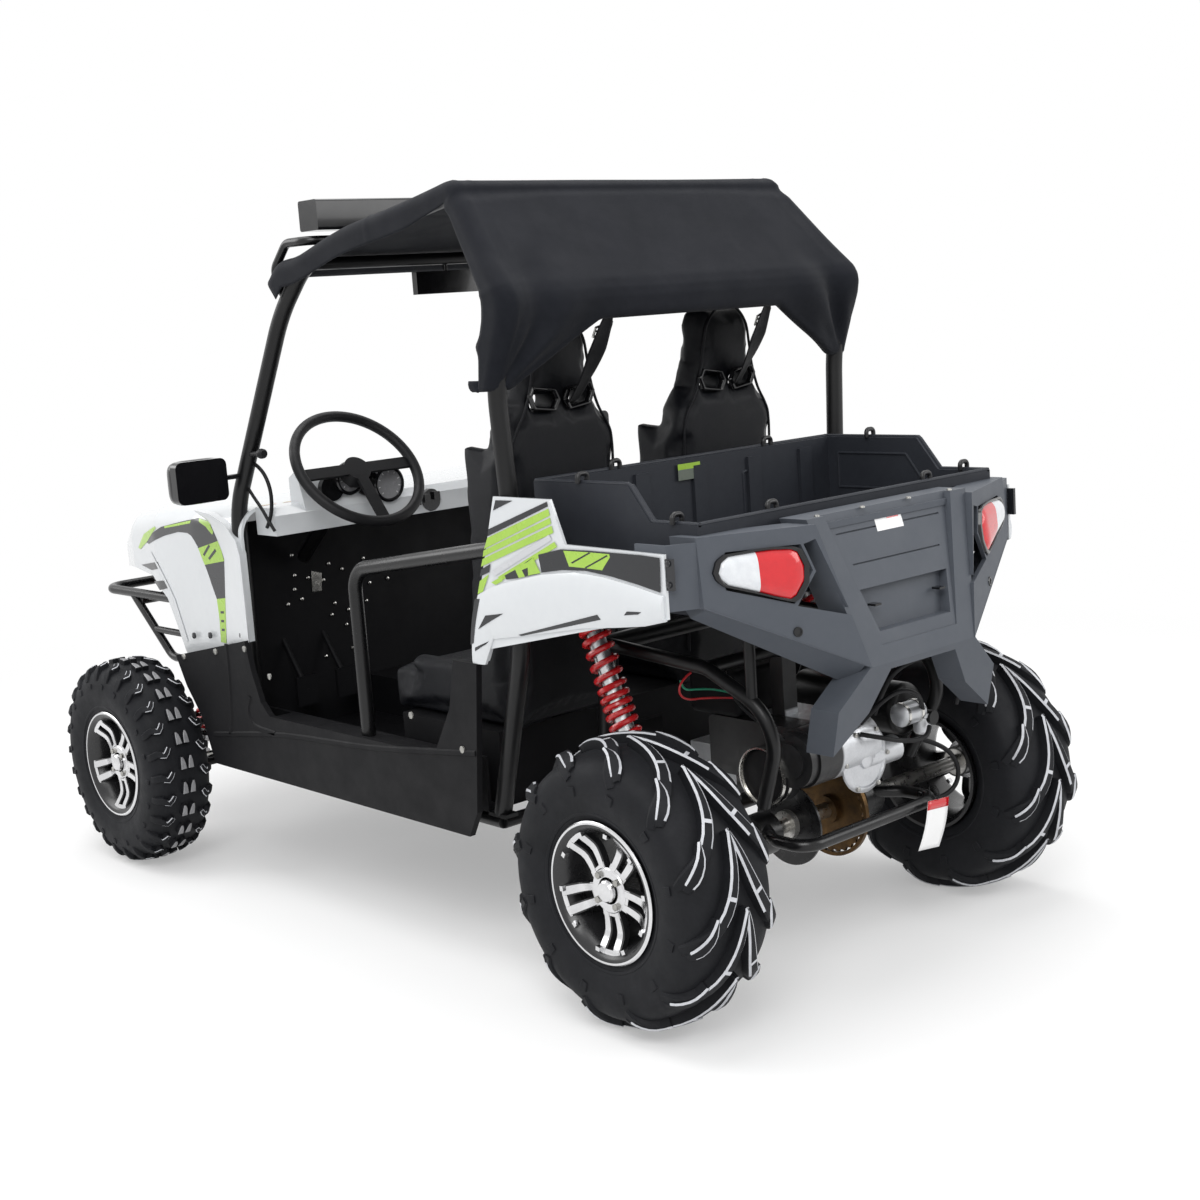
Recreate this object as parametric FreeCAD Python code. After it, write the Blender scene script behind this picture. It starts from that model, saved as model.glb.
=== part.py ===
import FreeCAD, Part
import math
import os
from FreeCAD import Vector

# Side by side off-road vehicle with two bucket seats, a roll cage with a fabric roof, a small
# cargo bed and a rigid rear axle. Millimetres. X runs forward, Y to the left and Z up. Places
# along X are measured from the rear axle, and the finished solids are moved so that the origin
# lies on the ground under the middle of the overall length.

# Driving dimensions
wheelbase = 1800
front_tyre_dia = 533.4
front_tyre_width = 170
front_track = 1166
rear_tyre_dia = 558.8
rear_tyre_width = 222
rear_track = 978
rim_dia = 254
straight_tolerance = 1e-6
seat_gap = 0.3
notch_gap = 0.6
arm_leg_share = 0.9
quarter_turn_deg = 90
full_turn_deg = 360
most_room_share = 0.96
running_gap = 0.3
cut_over = 4

front_r = front_tyre_dia / 2
rear_r = rear_tyre_dia / 2
front_wheel_y = front_track / 2
rear_wheel_y = rear_track / 2
front_axle_x = wheelbase
front_axle_z = front_r
rear_axle_z = rear_r

# Wheels
rim_wall = 7
rim_face_inset = 16
rim_inset = 9
rear_groove = 20
rear_pitches = 12
front_groove = 13
front_pitches = 12
carcass_share = 0.97
block_foot_share = 0.78
tyre_facets = 24
spoke_pairs = 5
spoke_width = 17
spoke_depth = 16
spoke_spread_deg = 11
hub_r = 42
hub_depth = 34
cap_r = 24
cap_depth = 8

# Rear axle
axle_r = 16
axle_hub_r = 34
axle_hub_length = 46
sprocket_y = -62
sprocket_r = 92
sprocket_thick = 8
sprocket_teeth = 30
tooth_height = 6
disc_y = 66
disc_r = 86
disc_thick = 5
disc_hub_r = 30
disc_hub_length = 30
carrier_y = 160
carrier_length = 56
carrier_r = 44

# Frame tubes
frame_tube_r = 19
brace_tube_r = 14
frame_bend = 90
rail_y = 262
rail_z = 300
rail_rear_x = 330
rail_front_x = 1960
sill_rail_y = 448
sill_rail_front_x = 1440
sill_rail_rear_x = 450
cross_front_x = 1640
cross_mid_x = 900
tower_x = 1800
tower_y = 232
tower_z = 690
tower_spread = 126
nose_rail_x = 1985
nose_rail_z = 640
rear_upright_x = 300
subframe_z = 660
subframe_kink_x = 15
subframe_kink_z = 640
subframe_end_x = -170
subframe_end_z = 556
subframe_drop_x = -82
subframe_drop_y = 226
subframe_drop_z = 372

# Roll cage
cage_front_foot_x = 1352
cage_front_foot_y = 483
pillar_knee_x = 1330
pillar_knee_y = 486
pillar_knee_z = 930
pillar_top_x = 1112
pillar_top_y = 452
pillar_top_z = 1372
roof_front_x = 1000
roof_y = 450
roof_front_rise = 106
roof_front_z = pillar_top_z + roof_front_rise
roof_mid_x = 834
roof_mid_rise = 42
roof_mid_z = roof_front_z + roof_mid_rise
ridge_x = 436
ridge_z = 1582
hoop_bend_x = 302
hoop_bend_y = 500
hoop_bend_z = 1213
hoop_waist_z = 900
hoop_waist_y = 484
hoop_low_z = 690
hoop_foot_x = 450
cage_foot_thick = 8
cage_foot_length = 56
cage_foot_width = 34
shock_bar_r = 10
strap_bar_share = 0.31
header_tube_r = 10
header_front_x = 1128
header_front_rise = 94
header_front_z = pillar_top_z + header_front_rise
header_top_x = 1062
header_top_rise = 62
header_top_z = header_front_z + header_top_rise
header_cross_x = 975
header_bend = 34
mount_saddle_r = 16
mount_foot_x = 1086
mount_foot_rise = 53
mount_foot_z = pillar_top_z + mount_foot_rise

# Hip bars beside the seats
hip_tube_r = 16
hip_x = 858
hip_y = 490
hip_top_z = 812
hip_bend = 55
hip_rear_z = 892

# Front bumper
bumper_tube_r = 12.7
bumper_brace_r = 11
bumper_x = 2222
bumper_y = 415
bumper_z = 658
bumper_drop_x = 2058
bumper_low_x = 1868
bumper_low_z = 497
bumper_rung_z = 566
bumper_bend = 60
bumper_rung_r = 9
bumper_root_x = 1700

# Floor, firewall and side skirts
floor_thick = 6
floor_y = 462
floor_front_x = 1500
floor_rear_x = 480
footwell_wall = 8
sill_z = 438
firewall_top_z = 872
tunnel_y = 58
tunnel_z = 424
skirt_y = 524
skirt_wall = 14
skirt_low_z = 284
skirt_arch_gap = 152
skirt_height = 372
skirt_rear_x = 402
skirt_length = front_axle_x - skirt_arch_gap - skirt_rear_x
sill_depth = 40

# Cowl
cowl_wall = 6
cowl_rear_x = 1303
cowl_length = 879
cowl_y = 500
cowl_top_z = 928
cowl_low_z = 536
cowl_height = cowl_top_z - cowl_low_z
cowl_corner = 60
grille_y = 150
grille_low_z = 746
grille_pitch = 13
grille_slot = 7
grille_count = 3

# Dash
dash_depth = 86
dash_low_z = 862
dash_y = 456
binnacle_width = 262
binnacle_height = 96
binnacle_depth = 64
gauge_r = 32
gauge_depth = 16
gauge_pitch = 104
vent_y = -180
vent_r = 28
vent_height_share = 0.45
gauge_height_share = 0.30
gauge_proud = 2

# Steering
wheel_x = 1178
wheel_y = 238
wheel_z = 1000
wheel_r = 160
wheel_grip_r = 13
wheel_hub_r = 34
wheel_hub_depth = 34
wheel_spoke_width = 30
wheel_spoke_thick = 8
wheel_rake_deg = 40
wheel_spokes_deg = (90, 180, 270)
column_r = 17
column_length = 330
kingpin_y = 555
ball_spread_z = 56
knuckle_width = 46
knuckle_depth = 30
collar_share = 0.5
spindle_r = 12
steer_arm_reach = 96
steer_arm_drop = 24
ball_eye_r = 17
steer_arm_width = 22
steer_arm_thick = 14
tie_rod_r = 6
tie_rod_inner_y = 208
boot_wall = 3
boot_r = 24
boot_length = 96
rack_r = 22
rack_half_length = 158
rack_tab_y = 110
rack_tab_width = 24

# Suspension
arm_tube_r = 11
arm_root_y = 190
lower_root_spread = 52
upper_root_spread = 92
arm_drop = 22
arm_plate_thick = 8
arm_plate_reach = 18
shock_rod_r = 9
shock_body_r = 19
spring_r = 28
spring_wire = 9
spring_turns = 9
spring_foot_share = 2.4
spring_head_share = 1.6
front_shock_low_y = 392
front_shock_top_y = 292
front_shock_top_z = 660
rear_shock_y = 322
rear_shock_top_x = 288
rear_shock_low_x = 128
rear_shock_low_z = 336
eye_r = 13
swing_pivot_x = 452
swing_pivot_z = 250
swing_y = 150
swing_tube_r = 17
pivot_plate_thick = 8
pivot_plate_reach = 26
guard_tube_r = 12.7
guard_x = -168
guard_y = 205
guard_z = 296

# Seats
seat_y = 247
seat_half_width = 155
seat_front_x = 872
seat_back_x = 446
seat_low_z = 482
cushion_height = 92
bolster_height = 34
bolster_width = 40
back_height = 845
back_lean_deg = 3.3
back_thick = 72
wing_depth = 62
slot_width = 64
slot_height = 34
slot_pitch = 96
slot_share = 0.808
base_front_x = 820
base_wall = 12
base_y = 420
strap_width = 50
strap_thick = 4
strap_left_y = 152
strap_right_y = -318

# Cargo bed
bed_wall = 18
bed_y = 438
bed_front_x = 284
bed_rear_x = -158
bed_floor_z = 786
bed_top_z = 1017
bed_tail_z = 950
bed_slope_x = 17
bed_slope_end_x = -38
bed_rim = 16
rib_depth = 7
rib_width = 40
rib_count = 5
hook_r = 5
hook_width = 34
hook_height = 22

# Quarter panels
quarter_y = 512
quarter_wall = 6
quarter_rear_x = -150
quarter_length = 564
quarter_low_z = 664
quarter_height = 332
quarter_boss_r = 9
quarter_boss_z = 860

# Tail
tail_thick = 10
tail_top_x = -238
tail_top_z = 938
tail_waist_x = -308
tail_waist_z = 656
tail_foot_x = -276
tail_foot_z = 500
tail_half_top = 240
tail_half_waist = 162
tail_half_foot = 240
tail_knee_z = 586
tail_flange = 66
tail_flange_wall = 8
tail_arch_half = 99
tail_arch_z = 643
tail_arch_low_half = 150
tail_strip_width = 48
tail_panel_sink = 16
tail_panel_low_sink = 2
tail_panel_low_z = 690
tail_corner_lean = 11
tail_corner_x = -173
tail_corner_y = 460
tail_corner_top_z = 932
tail_corner_low_z = 806
tail_shelf_thick = 12
tail_shelf_z = 912
cheek_wall = 6
cheek_x = -148
cheek_front_x = -70
recess_top_half = 132
recess_low_half = 108
recess_top_z = 794
recess_low_z = 714
recess_depth = 26
recess_wall = 8
groove_places = [(899, 156), (840, 132)]
groove_height = 3
groove_cut = 3
facet_depth = 46
facet_corner_drop = 18
facet_waist_drop = 38
lamp_depth = 24
lamp_proud = 5

# Engine, exhaust and lamps
engine_rear_x = -150
engine_length = 300
engine_right_y = -40
engine_width = 170
engine_z = 384
engine_height = 120
cover_r = 64
cover_depth = 26
cover_share = 0.92
cylinder_r = 50
cylinder_length = 150
fin_count = 7
fin_thick = 3
fin_reach = 8
barrel_r = 60
starter_r = 27
starter_x = -116
starter_z = 412
starter_y = -134
starter_length = 110
cover_step = 5
cover_inner_share = 0.55
gearbox_x = 158
gearbox_length = 130
gearbox_width = 90
gearbox_z = 300
drive_sprocket_x = 240
drive_sprocket_z = 330
drive_sprocket_r = 30
drive_boss_r = 16
chain_width = 10
chain_depth = 8
lug_width = 34
lug_length = 40
lug_x = 15
airbox_x = 60
airbox_length = 140
airbox_width = 180
airbox_height = 96
muffler_r = 56
muffler_x = -88
muffler_length = 290
muffler_y = -222
muffler_z = 470
pipe_r = 15
outlet_length = 90
outlet_y = -192
header_x = 248
header_y = -70
strap_x = 116
bed_post_x = -100
bed_post_r = 11
lightbar_y = 445
lightbar_rise = 20
lightbar_z = header_top_z + lightbar_rise
lightbar_height = 66
lightbar_depth = 72
lightbar_foot_y = 250
lightbar_foot_width = 40
lightbar_foot_thick = 6
canopy_thick = 7
canopy_drop = 62
canopy_arch_z = 1340
mirror_x = 1282
mirror_y = 606
mirror_z = 1008
mirror_width = 132
mirror_height = 98
mirror_corner = 16
mirror_thick = 26
mirror_arm_r = 6
inner_mirror_y = 62
inner_mirror_z = 1424
inner_mirror_width = 184
inner_mirror_height = 52
inner_mirror_thick = 18
headlamp_y = 258
headlamp_z = 764
headlamp_r = 42
headlamp_depth = 70
headlamp_back = 80
pedal_x = 1400
pedal_z = 400
pedal_top_z = 560
pedal_pitch = 120
pedal_width = 62
pedal_height = 74
pedal_thick = 9
pedal_arm_r = 7
liner_y = 408
liner_thick = 4
liner_front_x = 1690
liner_low_z = 435
liner_top_z = 560

shock_bar_z = bed_floor_z - seat_gap - shock_bar_r
rear_shock_top_z = shock_bar_z - shock_bar_r - seat_gap - eye_r
front_reach = bumper_x + bumper_tube_r
rear_reach = tail_waist_x
middle_x = (front_reach + rear_reach) / 2

X, Y, Z = Vector(1, 0, 0), Vector(0, 1, 0), Vector(0, 0, 1)
ORIGIN = Vector(0, 0, 0)
nodes = {}


def keep(name, shape):
    """Names a finished solid."""
    nodes[name] = shape


def both_sides(name, shape):
    """Keeps a left-hand piece and its mirror image."""
    keep(name + "_left", shape)
    keep(name + "_right", mirrored(shape))


def mirrored(shape):
    return shape.mirror(ORIGIN, Y)


def with_mirror(shape):
    return [shape, mirrored(shape)]


def fused(*shapes):
    flat = []
    for shape in shapes:
        flat += shape if isinstance(shape, list) else [shape]
    shape = flat[0]
    for other in flat[1:]:
        shape = shape.fuse(other)
    return shape.removeSplitter() if len(flat) > 1 else shape


def box(x0, x1, y0, y1, z0, z1):
    corner = Vector(min(x0, x1), min(y0, y1), min(z0, z1))
    return Part.makeBox(abs(x1 - x0), abs(y1 - y0), abs(z1 - z0), corner)


def rod(start, end, radius):
    a, b = Vector(*start), Vector(*end)
    return Part.makeCylinder(radius, (b - a).Length, a, b - a)


def face_of(points):
    return Part.Face(Part.makePolygon([Vector(*p) for p in points + points[:1]]))


def prism_y(points, y0, y1):
    """Outline of (x, z) points drawn out from y0 to y1."""
    return face_of([(x, y0, z) for x, z in points]).extrude(Y * (y1 - y0))


def prism_x(points, x0, x1):
    return face_of([(x0, y, z) for y, z in points]).extrude(X * (x1 - x0))


def prism_z(points, z0, z1):
    return face_of([(x, y, z0) for x, y in points]).extrude(Z * (z1 - z0))


def plate(points, thickness):
    """Flat outline in space, drawn out along its own normal."""
    corners = [Vector(*p) for p in points]
    normal = (corners[1] - corners[0]).cross(corners[2] - corners[1]).normalize()
    return face_of(points).extrude(normal * thickness)


def placed(shares, low_a, low_b, size_a, size_b):
    """Outline given as shares of a size, from its lower corner."""
    return [(low_a + a * size_a, low_b + b * size_b) for a, b in shares]


def tube(points, radius, bend):
    """Round tube along straight runs, with an arc of the bend radius at each corner."""
    corners = [Vector(*p) for p in points]
    edges, start = [], corners[0]
    for before, corner, after in zip(corners, corners[1:], corners[2:]):
        back, ahead = before - corner, after - corner
        room = min(back.Length, ahead.Length) / 2
        back.normalize()
        ahead.normalize()
        half_turn = (math.pi - back.getAngle(ahead)) / 2
        reach = min(bend * math.tan(half_turn), room * most_room_share)
        arc_r = reach / math.tan(half_turn)
        inward = (back + ahead).normalize()
        middle = corner + inward * (arc_r / math.cos(half_turn) - arc_r)
        first, last = corner + back * reach, corner + ahead * reach
        edges.append(Part.LineSegment(start, first).toShape())
        edges.append(Part.Arc(first, middle, last).toShape())
        start = last
    edges.append(Part.LineSegment(start, corners[-1]).toShape())
    path = Part.Wire(edges)
    ring = Part.Wire([Part.makeCircle(radius, corners[0], corners[1] - corners[0])])
    return path.makePipeShell([ring], True, False)


def turned(points, centre_x, centre_z):
    """Outline of (radius, y) points turned about a line along Y."""
    face = face_of([(centre_x + r, y, centre_z) for r, y in points])
    return face.revolve(Vector(centre_x, 0, centre_z), Y, full_turn_deg)


def rounded(shape, radius, edges):
    return shape.makeFillet(radius, edges)


def edges_along(shape, axis):
    """The straight edges of a shape that run along an axis."""
    found = []
    for edge in shape.Edges:
        if isinstance(edge.Curve, Part.Line):
            direction = edge.Curve.Direction
            if abs(abs(direction.dot(axis)) - 1) < straight_tolerance:
                found.append(edge)
    return found


# Tyres and wheels
tyre_profile_shares = [
    (0.0, 0.42), (0.64, 0.5), (1.0, 0.36), (1.0, -0.36), (0.64, -0.5), (0.0, -0.42),
]

# Tread blocks seen from above: along the tyre as a share of its radius, across as one of its width
chevron_half_shares = [(-0.13, 0), (-0.40, 0.26), (-0.50, 0.52), (-0.38, 0.52), (-0.24, 0.26),
                       (0.02, 0.02)]
centre_block_shares = [(-0.06, 0.11), (0.06, 0.11), (0.08, -0.11), (-0.04, -0.11)]
shoulder_block_shares = [(0.11, 0.19), (0.09, 0.52), (0.20, 0.52), (0.22, 0.28)]


def tyre_body(radius, width):
    """Ring about the axle in flat facets, whose bore's facets just clear the rim's seat."""
    half_facet = math.radians(full_turn_deg / tyre_facets) / 2
    bead = (rim_dia / 2 + seat_gap) / math.cos(half_facet)
    depth = radius - bead
    outline = [(bead + a * depth, b * width) for a, b in tyre_profile_shares]
    sections = []
    for index in range(tyre_facets):
        angle = math.radians(full_turn_deg * index / tyre_facets)
        sections.append([Vector(r * math.sin(angle), y, r * math.cos(angle)) for r, y in outline])
    faces = []
    for here, ahead in zip(sections, sections[1:] + sections[:1]):
        for a, b, c, d in zip(here, ahead, ahead[1:] + ahead[:1], here[1:] + here[:1]):
            faces.append(Part.Face(Part.makePolygon([a, b, c, d, a])))
    return Part.makeSolid(Part.makeShell(faces))


def tyre(radius, width, groove_depth, blocks, count):
    """Carcass with tread blocks round it, each cut off by the tyre's full profile."""
    full = tyre_body(radius, width)
    shape = tyre_body(radius - groove_depth, width * carcass_share)
    for block in blocks:
        points = [(a * radius, b * width) for a, b in block]
        lug = prism_z(points, radius * block_foot_share, radius + cut_over).common(full)
        for index in range(count):
            copy = lug.copy()
            copy.rotate(ORIGIN, Y, full_turn_deg * index / count)
            shape = shape.fuse(copy)
    return shape


def across(points):
    """Outline mirrored to the tyre's other half."""
    return [(a, -b) for a, b in points]


def whole_chevron():
    """Both legs of a V in one outline."""
    half = chevron_half_shares
    return half + across(half[:0:-1])


def rim(width, centre_x, centre_y, centre_z, bore):
    """Alloy rim for a left wheel: barrel, lips inside the tyre, hub and paired spokes."""
    seat = rim_dia / 2
    half = width / 2 - rim_inset
    inner = seat - rim_wall
    barrel = turned([(inner, centre_y - half), (seat, centre_y - half),
                     (seat, centre_y + half), (inner, centre_y + half)], centre_x, centre_z)
    face_y = centre_y + half - rim_face_inset
    spokes = []
    for pair in range(spoke_pairs):
        for side in (-1, 1):
            angle = full_turn_deg * pair / spoke_pairs + side * spoke_spread_deg
            spoke = box(hub_r / 2, inner + rim_wall / 2, face_y - spoke_depth, face_y,
                        -spoke_width / 2, spoke_width / 2)
            spoke.rotate(ORIGIN, Y, angle)
            spoke.translate(Vector(centre_x, 0, centre_z))
            spokes.append(spoke)
    hub = rod((centre_x, face_y - hub_depth, centre_z), (centre_x, face_y, centre_z), hub_r)
    cap = rod((centre_x, face_y, centre_z), (centre_x, face_y + cap_depth, centre_z), cap_r)
    solid = fused(barrel, hub, cap, spokes)
    hole = rod((centre_x, face_y - hub_depth - cut_over, centre_z),
               (centre_x, face_y - cap_depth, centre_z), bore)
    return solid.cut(hole)


def front_wheel():
    blocks = [centre_block_shares, shoulder_block_shares, across(shoulder_block_shares)]
    body = tyre(front_r, front_tyre_width, front_groove, blocks, front_pitches)
    body.translate(Vector(front_axle_x, front_wheel_y, front_axle_z))
    both_sides("tyre_front", body)
    both_sides("rim_front", rim(front_tyre_width, front_axle_x, front_wheel_y, front_axle_z,
                                spindle_r + running_gap))


def rear_wheel():
    body = tyre(rear_r, rear_tyre_width, rear_groove, [whole_chevron()], rear_pitches)
    body.translate(Vector(0, rear_wheel_y, rear_axle_z))
    both_sides("tyre_rear", body)
    both_sides("rim_rear", rim(rear_tyre_width, 0, rear_wheel_y, rear_axle_z,
                               axle_r + seat_gap))


def rear_face_y():
    """Where the spokes of a rear rim begin."""
    return rear_wheel_y + rear_tyre_width / 2 - rim_inset - rim_face_inset


def rear_axle():
    end = rear_face_y() - cap_depth - seat_gap
    shaft = rod((0, -end, rear_axle_z), (0, end, rear_axle_z), axle_r)
    hub_end = rear_face_y() - hub_depth - seat_gap
    hub = rod((0, hub_end - axle_hub_length, rear_axle_z), (0, hub_end, rear_axle_z), axle_hub_r)
    half_disc, half_boss = disc_thick / 2, disc_hub_length / 2
    disc = rod((0, disc_y - half_disc, rear_axle_z), (0, disc_y + half_disc, rear_axle_z), disc_r)
    disc_boss = rod((0, disc_y - half_boss, rear_axle_z), (0, disc_y + half_boss, rear_axle_z),
                    disc_hub_r)
    keep("rear_axle", fused(shaft, with_mirror(hub), disc, disc_boss))


def sprocket():
    """Toothed wheel on the axle, driven by the chain."""
    outline = []
    for step in range(sprocket_teeth * 2):
        angle = math.pi * step / sprocket_teeth
        reach = sprocket_r if step % 2 else sprocket_r - tooth_height
        outline.append((reach * math.cos(angle), rear_axle_z + reach * math.sin(angle)))
    wheel = prism_y(outline, sprocket_y - sprocket_thick / 2, sprocket_y + sprocket_thick / 2)
    boss = rod((0, sprocket_y - disc_hub_length / 2, rear_axle_z),
               (0, sprocket_y + disc_hub_length / 2, rear_axle_z), disc_hub_r)
    bore = rod((0, sprocket_y - disc_hub_length, rear_axle_z),
               (0, sprocket_y + disc_hub_length, rear_axle_z), axle_r + seat_gap)
    keep("sprocket", fused(wheel, boss).cut(bore))


# Frame and cage
def main_frame():
    tubes = []
    for side in (-1, 1):
        y = side * rail_y
        tubes.append(tube([(rear_upright_x, y, subframe_z), (rail_rear_x, y, rail_z),
                           (rail_front_x, y, rail_z), (nose_rail_x, y, nose_rail_z)],
                          frame_tube_r, frame_bend))
        tubes.append(tube([(rear_upright_x, y, subframe_z), (subframe_kink_x, y, subframe_kink_z),
                           (subframe_end_x, y, subframe_end_z),
                           (subframe_drop_x, side * subframe_drop_y, subframe_drop_z)],
                          brace_tube_r, frame_bend))
        sill_y = side * sill_rail_y
        tubes.append(rod((sill_rail_rear_x, sill_y, rail_z), (sill_rail_front_x, sill_y, rail_z),
                         brace_tube_r))
        for foot in (-1, 1):
            tubes.append(rod((tower_x + foot * tower_spread, y, rail_z),
                             (tower_x, side * tower_y, tower_z), brace_tube_r))
        tubes.append(rod((bed_post_x, y, subframe_height(bed_post_x)),
                         (bed_post_x, y, bed_floor_z - seat_gap), bed_post_r))
    for x, half, radius in cross_tubes():
        tubes.append(rod((x, -half, rail_z), (x, half, rail_z), radius))
    tubes.append(rod((rear_upright_x, -rail_y, subframe_z), (rear_upright_x, rail_y, subframe_z),
                     frame_tube_r))
    tubes.append(rod((lug_x, -rail_y, subframe_kink_z), (lug_x, rail_y, subframe_kink_z), brace_tube_r))
    tubes.append(rod((tower_x, -tower_y, tower_z), (tower_x, tower_y, tower_z), brace_tube_r))
    tubes.append(rod((nose_rail_x, -rail_y, nose_rail_z), (nose_rail_x, rail_y, nose_rail_z),
                     frame_tube_r))
    keep("main_frame", fused(tubes, arm_plates(), pivot_plates(), shock_ears()))


def subframe_height(x):
    """Height of the rear stretch of the upper rail."""
    fall = (subframe_kink_z - subframe_end_z) / (subframe_kink_x - subframe_end_x)
    return subframe_kink_z - fall * (subframe_kink_x - x)


def cross_tubes():
    """Place along X, half length and radius of each tube across the floor rails."""
    reach = cage_front_foot_y + cage_foot_width / 2
    return [(rail_rear_x, rail_y, frame_tube_r), (cross_mid_x, sill_rail_y, brace_tube_r),
            (sill_rail_rear_x, sill_rail_y, brace_tube_r),
            (cage_front_foot_x, reach, brace_tube_r), (sill_rail_front_x, sill_rail_y, brace_tube_r),
            (cross_front_x, rail_y, frame_tube_r), (rail_front_x, rail_y, frame_tube_r)]


def arm_root_z(upper):
    """Height of an arm's pivot at the frame."""
    if upper:
        return front_axle_z + ball_spread_z + arm_drop
    return front_axle_z - ball_spread_z + arm_drop / 2


def arm_plates():
    """Plates on the floor rails, bored for the pivots of the upper and lower arms."""
    reach = arm_tube_r + seat_gap
    plate_box = box(tower_x - arm_plate_thick / 2, tower_x + arm_plate_thick / 2,
                    arm_root_y - arm_plate_reach, rail_y, arm_root_z(False) - arm_plate_reach,
                    arm_root_z(True) + arm_plate_reach)
    for upper in (False, True):
        z = arm_root_z(upper)
        plate_box = plate_box.cut(rod((tower_x - arm_plate_thick, arm_root_y, z),
                                      (tower_x + arm_plate_thick, arm_root_y, z), reach))
    return with_mirror(plate_box)


def pivot_plates():
    """Plates under the cross tube that hold the ends of the swing arm's pivot."""
    low = swing_y + seat_gap
    one = box(swing_pivot_x - pivot_plate_reach, swing_pivot_x + pivot_plate_reach, low,
              low + pivot_plate_thick, swing_pivot_z - pivot_plate_reach, rail_z)
    return with_mirror(one)


def shock_ears():
    """Pair of ears on each tower leg, one each side of a front shock's upper eye."""
    ears = []
    for foot in (-1, 1):
        near = tower_x + foot * (eye_r + seat_gap)
        ears.append(box(near, near + foot * cage_foot_thick, tower_y - brace_tube_r,
                        front_shock_top_y + eye_r, front_shock_top_z - eye_r, tower_z + brace_tube_r / 2))
    return with_mirror(fused(ears[0])) + with_mirror(fused(ears[1]))


def hoop_point(share):
    """Point of the rear hoop's leaning stretch, from its bend up to the ridge."""
    return (hoop_bend_x + share * (ridge_x - hoop_bend_x),
            hoop_bend_y + share * (roof_y - hoop_bend_y),
            hoop_bend_z + share * (ridge_z - hoop_bend_z))


def roll_cage():
    tubes = []
    foot_low = rail_z + brace_tube_r + seat_gap
    foot_top = foot_low + cage_foot_thick
    for side in (-1, 1):
        tubes.append(tube([(cage_front_foot_x, side * cage_front_foot_y, foot_top),
                           (pillar_knee_x, side * pillar_knee_y, pillar_knee_z),
                           (pillar_top_x, side * pillar_top_y, pillar_top_z),
                           (roof_front_x, side * roof_y, roof_front_z),
                           (roof_mid_x, side * roof_y, roof_mid_z),
                           (ridge_x, side * roof_y, ridge_z),
                           (hoop_bend_x, side * hoop_bend_y, hoop_bend_z),
                           (hoop_bend_x, side * hoop_waist_y, hoop_waist_z),
                           (hoop_bend_x, side * hoop_waist_y, hoop_low_z),
                           (hoop_foot_x, side * sill_rail_y, foot_top)],
                          frame_tube_r, frame_bend))
        for x, y in ((cage_front_foot_x, cage_front_foot_y), (hoop_foot_x, sill_rail_y)):
            tubes.append(box(x - cage_foot_length / 2, x + cage_foot_length / 2,
                             side * y - cage_foot_width / 2, side * y + cage_foot_width / 2,
                             foot_low, foot_top))
    tubes.append(rod((roof_front_x, -roof_y, roof_front_z), (roof_front_x, roof_y, roof_front_z),
                     brace_tube_r))
    tubes.append(rod((ridge_x, -roof_y, ridge_z), (ridge_x, roof_y, ridge_z), brace_tube_r))
    x, y, z = hoop_point(strap_bar_share)
    tubes.append(rod((x, -y, z), (x, y, z), brace_tube_r))
    tubes.append(rod((rear_shock_top_x, -hoop_waist_y, shock_bar_z),
                     (rear_shock_top_x, hoop_waist_y, shock_bar_z), shock_bar_r))
    keep("roll_cage", fused(tubes))


# Steering and suspension
def front_arms():
    """Upper and lower A-arms, each with a pivot tube at the frame and an eye on the kingpin."""
    arms = []
    for upper in (False, True):
        end_z = front_axle_z + (ball_spread_z if upper else -ball_spread_z)
        root_z = arm_root_z(upper)
        spread = upper_root_spread if upper else lower_root_spread
        parts = [rod((front_axle_x, kingpin_y, end_z - arm_tube_r),
                     (front_axle_x, kingpin_y, end_z + arm_tube_r), ball_eye_r)]
        for foot in (-1, 1):
            parts.append(rod((front_axle_x + foot * spread, arm_root_y, root_z),
                             (front_axle_x, kingpin_y, end_z), arm_tube_r * arm_leg_share))
        reach = spread + arm_tube_r
        parts.append(rod((front_axle_x - reach, arm_root_y, root_z),
                         (front_axle_x + reach, arm_root_y, root_z), arm_tube_r))
        if not upper:
            half = arm_half_at(front_shock_low_y)
            z = arm_height_at(front_shock_low_y)
            parts.append(rod((front_axle_x - half, front_shock_low_y, z),
                             (front_axle_x + half, front_shock_low_y, z), arm_tube_r))
        arms += with_mirror(fused(parts))
    keep("front_arms", Part.makeCompound(arms))


def arm_half_at(y):
    """Half the width of the lower arm, measured along X."""
    return lower_root_spread * (kingpin_y - y) / (kingpin_y - arm_root_y)


def arm_height_at(y):
    """Height of the lower arm's centre line."""
    along = (y - arm_root_y) / (kingpin_y - arm_root_y)
    return arm_root_z(False) + along * (front_axle_z - ball_spread_z - arm_root_z(False))


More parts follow.
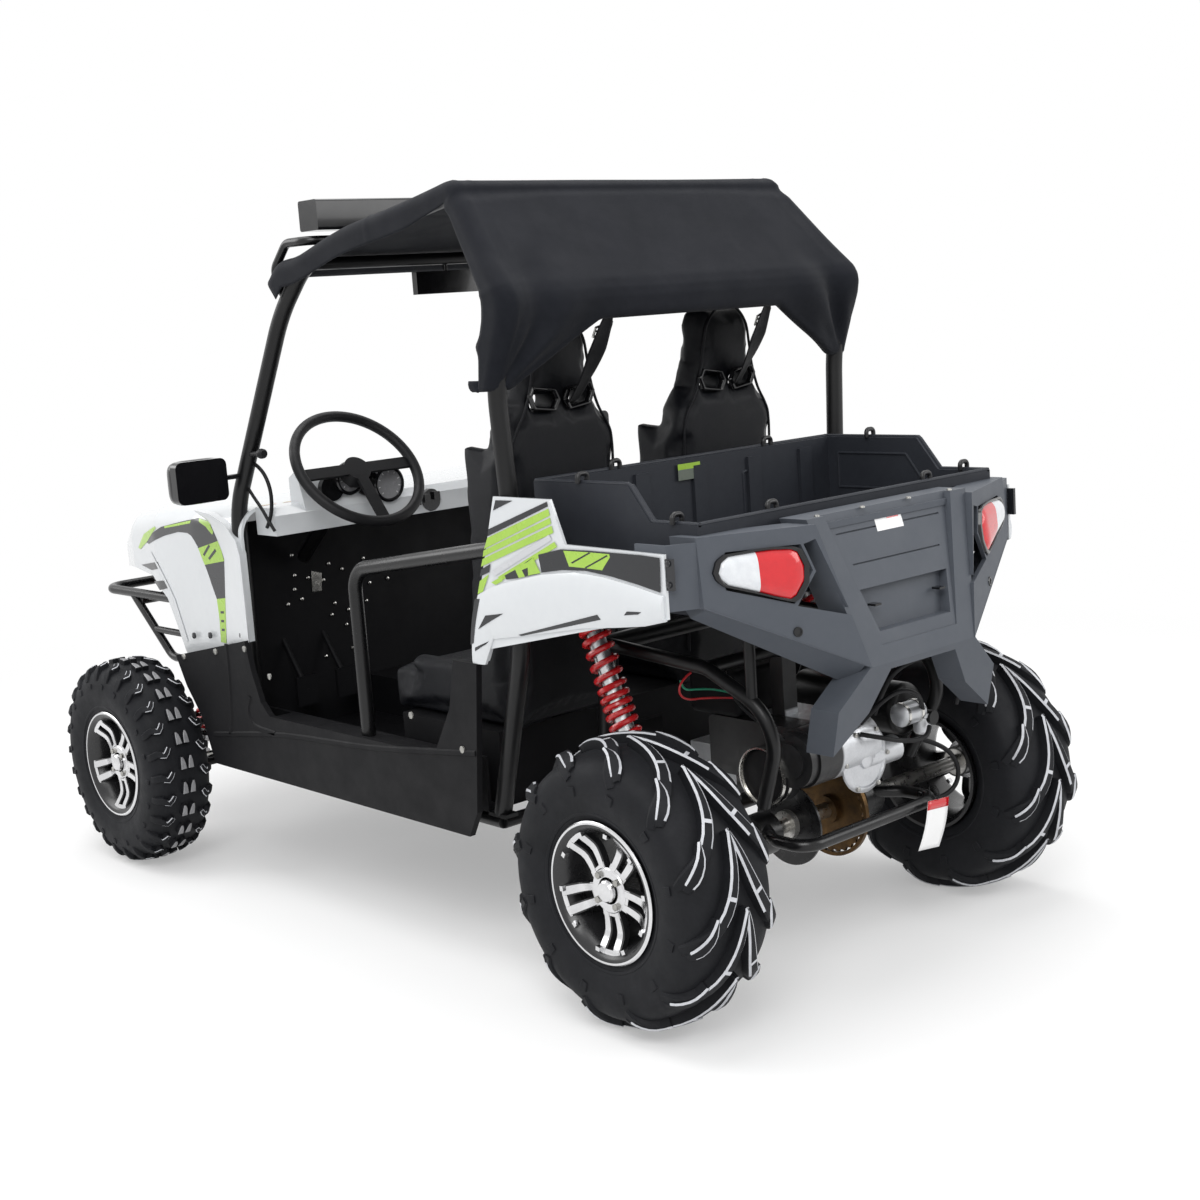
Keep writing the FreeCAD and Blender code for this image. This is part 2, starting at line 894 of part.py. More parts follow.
def knuckle():
    """Upright between the two ball joints, with its spindle and its steering arm."""
    reach = ball_spread_z - arm_tube_r - running_gap
    body = box(front_axle_x - knuckle_depth / 2, front_axle_x + knuckle_depth / 2,
               kingpin_y - knuckle_width / 2, kingpin_y + knuckle_width / 2,
               front_axle_z - reach, front_axle_z + reach)
    face_y = front_wheel_y + front_tyre_width / 2 - rim_inset - rim_face_inset
    spindle = rod((front_axle_x, kingpin_y, front_axle_z),
                  (front_axle_x, face_y - cap_depth - running_gap, front_axle_z), spindle_r)
    collar = rod((front_axle_x, kingpin_y, front_axle_z),
                 (front_axle_x, face_y - hub_depth - running_gap, front_axle_z), hub_r * collar_share)
    arm_z = front_axle_z - steer_arm_drop
    arm = box(front_axle_x - steer_arm_reach, front_axle_x, kingpin_y - steer_arm_width / 2,
              kingpin_y + steer_arm_width / 2, arm_z - steer_arm_thick / 2, arm_z + steer_arm_thick / 2)
    both_sides("knuckle", fused(body, spindle, collar, arm))


def tie_rod_place():
    """Centre of the steering arm's eye, at the height of the tie rod's axis."""
    return (front_axle_x - steer_arm_reach + steer_arm_width / 2, kingpin_y,
            front_axle_z - steer_arm_drop + steer_arm_thick / 2 + running_gap + tie_rod_r)


def tie_rod():
    """Rod from the steering arm to inside the open rubber boot of the rack."""
    x, y, z = tie_rod_place()
    joint = rod((x, y, z - tie_rod_r), (x, y, z + tie_rod_r), steer_arm_width / 2)
    bar = rod((x, y, z), (x, tie_rod_inner_y, z), tie_rod_r * arm_leg_share)
    both_sides("tie_rod", fused(joint, bar))


def raked(shape):
    """Turns a piece built about a vertical axis so that its top faces the driver."""
    shape.rotate(ORIGIN, Y, wheel_rake_deg - quarter_turn_deg)
    shape.translate(Vector(wheel_x, wheel_y, wheel_z))
    return shape


def steering_wheel():
    """Grip ring with three flat spokes and a hub."""
    ring = Part.makeTorus(wheel_r, wheel_grip_r)
    hub = Part.makeCylinder(wheel_hub_r, wheel_hub_depth, Vector(0, 0, -wheel_hub_depth))
    spokes = []
    for angle in wheel_spokes_deg:
        spoke = box(0, wheel_r, -wheel_spoke_width / 2, wheel_spoke_width / 2,
                    -wheel_spoke_thick, 0)
        spoke.rotate(ORIGIN, Z, angle)
        spokes.append(spoke)
    keep("steering_wheel", raked(fused(ring, hub, spokes)))


def column_shape(radius):
    return raked(Part.makeCylinder(radius, column_length,
                                   Vector(0, 0, -wheel_hub_depth - running_gap), -Z))


def steering_gear():
    """Rack housing with open rubber boots and two feet on the frame, and the raked column."""
    x, _, z = tie_rod_place()
    housing = rod((x, -rack_half_length, z), (x, rack_half_length, z), rack_r)
    feet = box(cross_front_x + frame_tube_r + seat_gap, x, rack_tab_y - rack_tab_width / 2,
               rack_tab_y + rack_tab_width / 2, z, rail_z)
    boots = []
    for side in (-1, 1):
        outer = rod((x, side * rack_half_length, z), (x, side * (rack_half_length + boot_length), z),
                    boot_r)
        inner = rod((x, side * (rack_half_length + boot_wall), z),
                    (x, side * (rack_half_length + boot_length + cut_over), z), boot_r - boot_wall)
        boots.append(outer.cut(inner))
    rack = fused(housing, with_mirror(feet), boots)
    keep("steering_gear", Part.makeCompound([rack, column_shape(column_r)]))


def coil(start, end, radius, wire, turns, bore):
    """Spring drawn as a sleeve of the given bore whose outside swells once a turn."""
    a, b = Vector(*start), Vector(*end)
    pitch = (b - a).Length / turns
    edges = []
    for turn in range(turns):
        low = turn * pitch
        sides = [(radius - wire / 2, low), (radius, low + pitch / 2), (radius - wire / 2, low + pitch)]
        edges.append(Part.Arc(*[Vector(r, 0, z) for r, z in sides]).toShape())
    end_low, end_top = Vector(radius - wire / 2, 0, 0), Vector(radius - wire / 2, 0, turns * pitch)
    bore_low, bore_top = Vector(bore, 0, 0), Vector(bore, 0, turns * pitch)
    for p, q in ((end_top, bore_top), (bore_top, bore_low), (bore_low, end_low)):
        edges.append(Part.LineSegment(p, q).toShape())
    shape = Part.Face(Part.Wire(edges)).revolve(Vector(), Z, full_turn_deg)
    shape.Placement = FreeCAD.Placement(a, FreeCAD.Rotation(Z, b - a))
    return shape


def shock(low, top):
    """Damper with an eye at each end and the coil spring round it; returns spring, damper."""
    a, b = Vector(*low), Vector(*top)
    run = b - a
    unit = Vector(run).normalize()
    eyes = [rod(tuple(p - X * eye_r), tuple(p + X * eye_r), eye_r) for p in (a, b)]
    spring_low = a + unit * (eye_r * spring_foot_share)
    spring_top = b - unit * (eye_r * spring_head_share)
    length = (spring_top - spring_low).Length
    body = Part.makeCylinder(shock_rod_r, run.Length, a, run)
    spring = coil(tuple(spring_low), tuple(spring_top), spring_r, spring_wire, spring_turns, shock_body_r)
    inner = Part.makeCylinder(shock_body_r - seat_gap, length, spring_low, run)
    return spring, fused(body, inner, eyes)


def shocks():
    arm_top = arm_height_at(front_shock_low_y) + arm_tube_r
    front = shock((front_axle_x, front_shock_low_y, arm_top + eye_r + seat_gap),
                  (front_axle_x, front_shock_top_y, front_shock_top_z))
    rear = shock((rear_shock_low_x, rear_shock_y, rear_shock_low_z),
                 (rear_shock_top_x, rear_shock_y, rear_shock_top_z))
    keep("springs", Part.makeCompound(with_mirror(front[0]) + with_mirror(rear[0])))
    keep("dampers", Part.makeCompound(with_mirror(front[1]) + with_mirror(rear[1])))


def swing_arm():
    """Trailing arm: pivot tube, two side tubes, bearing carriers, shock tube and guard loop."""
    pivot = rod((swing_pivot_x, -swing_y, swing_pivot_z), (swing_pivot_x, swing_y, swing_pivot_z),
                swing_tube_r)
    root_y = swing_y - swing_tube_r
    arms = [rod((swing_pivot_x, side * root_y, swing_pivot_z), (0, side * carrier_y, rear_axle_z),
                swing_tube_r * arm_leg_share) for side in (-1, 1)]
    tie_z = rear_shock_low_z - eye_r - swing_tube_r - seat_gap
    tie = rod((rear_shock_low_x, -rear_shock_y - eye_r, tie_z),
              (rear_shock_low_x, rear_shock_y + eye_r, tie_z), swing_tube_r)
    carriers = [rod((0, side * (carrier_y - carrier_length / 2), rear_axle_z),
                    (0, side * (carrier_y + carrier_length / 2), rear_axle_z), carrier_r)
                for side in (-1, 1)]
    guard = tube([(-carrier_r / 2, -carrier_y, guard_z), (guard_x / 2, -guard_y, guard_z),
                  (guard_x, -guard_y, guard_z), (guard_x, guard_y, guard_z),
                  (guard_x / 2, guard_y, guard_z), (-carrier_r / 2, carrier_y, guard_z)],
                 guard_tube_r, frame_bend / 2)
    bore = rod((0, -guard_y, rear_axle_z), (0, guard_y, rear_axle_z), axle_r + running_gap)
    keep("swing_arm", fused(pivot, arms, tie, carriers, guard).cut(bore))


def chain_loop(reach):
    """Loop round the two sprockets: two half discs joined by their straight tangents."""
    big, small = sprocket_r + reach, drive_sprocket_r + reach
    run = math.hypot(drive_sprocket_x, drive_sprocket_z - rear_axle_z)
    tilt = math.atan2(drive_sprocket_z - rear_axle_z, drive_sprocket_x)
    lean = math.acos((big - small) / run)
    y = sprocket_y - chain_width / 2

    def point(x, z, radius, angle):
        return Vector(x + radius * math.cos(angle), y, z + radius * math.sin(angle))

    a = point(0, rear_axle_z, big, tilt + lean)
    b = point(drive_sprocket_x, drive_sprocket_z, small, tilt + lean)
    c = point(drive_sprocket_x, drive_sprocket_z, small, tilt)
    d = point(drive_sprocket_x, drive_sprocket_z, small, tilt - lean)
    e = point(0, rear_axle_z, big, tilt - lean)
    f = point(0, rear_axle_z, big, tilt + math.pi)
    wire = Part.Wire([Part.LineSegment(a, b).toShape(), Part.Arc(b, c, d).toShape(),
                      Part.LineSegment(d, e).toShape(), Part.Arc(e, f, a).toShape()])
    return Part.Face(wire).extrude(Y * chain_width)


def chain():
    keep("chain", chain_loop(running_gap + chain_depth).cut(chain_loop(running_gap)))


# Cab floor, skirts and cowl
def floor_tub():
    """Floor pan with side walls, tunnel, firewall, inner arch panels and two pedals."""
    low = rail_z + frame_tube_r + seat_gap
    top = low + floor_thick
    pan = box(floor_rear_x, floor_front_x, -floor_y, floor_y, low, top)
    walls = [box(floor_rear_x, floor_front_x, side * floor_y, side * (floor_y - footwell_wall),
                 low, sill_z) for side in (-1, 1)]
    tunnel = box(floor_rear_x, floor_front_x, -tunnel_y, tunnel_y, low, tunnel_z)
    hollow = box(floor_rear_x - cut_over, floor_front_x - footwell_wall, -tunnel_y + floor_thick,
                 tunnel_y - floor_thick, low - cut_over, tunnel_z - floor_thick)
    wall = box(floor_front_x - footwell_wall, floor_front_x, -floor_y, floor_y, low, firewall_top_z)
    liners = [box(floor_front_x - footwell_wall, liner_front_x, side * (liner_y - liner_thick),
                  side * liner_y, liner_low_z, liner_top_z) for side in (-1, 1)]
    pedals = []
    for y in (wheel_y - pedal_pitch / 2, wheel_y + pedal_pitch / 2):
        pad = box(pedal_x, pedal_x + pedal_thick, y - pedal_width / 2, y + pedal_width / 2,
                  pedal_z, pedal_z + pedal_height)
        arm = rod((pedal_x + pedal_thick / 2, y, pedal_z + pedal_height / 2),
                  (floor_front_x - footwell_wall / 2, y, pedal_top_z), pedal_arm_r)
        pedals += [pad, arm]
    tub = fused(pan, walls, tunnel, wall, liners, pedals)
    keep("floor_tub", tub.cut(hollow))


# Along the skirt's length and up its height
skirt_outline_shares = [
    (0.055, 0.0), (0.882, 0.0), (0.918, 0.31), (0.966, 0.50), (0.998, 0.70), (0.720, 0.89),
    (0.706, 0.70), (0.682, 0.50), (0.655, 0.42), (0.190, 0.43), (0.128, 0.47), (0.082, 0.72),
    (0.062, 1.0), (0.0, 1.0), (0.030, 0.15),
]
sill_end_shares = (0.190, 0.655)


def side_skirts():
    outline = placed(skirt_outline_shares, skirt_rear_x, skirt_low_z, skirt_length, skirt_height)
    panel = prism_y(outline, skirt_y - skirt_wall, skirt_y)
    low, high = [skirt_rear_x + skirt_length * share for share in sill_end_shares]
    sill = box(low, high, floor_y + seat_gap, skirt_y, sill_z - sill_depth, sill_z)
    keep("side_skirts", Part.makeCompound(with_mirror(fused(panel, sill))))


# Along, half width, top and bottom of each section of the cowl
cowl_section_shares = [
    (0.0, 1.0, 1.0, 0.05), (0.28, 0.985, 0.995, 0.0), (0.55, 0.95, 0.955, 0.0),
    (0.78, 0.87, 0.88, 0.10), (0.93, 0.77, 0.73, 0.38), (1.0, 0.70, 0.52, 0.42),
]
arch_cut_shares = [
    (-0.02, 0.21), (0.405, 0.01), (0.447, 0.17), (0.50, 0.36), (0.60, 0.49), (0.78, 0.51),
    (1.02, 0.46), (1.02, -0.2), (-0.02, -0.2),
]


def cowl_solid(inset, front_trim):
    """Loft through upright sections with round upper corners; inset shrinks every face."""
    sections = []
    for along, half, top, bottom in cowl_section_shares:
        x = cowl_rear_x + along * (cowl_length - front_trim)
        y = cowl_y * half - inset
        z1 = cowl_low_z + cowl_height * top - inset
        z0 = cowl_low_z + cowl_height * bottom - (cut_over if inset else 0)
        r = min(cowl_corner, (z1 - z0) / 3)
        bulge = r * (1 - math.sqrt(1 / 2))
        a, b = Vector(x, -y, z0), Vector(x, -y, z1 - r)
        c, d = Vector(x, -y + r, z1), Vector(x, y - r, z1)
        e, f = Vector(x, y, z1 - r), Vector(x, y, z0)
        sections.append(Part.Wire([
            Part.LineSegment(a, b).toShape(),
            Part.Arc(b, Vector(x, -y + bulge, z1 - bulge), c).toShape(),
            Part.LineSegment(c, d).toShape(),
            Part.Arc(d, Vector(x, y - bulge, z1 - bulge), e).toShape(),
            Part.LineSegment(e, f).toShape(),
            Part.LineSegment(f, a).toShape()]))
    return Part.makeLoft(sections, True, True)


def front_cowl():
    """Thin shell, open behind and below, with wheel arches, lamp holes and pillar notches."""
    inner = cowl_solid(cowl_wall, cowl_wall)
    shell = cowl_solid(0, 0).cut(inner)
    arch = placed(arch_cut_shares, cowl_rear_x, cowl_low_z, cowl_length, cowl_height)
    wide = cowl_y + cut_over
    shell = shell.cut(prism_y(arch, -wide, wide))
    lamp_x = cowl_rear_x + cowl_length - headlamp_back
    slots = [rod((lamp_x, side * headlamp_y, headlamp_z),
                 (lamp_x + cowl_length, side * headlamp_y, headlamp_z), headlamp_r + seat_gap)
             for side in (-1, 1)]
    foot_z = rail_z + brace_tube_r + seat_gap + cage_foot_thick
    notches = [rod((cage_front_foot_x, side * cage_front_foot_y, foot_z),
                   (pillar_knee_x, side * pillar_knee_y, pillar_knee_z),
                   frame_tube_r + notch_gap) for side in (-1, 1)]
    notches += [rod((pillar_knee_x, side * pillar_knee_y, pillar_knee_z),
                    (pillar_top_x, side * pillar_top_y, pillar_top_z),
                    frame_tube_r + notch_gap) for side in (-1, 1)]
    notches += [Part.makeSphere(frame_tube_r + notch_gap,
                                Vector(pillar_knee_x, side * pillar_knee_y, pillar_knee_z))
                for side in (-1, 1)]
    grille = [box(lamp_x, lamp_x + cowl_length, -grille_y, grille_y, z, z + grille_slot)
              for z in [grille_low_z + index * grille_pitch for index in range(grille_count)]]
    keep("front_cowl", shell.cut(slots + notches + grille))


def headlamps():
    rear = cowl_rear_x + cowl_length - headlamp_depth
    body = rod((rear, headlamp_y, headlamp_z), (rear + headlamp_depth, headlamp_y, headlamp_z),
               headlamp_r)
    keep("headlamps", Part.makeCompound(with_mirror(body)))


def front_bumper():
    """Two side loops joined by a front bar and by a cross tube against the nose rail."""
    y = bumper_y
    parts = [tube([(bumper_root_x, -y, bumper_z), (bumper_x, -y, bumper_z), (bumper_x, y, bumper_z),
                   (bumper_root_x, y, bumper_z)], bumper_tube_r, bumper_bend)]
    share = (bumper_rung_z - bumper_low_z) / (bumper_z - bumper_low_z)
    rung_x = bumper_low_x + share * (bumper_drop_x - bumper_low_x)
    cross_x = nose_rail_x + frame_tube_r + seat_gap + bumper_tube_r
    for side in (-1, 1):
        parts.append(tube([(bumper_drop_x, side * y, bumper_z), (bumper_low_x, side * y, bumper_low_z),
                           (bumper_root_x, side * y, bumper_low_z)], bumper_brace_r, bumper_bend))
        parts.append(rod((rung_x, side * y, bumper_rung_z), (bumper_root_x, side * y, bumper_rung_z),
                         bumper_rung_r))
        parts.append(rod((cross_x, side * rail_y, nose_rail_z), (bumper_x, side * rail_y, bumper_z),
                         bumper_brace_r))
    parts.append(rod((cross_x, -y, nose_rail_z), (cross_x, y, nose_rail_z), bumper_tube_r))
    shape = parts[0]
    for part in parts[1:]:
        shape = shape.fuse(part)
    keep("front_bumper", shape)


dash_outline_shares = [(0.0, 0.0), (1.0, 0.0), (1.0, 1.0), (0.24, 1.0), (0.0, 0.72)]
binnacle_outline_shares = [(0.0, 0.0), (1.0, 0.0), (1.0, 0.86), (0.62, 1.0), (0.42, 1.0)]


def dash_panel():
    """Dash beam against the cowl, with the hood over the gauges, bored for the column."""
    rear = cowl_rear_x - seat_gap - dash_depth
    height = cowl_top_z - dash_low_z
    panel = prism_y(placed(dash_outline_shares, rear, dash_low_z, dash_depth, height), -dash_y, dash_y)
    hood_low = wheel_y - binnacle_width / 2
    hood = prism_y(placed(binnacle_outline_shares, rear, cowl_top_z - height / 3, binnacle_depth,
                          binnacle_height), hood_low, hood_low + binnacle_width)
    pockets = [gauge(place, seat_gap) for place in gauge_places()]
    keep("dash_panel", fused(panel, hood).cut(pockets + [column_shape(column_r + seat_gap)]))


def gauge_places():
    """Centre (y, z) and radius of each round gauge or vent on the dash."""
    hood_z = cowl_top_z + binnacle_height * gauge_height_share
    beam_z = dash_low_z + (cowl_top_z - dash_low_z) * vent_height_share
    return [(wheel_y + gauge_pitch / 2, hood_z, gauge_r), (wheel_y - gauge_pitch / 2, hood_z, gauge_r),
            (0, beam_z, vent_r), (vent_y, beam_z, vent_r)]


def gauge(place, clearance):
    y, z, radius = place
    rear = cowl_rear_x - seat_gap - dash_depth - gauge_proud
    return rod((rear, y, z), (rear + gauge_depth + clearance, y, z), radius + clearance)


def instruments():
    keep("instruments", Part.makeCompound([gauge(place, 0) for place in gauge_places()]))


def hip_bars():
    """Grab tube on each side: up from the sill, then back to the hoop."""
    foot = sill_z + seat_gap
    slope = math.atan2(hip_rear_z - hip_top_z, hip_x - hoop_bend_x)
    end_x = hoop_bend_x + frame_tube_r + seat_gap + hip_tube_r * math.sin(slope)
    bar = tube([(hip_x, hip_y, foot), (hip_x, hip_y, hip_top_z), (end_x, hip_y, hip_rear_z)],
               hip_tube_r, hip_bend)
    keep("hip_bars", Part.makeCompound(with_mirror(bar)))


# Seats: half width and height of the back's outline
seat_back_shares = [
    (0.97, 0.0), (1.0, 0.20), (1.0, 0.70), (0.94, 0.745), (0.66, 0.80), (0.56, 0.87),
    (0.50, 0.96), (0.40, 1.0),
]


def seat(side):
    """Bucket seat: cushion with side bolsters, and a tall back with wings and two strap slots."""
    y = side * seat_y
    half = seat_half_width
    cushion_top = seat_low_z + cushion_height
    cushion = box(seat_back_x, seat_front_x, y - half, y + half, seat_low_z, cushion_top)
    bolsters = [box(seat_back_x + back_thick, seat_front_x - half / 2, y + s * half,
                    y + s * (half - bolster_width), cushion_top, cushion_top + bolster_height)
                for s in (-1, 1)]
    outline = [(y + a * half, seat_low_z + b * back_height) for a, b in seat_back_shares]
    outline += [(y - a * half, seat_low_z + b * back_height) for a, b in reversed(seat_back_shares)]
    back = prism_x(outline, seat_back_x, seat_back_x + back_thick)
    wing_top = seat_low_z + seat_back_shares[3][1] * back_height
    wings = [box(seat_back_x + back_thick, seat_back_x + back_thick + wing_depth, y + s * half,
                 y + s * (half - bolster_width), cushion_top, wing_top - bolster_width)
             for s in (-1, 1)]
    slot_z = seat_low_z + slot_share * back_height
    slots = [box(seat_back_x - cut_over, seat_back_x + back_thick + cut_over,
                 y + s * slot_pitch / 2 - slot_width / 2, y + s * slot_pitch / 2 + slot_width / 2,
                 slot_z - slot_height / 2, slot_z + slot_height / 2) for s in (-1, 1)]
    upper = fused(back, wings).cut(slots)
    upper.rotate(Vector(seat_back_x, 0, seat_low_z), Y, -back_lean_deg)
    return fused(cushion, bolsters, upper)


def seats():
    keep("seat_left", seat(1))
    keep("seat_right", seat(-1))


def seat_base():
    """Hollow pedestal under both seats."""
    low = rail_z + frame_tube_r + seat_gap + floor_thick + seat_gap
    top = seat_low_z - seat_gap
    outer = box(floor_rear_x, base_front_x, -base_y, base_y, low, top)
    inner = box(floor_rear_x + base_wall, base_front_x - base_wall, -base_y + base_wall,
                base_y - base_wall, low - cut_over, top - base_wall)
    tunnel = box(floor_rear_x - cut_over, base_front_x + cut_over, -tunnel_y - seat_gap,
                 tunnel_y + seat_gap, low - cut_over, tunnel_z + seat_gap)
    keep("seat_base", outer.cut([inner, tunnel]))


def harness(side, top_y):
    """Shoulder strap from the strap bar down to the slots of the seat back."""
    x, _, z = hoop_point(strap_bar_share)
    y = side * seat_y
    lean = math.radians(back_lean_deg)
    rise = slot_share * back_height
    slot_z = seat_low_z + rise * math.cos(lean)
    half = strap_width / 2
    end_x = seat_back_x - rise * math.sin(lean) - seat_gap - strap_thick / math.cos(lean)
    start_z = z - brace_tube_r - seat_gap
    points = [(x, top_y - half, start_z), (x, top_y + half, start_z),
              (end_x, y + half, slot_z), (end_x, y - half, slot_z)]
    halves = [points[:3], [points[0], points[2], points[3]]]
    return fused([face_of(three).extrude(X * strap_thick) for three in halves])


def harnesses():
    keep("harnesses", Part.makeCompound([harness(1, strap_left_y), harness(-1, strap_right_y)]))


# Cargo bed and quarter panels
def cargo_bed():
    """Open tray: the side walls step down towards the tail, and the front wall is ribbed."""
    outline = [(bed_rear_x, bed_floor_z), (bed_front_x, bed_floor_z), (bed_front_x, bed_top_z),
               (bed_slope_x, bed_top_z), (bed_slope_end_x, bed_tail_z), (bed_rear_x, bed_tail_z)]
    outer = prism_y(outline, -bed_y, bed_y)
    inner = box(bed_rear_x + bed_wall, bed_front_x - bed_wall, -bed_y + bed_wall, bed_y - bed_wall,
                bed_floor_z + bed_wall, bed_top_z + cut_over)
    ribs = []
    pitch = (2 * bed_y - 2 * bed_wall) / rib_count
    for rib in range(rib_count):
        y = -bed_y + bed_wall + (rib + 1 / 2) * pitch
        ribs.append(box(bed_front_x - bed_wall - rib_depth, bed_front_x - bed_wall, y - rib_width / 2,
                        y + rib_width / 2, bed_floor_z + bed_wall, bed_top_z - bed_rim))
    keep("cargo_bed", fused(outer.cut(inner), ribs))


def hook():
    """Tie-down hook: a small arch of round bar, standing on the rim."""
    r = hook_width / 2 - hook_r
    height = hook_height - hook_r
    return tube([(0, -r, 0), (0, -r, height), (0, r, height), (0, r, 0)], hook_r, r)


hook_place_shares = (0.52, 0.53)


def bed_hooks():
    front_share, rear_share = hook_place_shares
    places = [(bed_front_x - bed_wall / 2, bed_y * front_share, bed_top_z),
              ((bed_slope_x + bed_front_x) / 2, bed_y - bed_wall / 2, bed_top_z),
              ((bed_rear_x + bed_slope_end_x) / 2, bed_y - bed_wall / 2, bed_tail_z),
              (bed_rear_x + bed_wall / 2, bed_y * rear_share, bed_tail_z)]
    hooks = []
    for x, y, z in places:
        one = hook()
        one.translate(Vector(x, y, z + seat_gap))
        hooks += with_mirror(one)
    keep("bed_hooks", Part.makeCompound(hooks))


# Along the panel's length and up its height
quarter_outline_shares = [
    (0.0, 0.39), (0.33, 0.29), (0.90, 0.08), (0.925, 0.0), (1.0, 0.0), (0.955, 0.33),
    (0.822, 1.0), (0.525, 1.0), (0.465, 0.75), (0.0, 0.74),
]


def quarter_panels():
    """White side panels, each with a boss on the hoop."""
    outline = placed(quarter_outline_shares, quarter_rear_x, quarter_low_z, quarter_length, quarter_height)
    panel = prism_y(outline, quarter_y, quarter_y + quarter_wall)
    boss = rod((hoop_bend_x, hoop_waist_y + frame_tube_r + seat_gap, quarter_boss_z),
               (hoop_bend_x, quarter_y, quarter_boss_z), quarter_boss_r)
    keep("quarter_panels", Part.makeCompound(with_mirror(fused(panel, boss))))


# Tail
def tail_x(z):
    """Place of the centre plate's outer face at a height: it leans out down to the waist."""
    if z > tail_waist_z:
        share = (tail_top_z - z) / (tail_top_z - tail_waist_z)
        return tail_top_x + share * (tail_waist_x - tail_top_x)
    share = (tail_waist_z - z) / (tail_waist_z - tail_foot_z)
    return tail_waist_x + share * (tail_foot_x - tail_waist_x)


def tail_slab(near, far):
    """Leaning slab between two depths forward of the outer face."""
    heights = (tail_top_z, tail_waist_z, tail_foot_z)
    outline = [(tail_x(z) + near, z) for z in heights]
    outline += [(tail_x(z) + far, z) for z in reversed(heights)]
    return prism_y(outline, -cowl_y, cowl_y)


def mirrored_outline(points):
    """Closes a right-hand outline of (y, z) points with its mirror image."""
    return points + [(-y, z) for y, z in reversed(points)]


def tail_centre():
    """Waisted centre plate with two low legs, a side flange, a sunk panel and a deep recess."""
    outline = [(tail_half_top, tail_top_z), (tail_half_waist, tail_waist_z),
               (tail_half_foot, tail_knee_z), (tail_half_foot, tail_foot_z),
               (tail_arch_low_half, tail_foot_z + tail_flange), (tail_arch_half, tail_arch_z)]
    low, high = tail_x(tail_waist_z) - tail_flange, tail_top_x + tail_flange * 2
    wire = Part.makePolygon([Vector(low, y, z) for y, z in mirrored_outline(outline)] +
                            [Vector(low, *outline[0])])
    body = Part.Face(wire).extrude(X * (high - low))
    inner_wire = Part.Face(wire).makeOffset2D(-tail_flange_wall)
    core = inner_wire.extrude(X * (high - low))
    plate_part = body.common(tail_slab(0, tail_thick))
    flange = body.common(tail_slab(0, tail_flange)).cut(core)
    inset = tail_strip_width
    panel = [(tail_half_top - inset, tail_top_z), (tail_half_waist - inset, tail_panel_low_z)]
    over = [(panel[0][0], tail_top_z + cut_over), panel[1]]
    room = prism_x(mirrored_outline(over), low, high)
    behind = [(y + tail_flange_wall, z) for y, z in panel]
    backing = prism_x(mirrored_outline(behind), low, high).common(
        tail_slab(tail_thick / 2, tail_thick + tail_panel_sink))
    recess = [(recess_top_half, recess_top_z), (recess_low_half, recess_low_z)]
    walls = [(recess_top_half + recess_wall, recess_top_z + recess_wall),
             (recess_low_half + recess_wall, recess_low_z - recess_wall)]
    box_back = prism_x(mirrored_outline(walls), low, high).common(
        tail_slab(tail_thick / 2, recess_depth + recess_wall))
    top, foot = tail_top_z + cut_over, tail_panel_low_z
    sink = prism_y([(tail_x(foot) + tail_panel_low_sink, foot), (tail_x(top) + tail_panel_sink, top),
                    (tail_x(top) - tail_flange, top), (tail_x(foot) - tail_flange, foot)],
                   -cowl_y, cowl_y).common(room)
    pocket = prism_x(mirrored_outline(recess), low, high).common(tail_slab(-tail_flange, recess_depth))
    grooves = []
    for z, half in groove_places:
        share = (z - foot) / (tail_top_z - foot)
        sunk = tail_panel_low_sink + share * (tail_panel_sink - tail_panel_low_sink)
        grooves.append(box(tail_x(z) - tail_flange, tail_x(z) + sunk + groove_cut, -half, half,
                           z - groove_height / 2, z + groove_height / 2))
    return fused(plate_part, flange, backing, box_back).cut([sink, pocket] + grooves)


def wing_point(y, z):
    """Point of the left wing's plane, which passes through its two outer corners and the waist."""
    a = Vector(tail_corner_x, tail_corner_y, tail_corner_top_z)
    b = Vector(tail_corner_x - tail_corner_lean, tail_corner_y, tail_corner_low_z)
    c = Vector(tail_waist_x, tail_half_waist, tail_waist_z)
    normal = (b - a).cross(c - a)
    x = a.x - (normal.y * (y - a.y) + normal.z * (z - a.z)) / normal.x
    return (x, y, z)


# Share of the way from the waist out to the corner, and height share of the wing's outer edge
lamp_outline_shares = [(0.89, 0.53), (0.83, 0.75), (0.36, 0.73), (0.30, 0.34), (0.44, -0.10), (0.85, 0.22)]
opening_outline_shares = [(0.34, 0.73), (0.26, 0.78), (0.08, -0.38), (0.42, -0.14), (0.28, 0.32)]


def wing_outline(shares):
    """Outline on the wing from shares of its width and of its outer edge's height."""
    height = tail_corner_top_z - tail_corner_low_z
    width = tail_corner_y - tail_half_waist
    return [(tail_half_waist + a * width, tail_corner_low_z + b * height) for a, b in shares]


def grown(points, amount):
    """Convex (y, z) outline moved out from its centre by about an amount."""
    middle_y = sum(y for y, _ in points) / len(points)
    middle_z = sum(z for _, z in points) / len(points)
    moved = []
    for y, z in points:
        reach = math.hypot(y - middle_y, z - middle_z)
        factor = 1 + amount / reach
        moved.append((middle_y + (y - middle_y) * factor, middle_z + (z - middle_z) * factor))
    return moved


def wing_prism(outline, near, far):
    """Prism along X through an outline of the wing, between two depths from its plane."""
    corners = [Vector(*wing_point(y, z)) for y, z in outline]
    face = face_of([tuple(c + X * near) for c in corners])
    return face.extrude(X * (far - near))


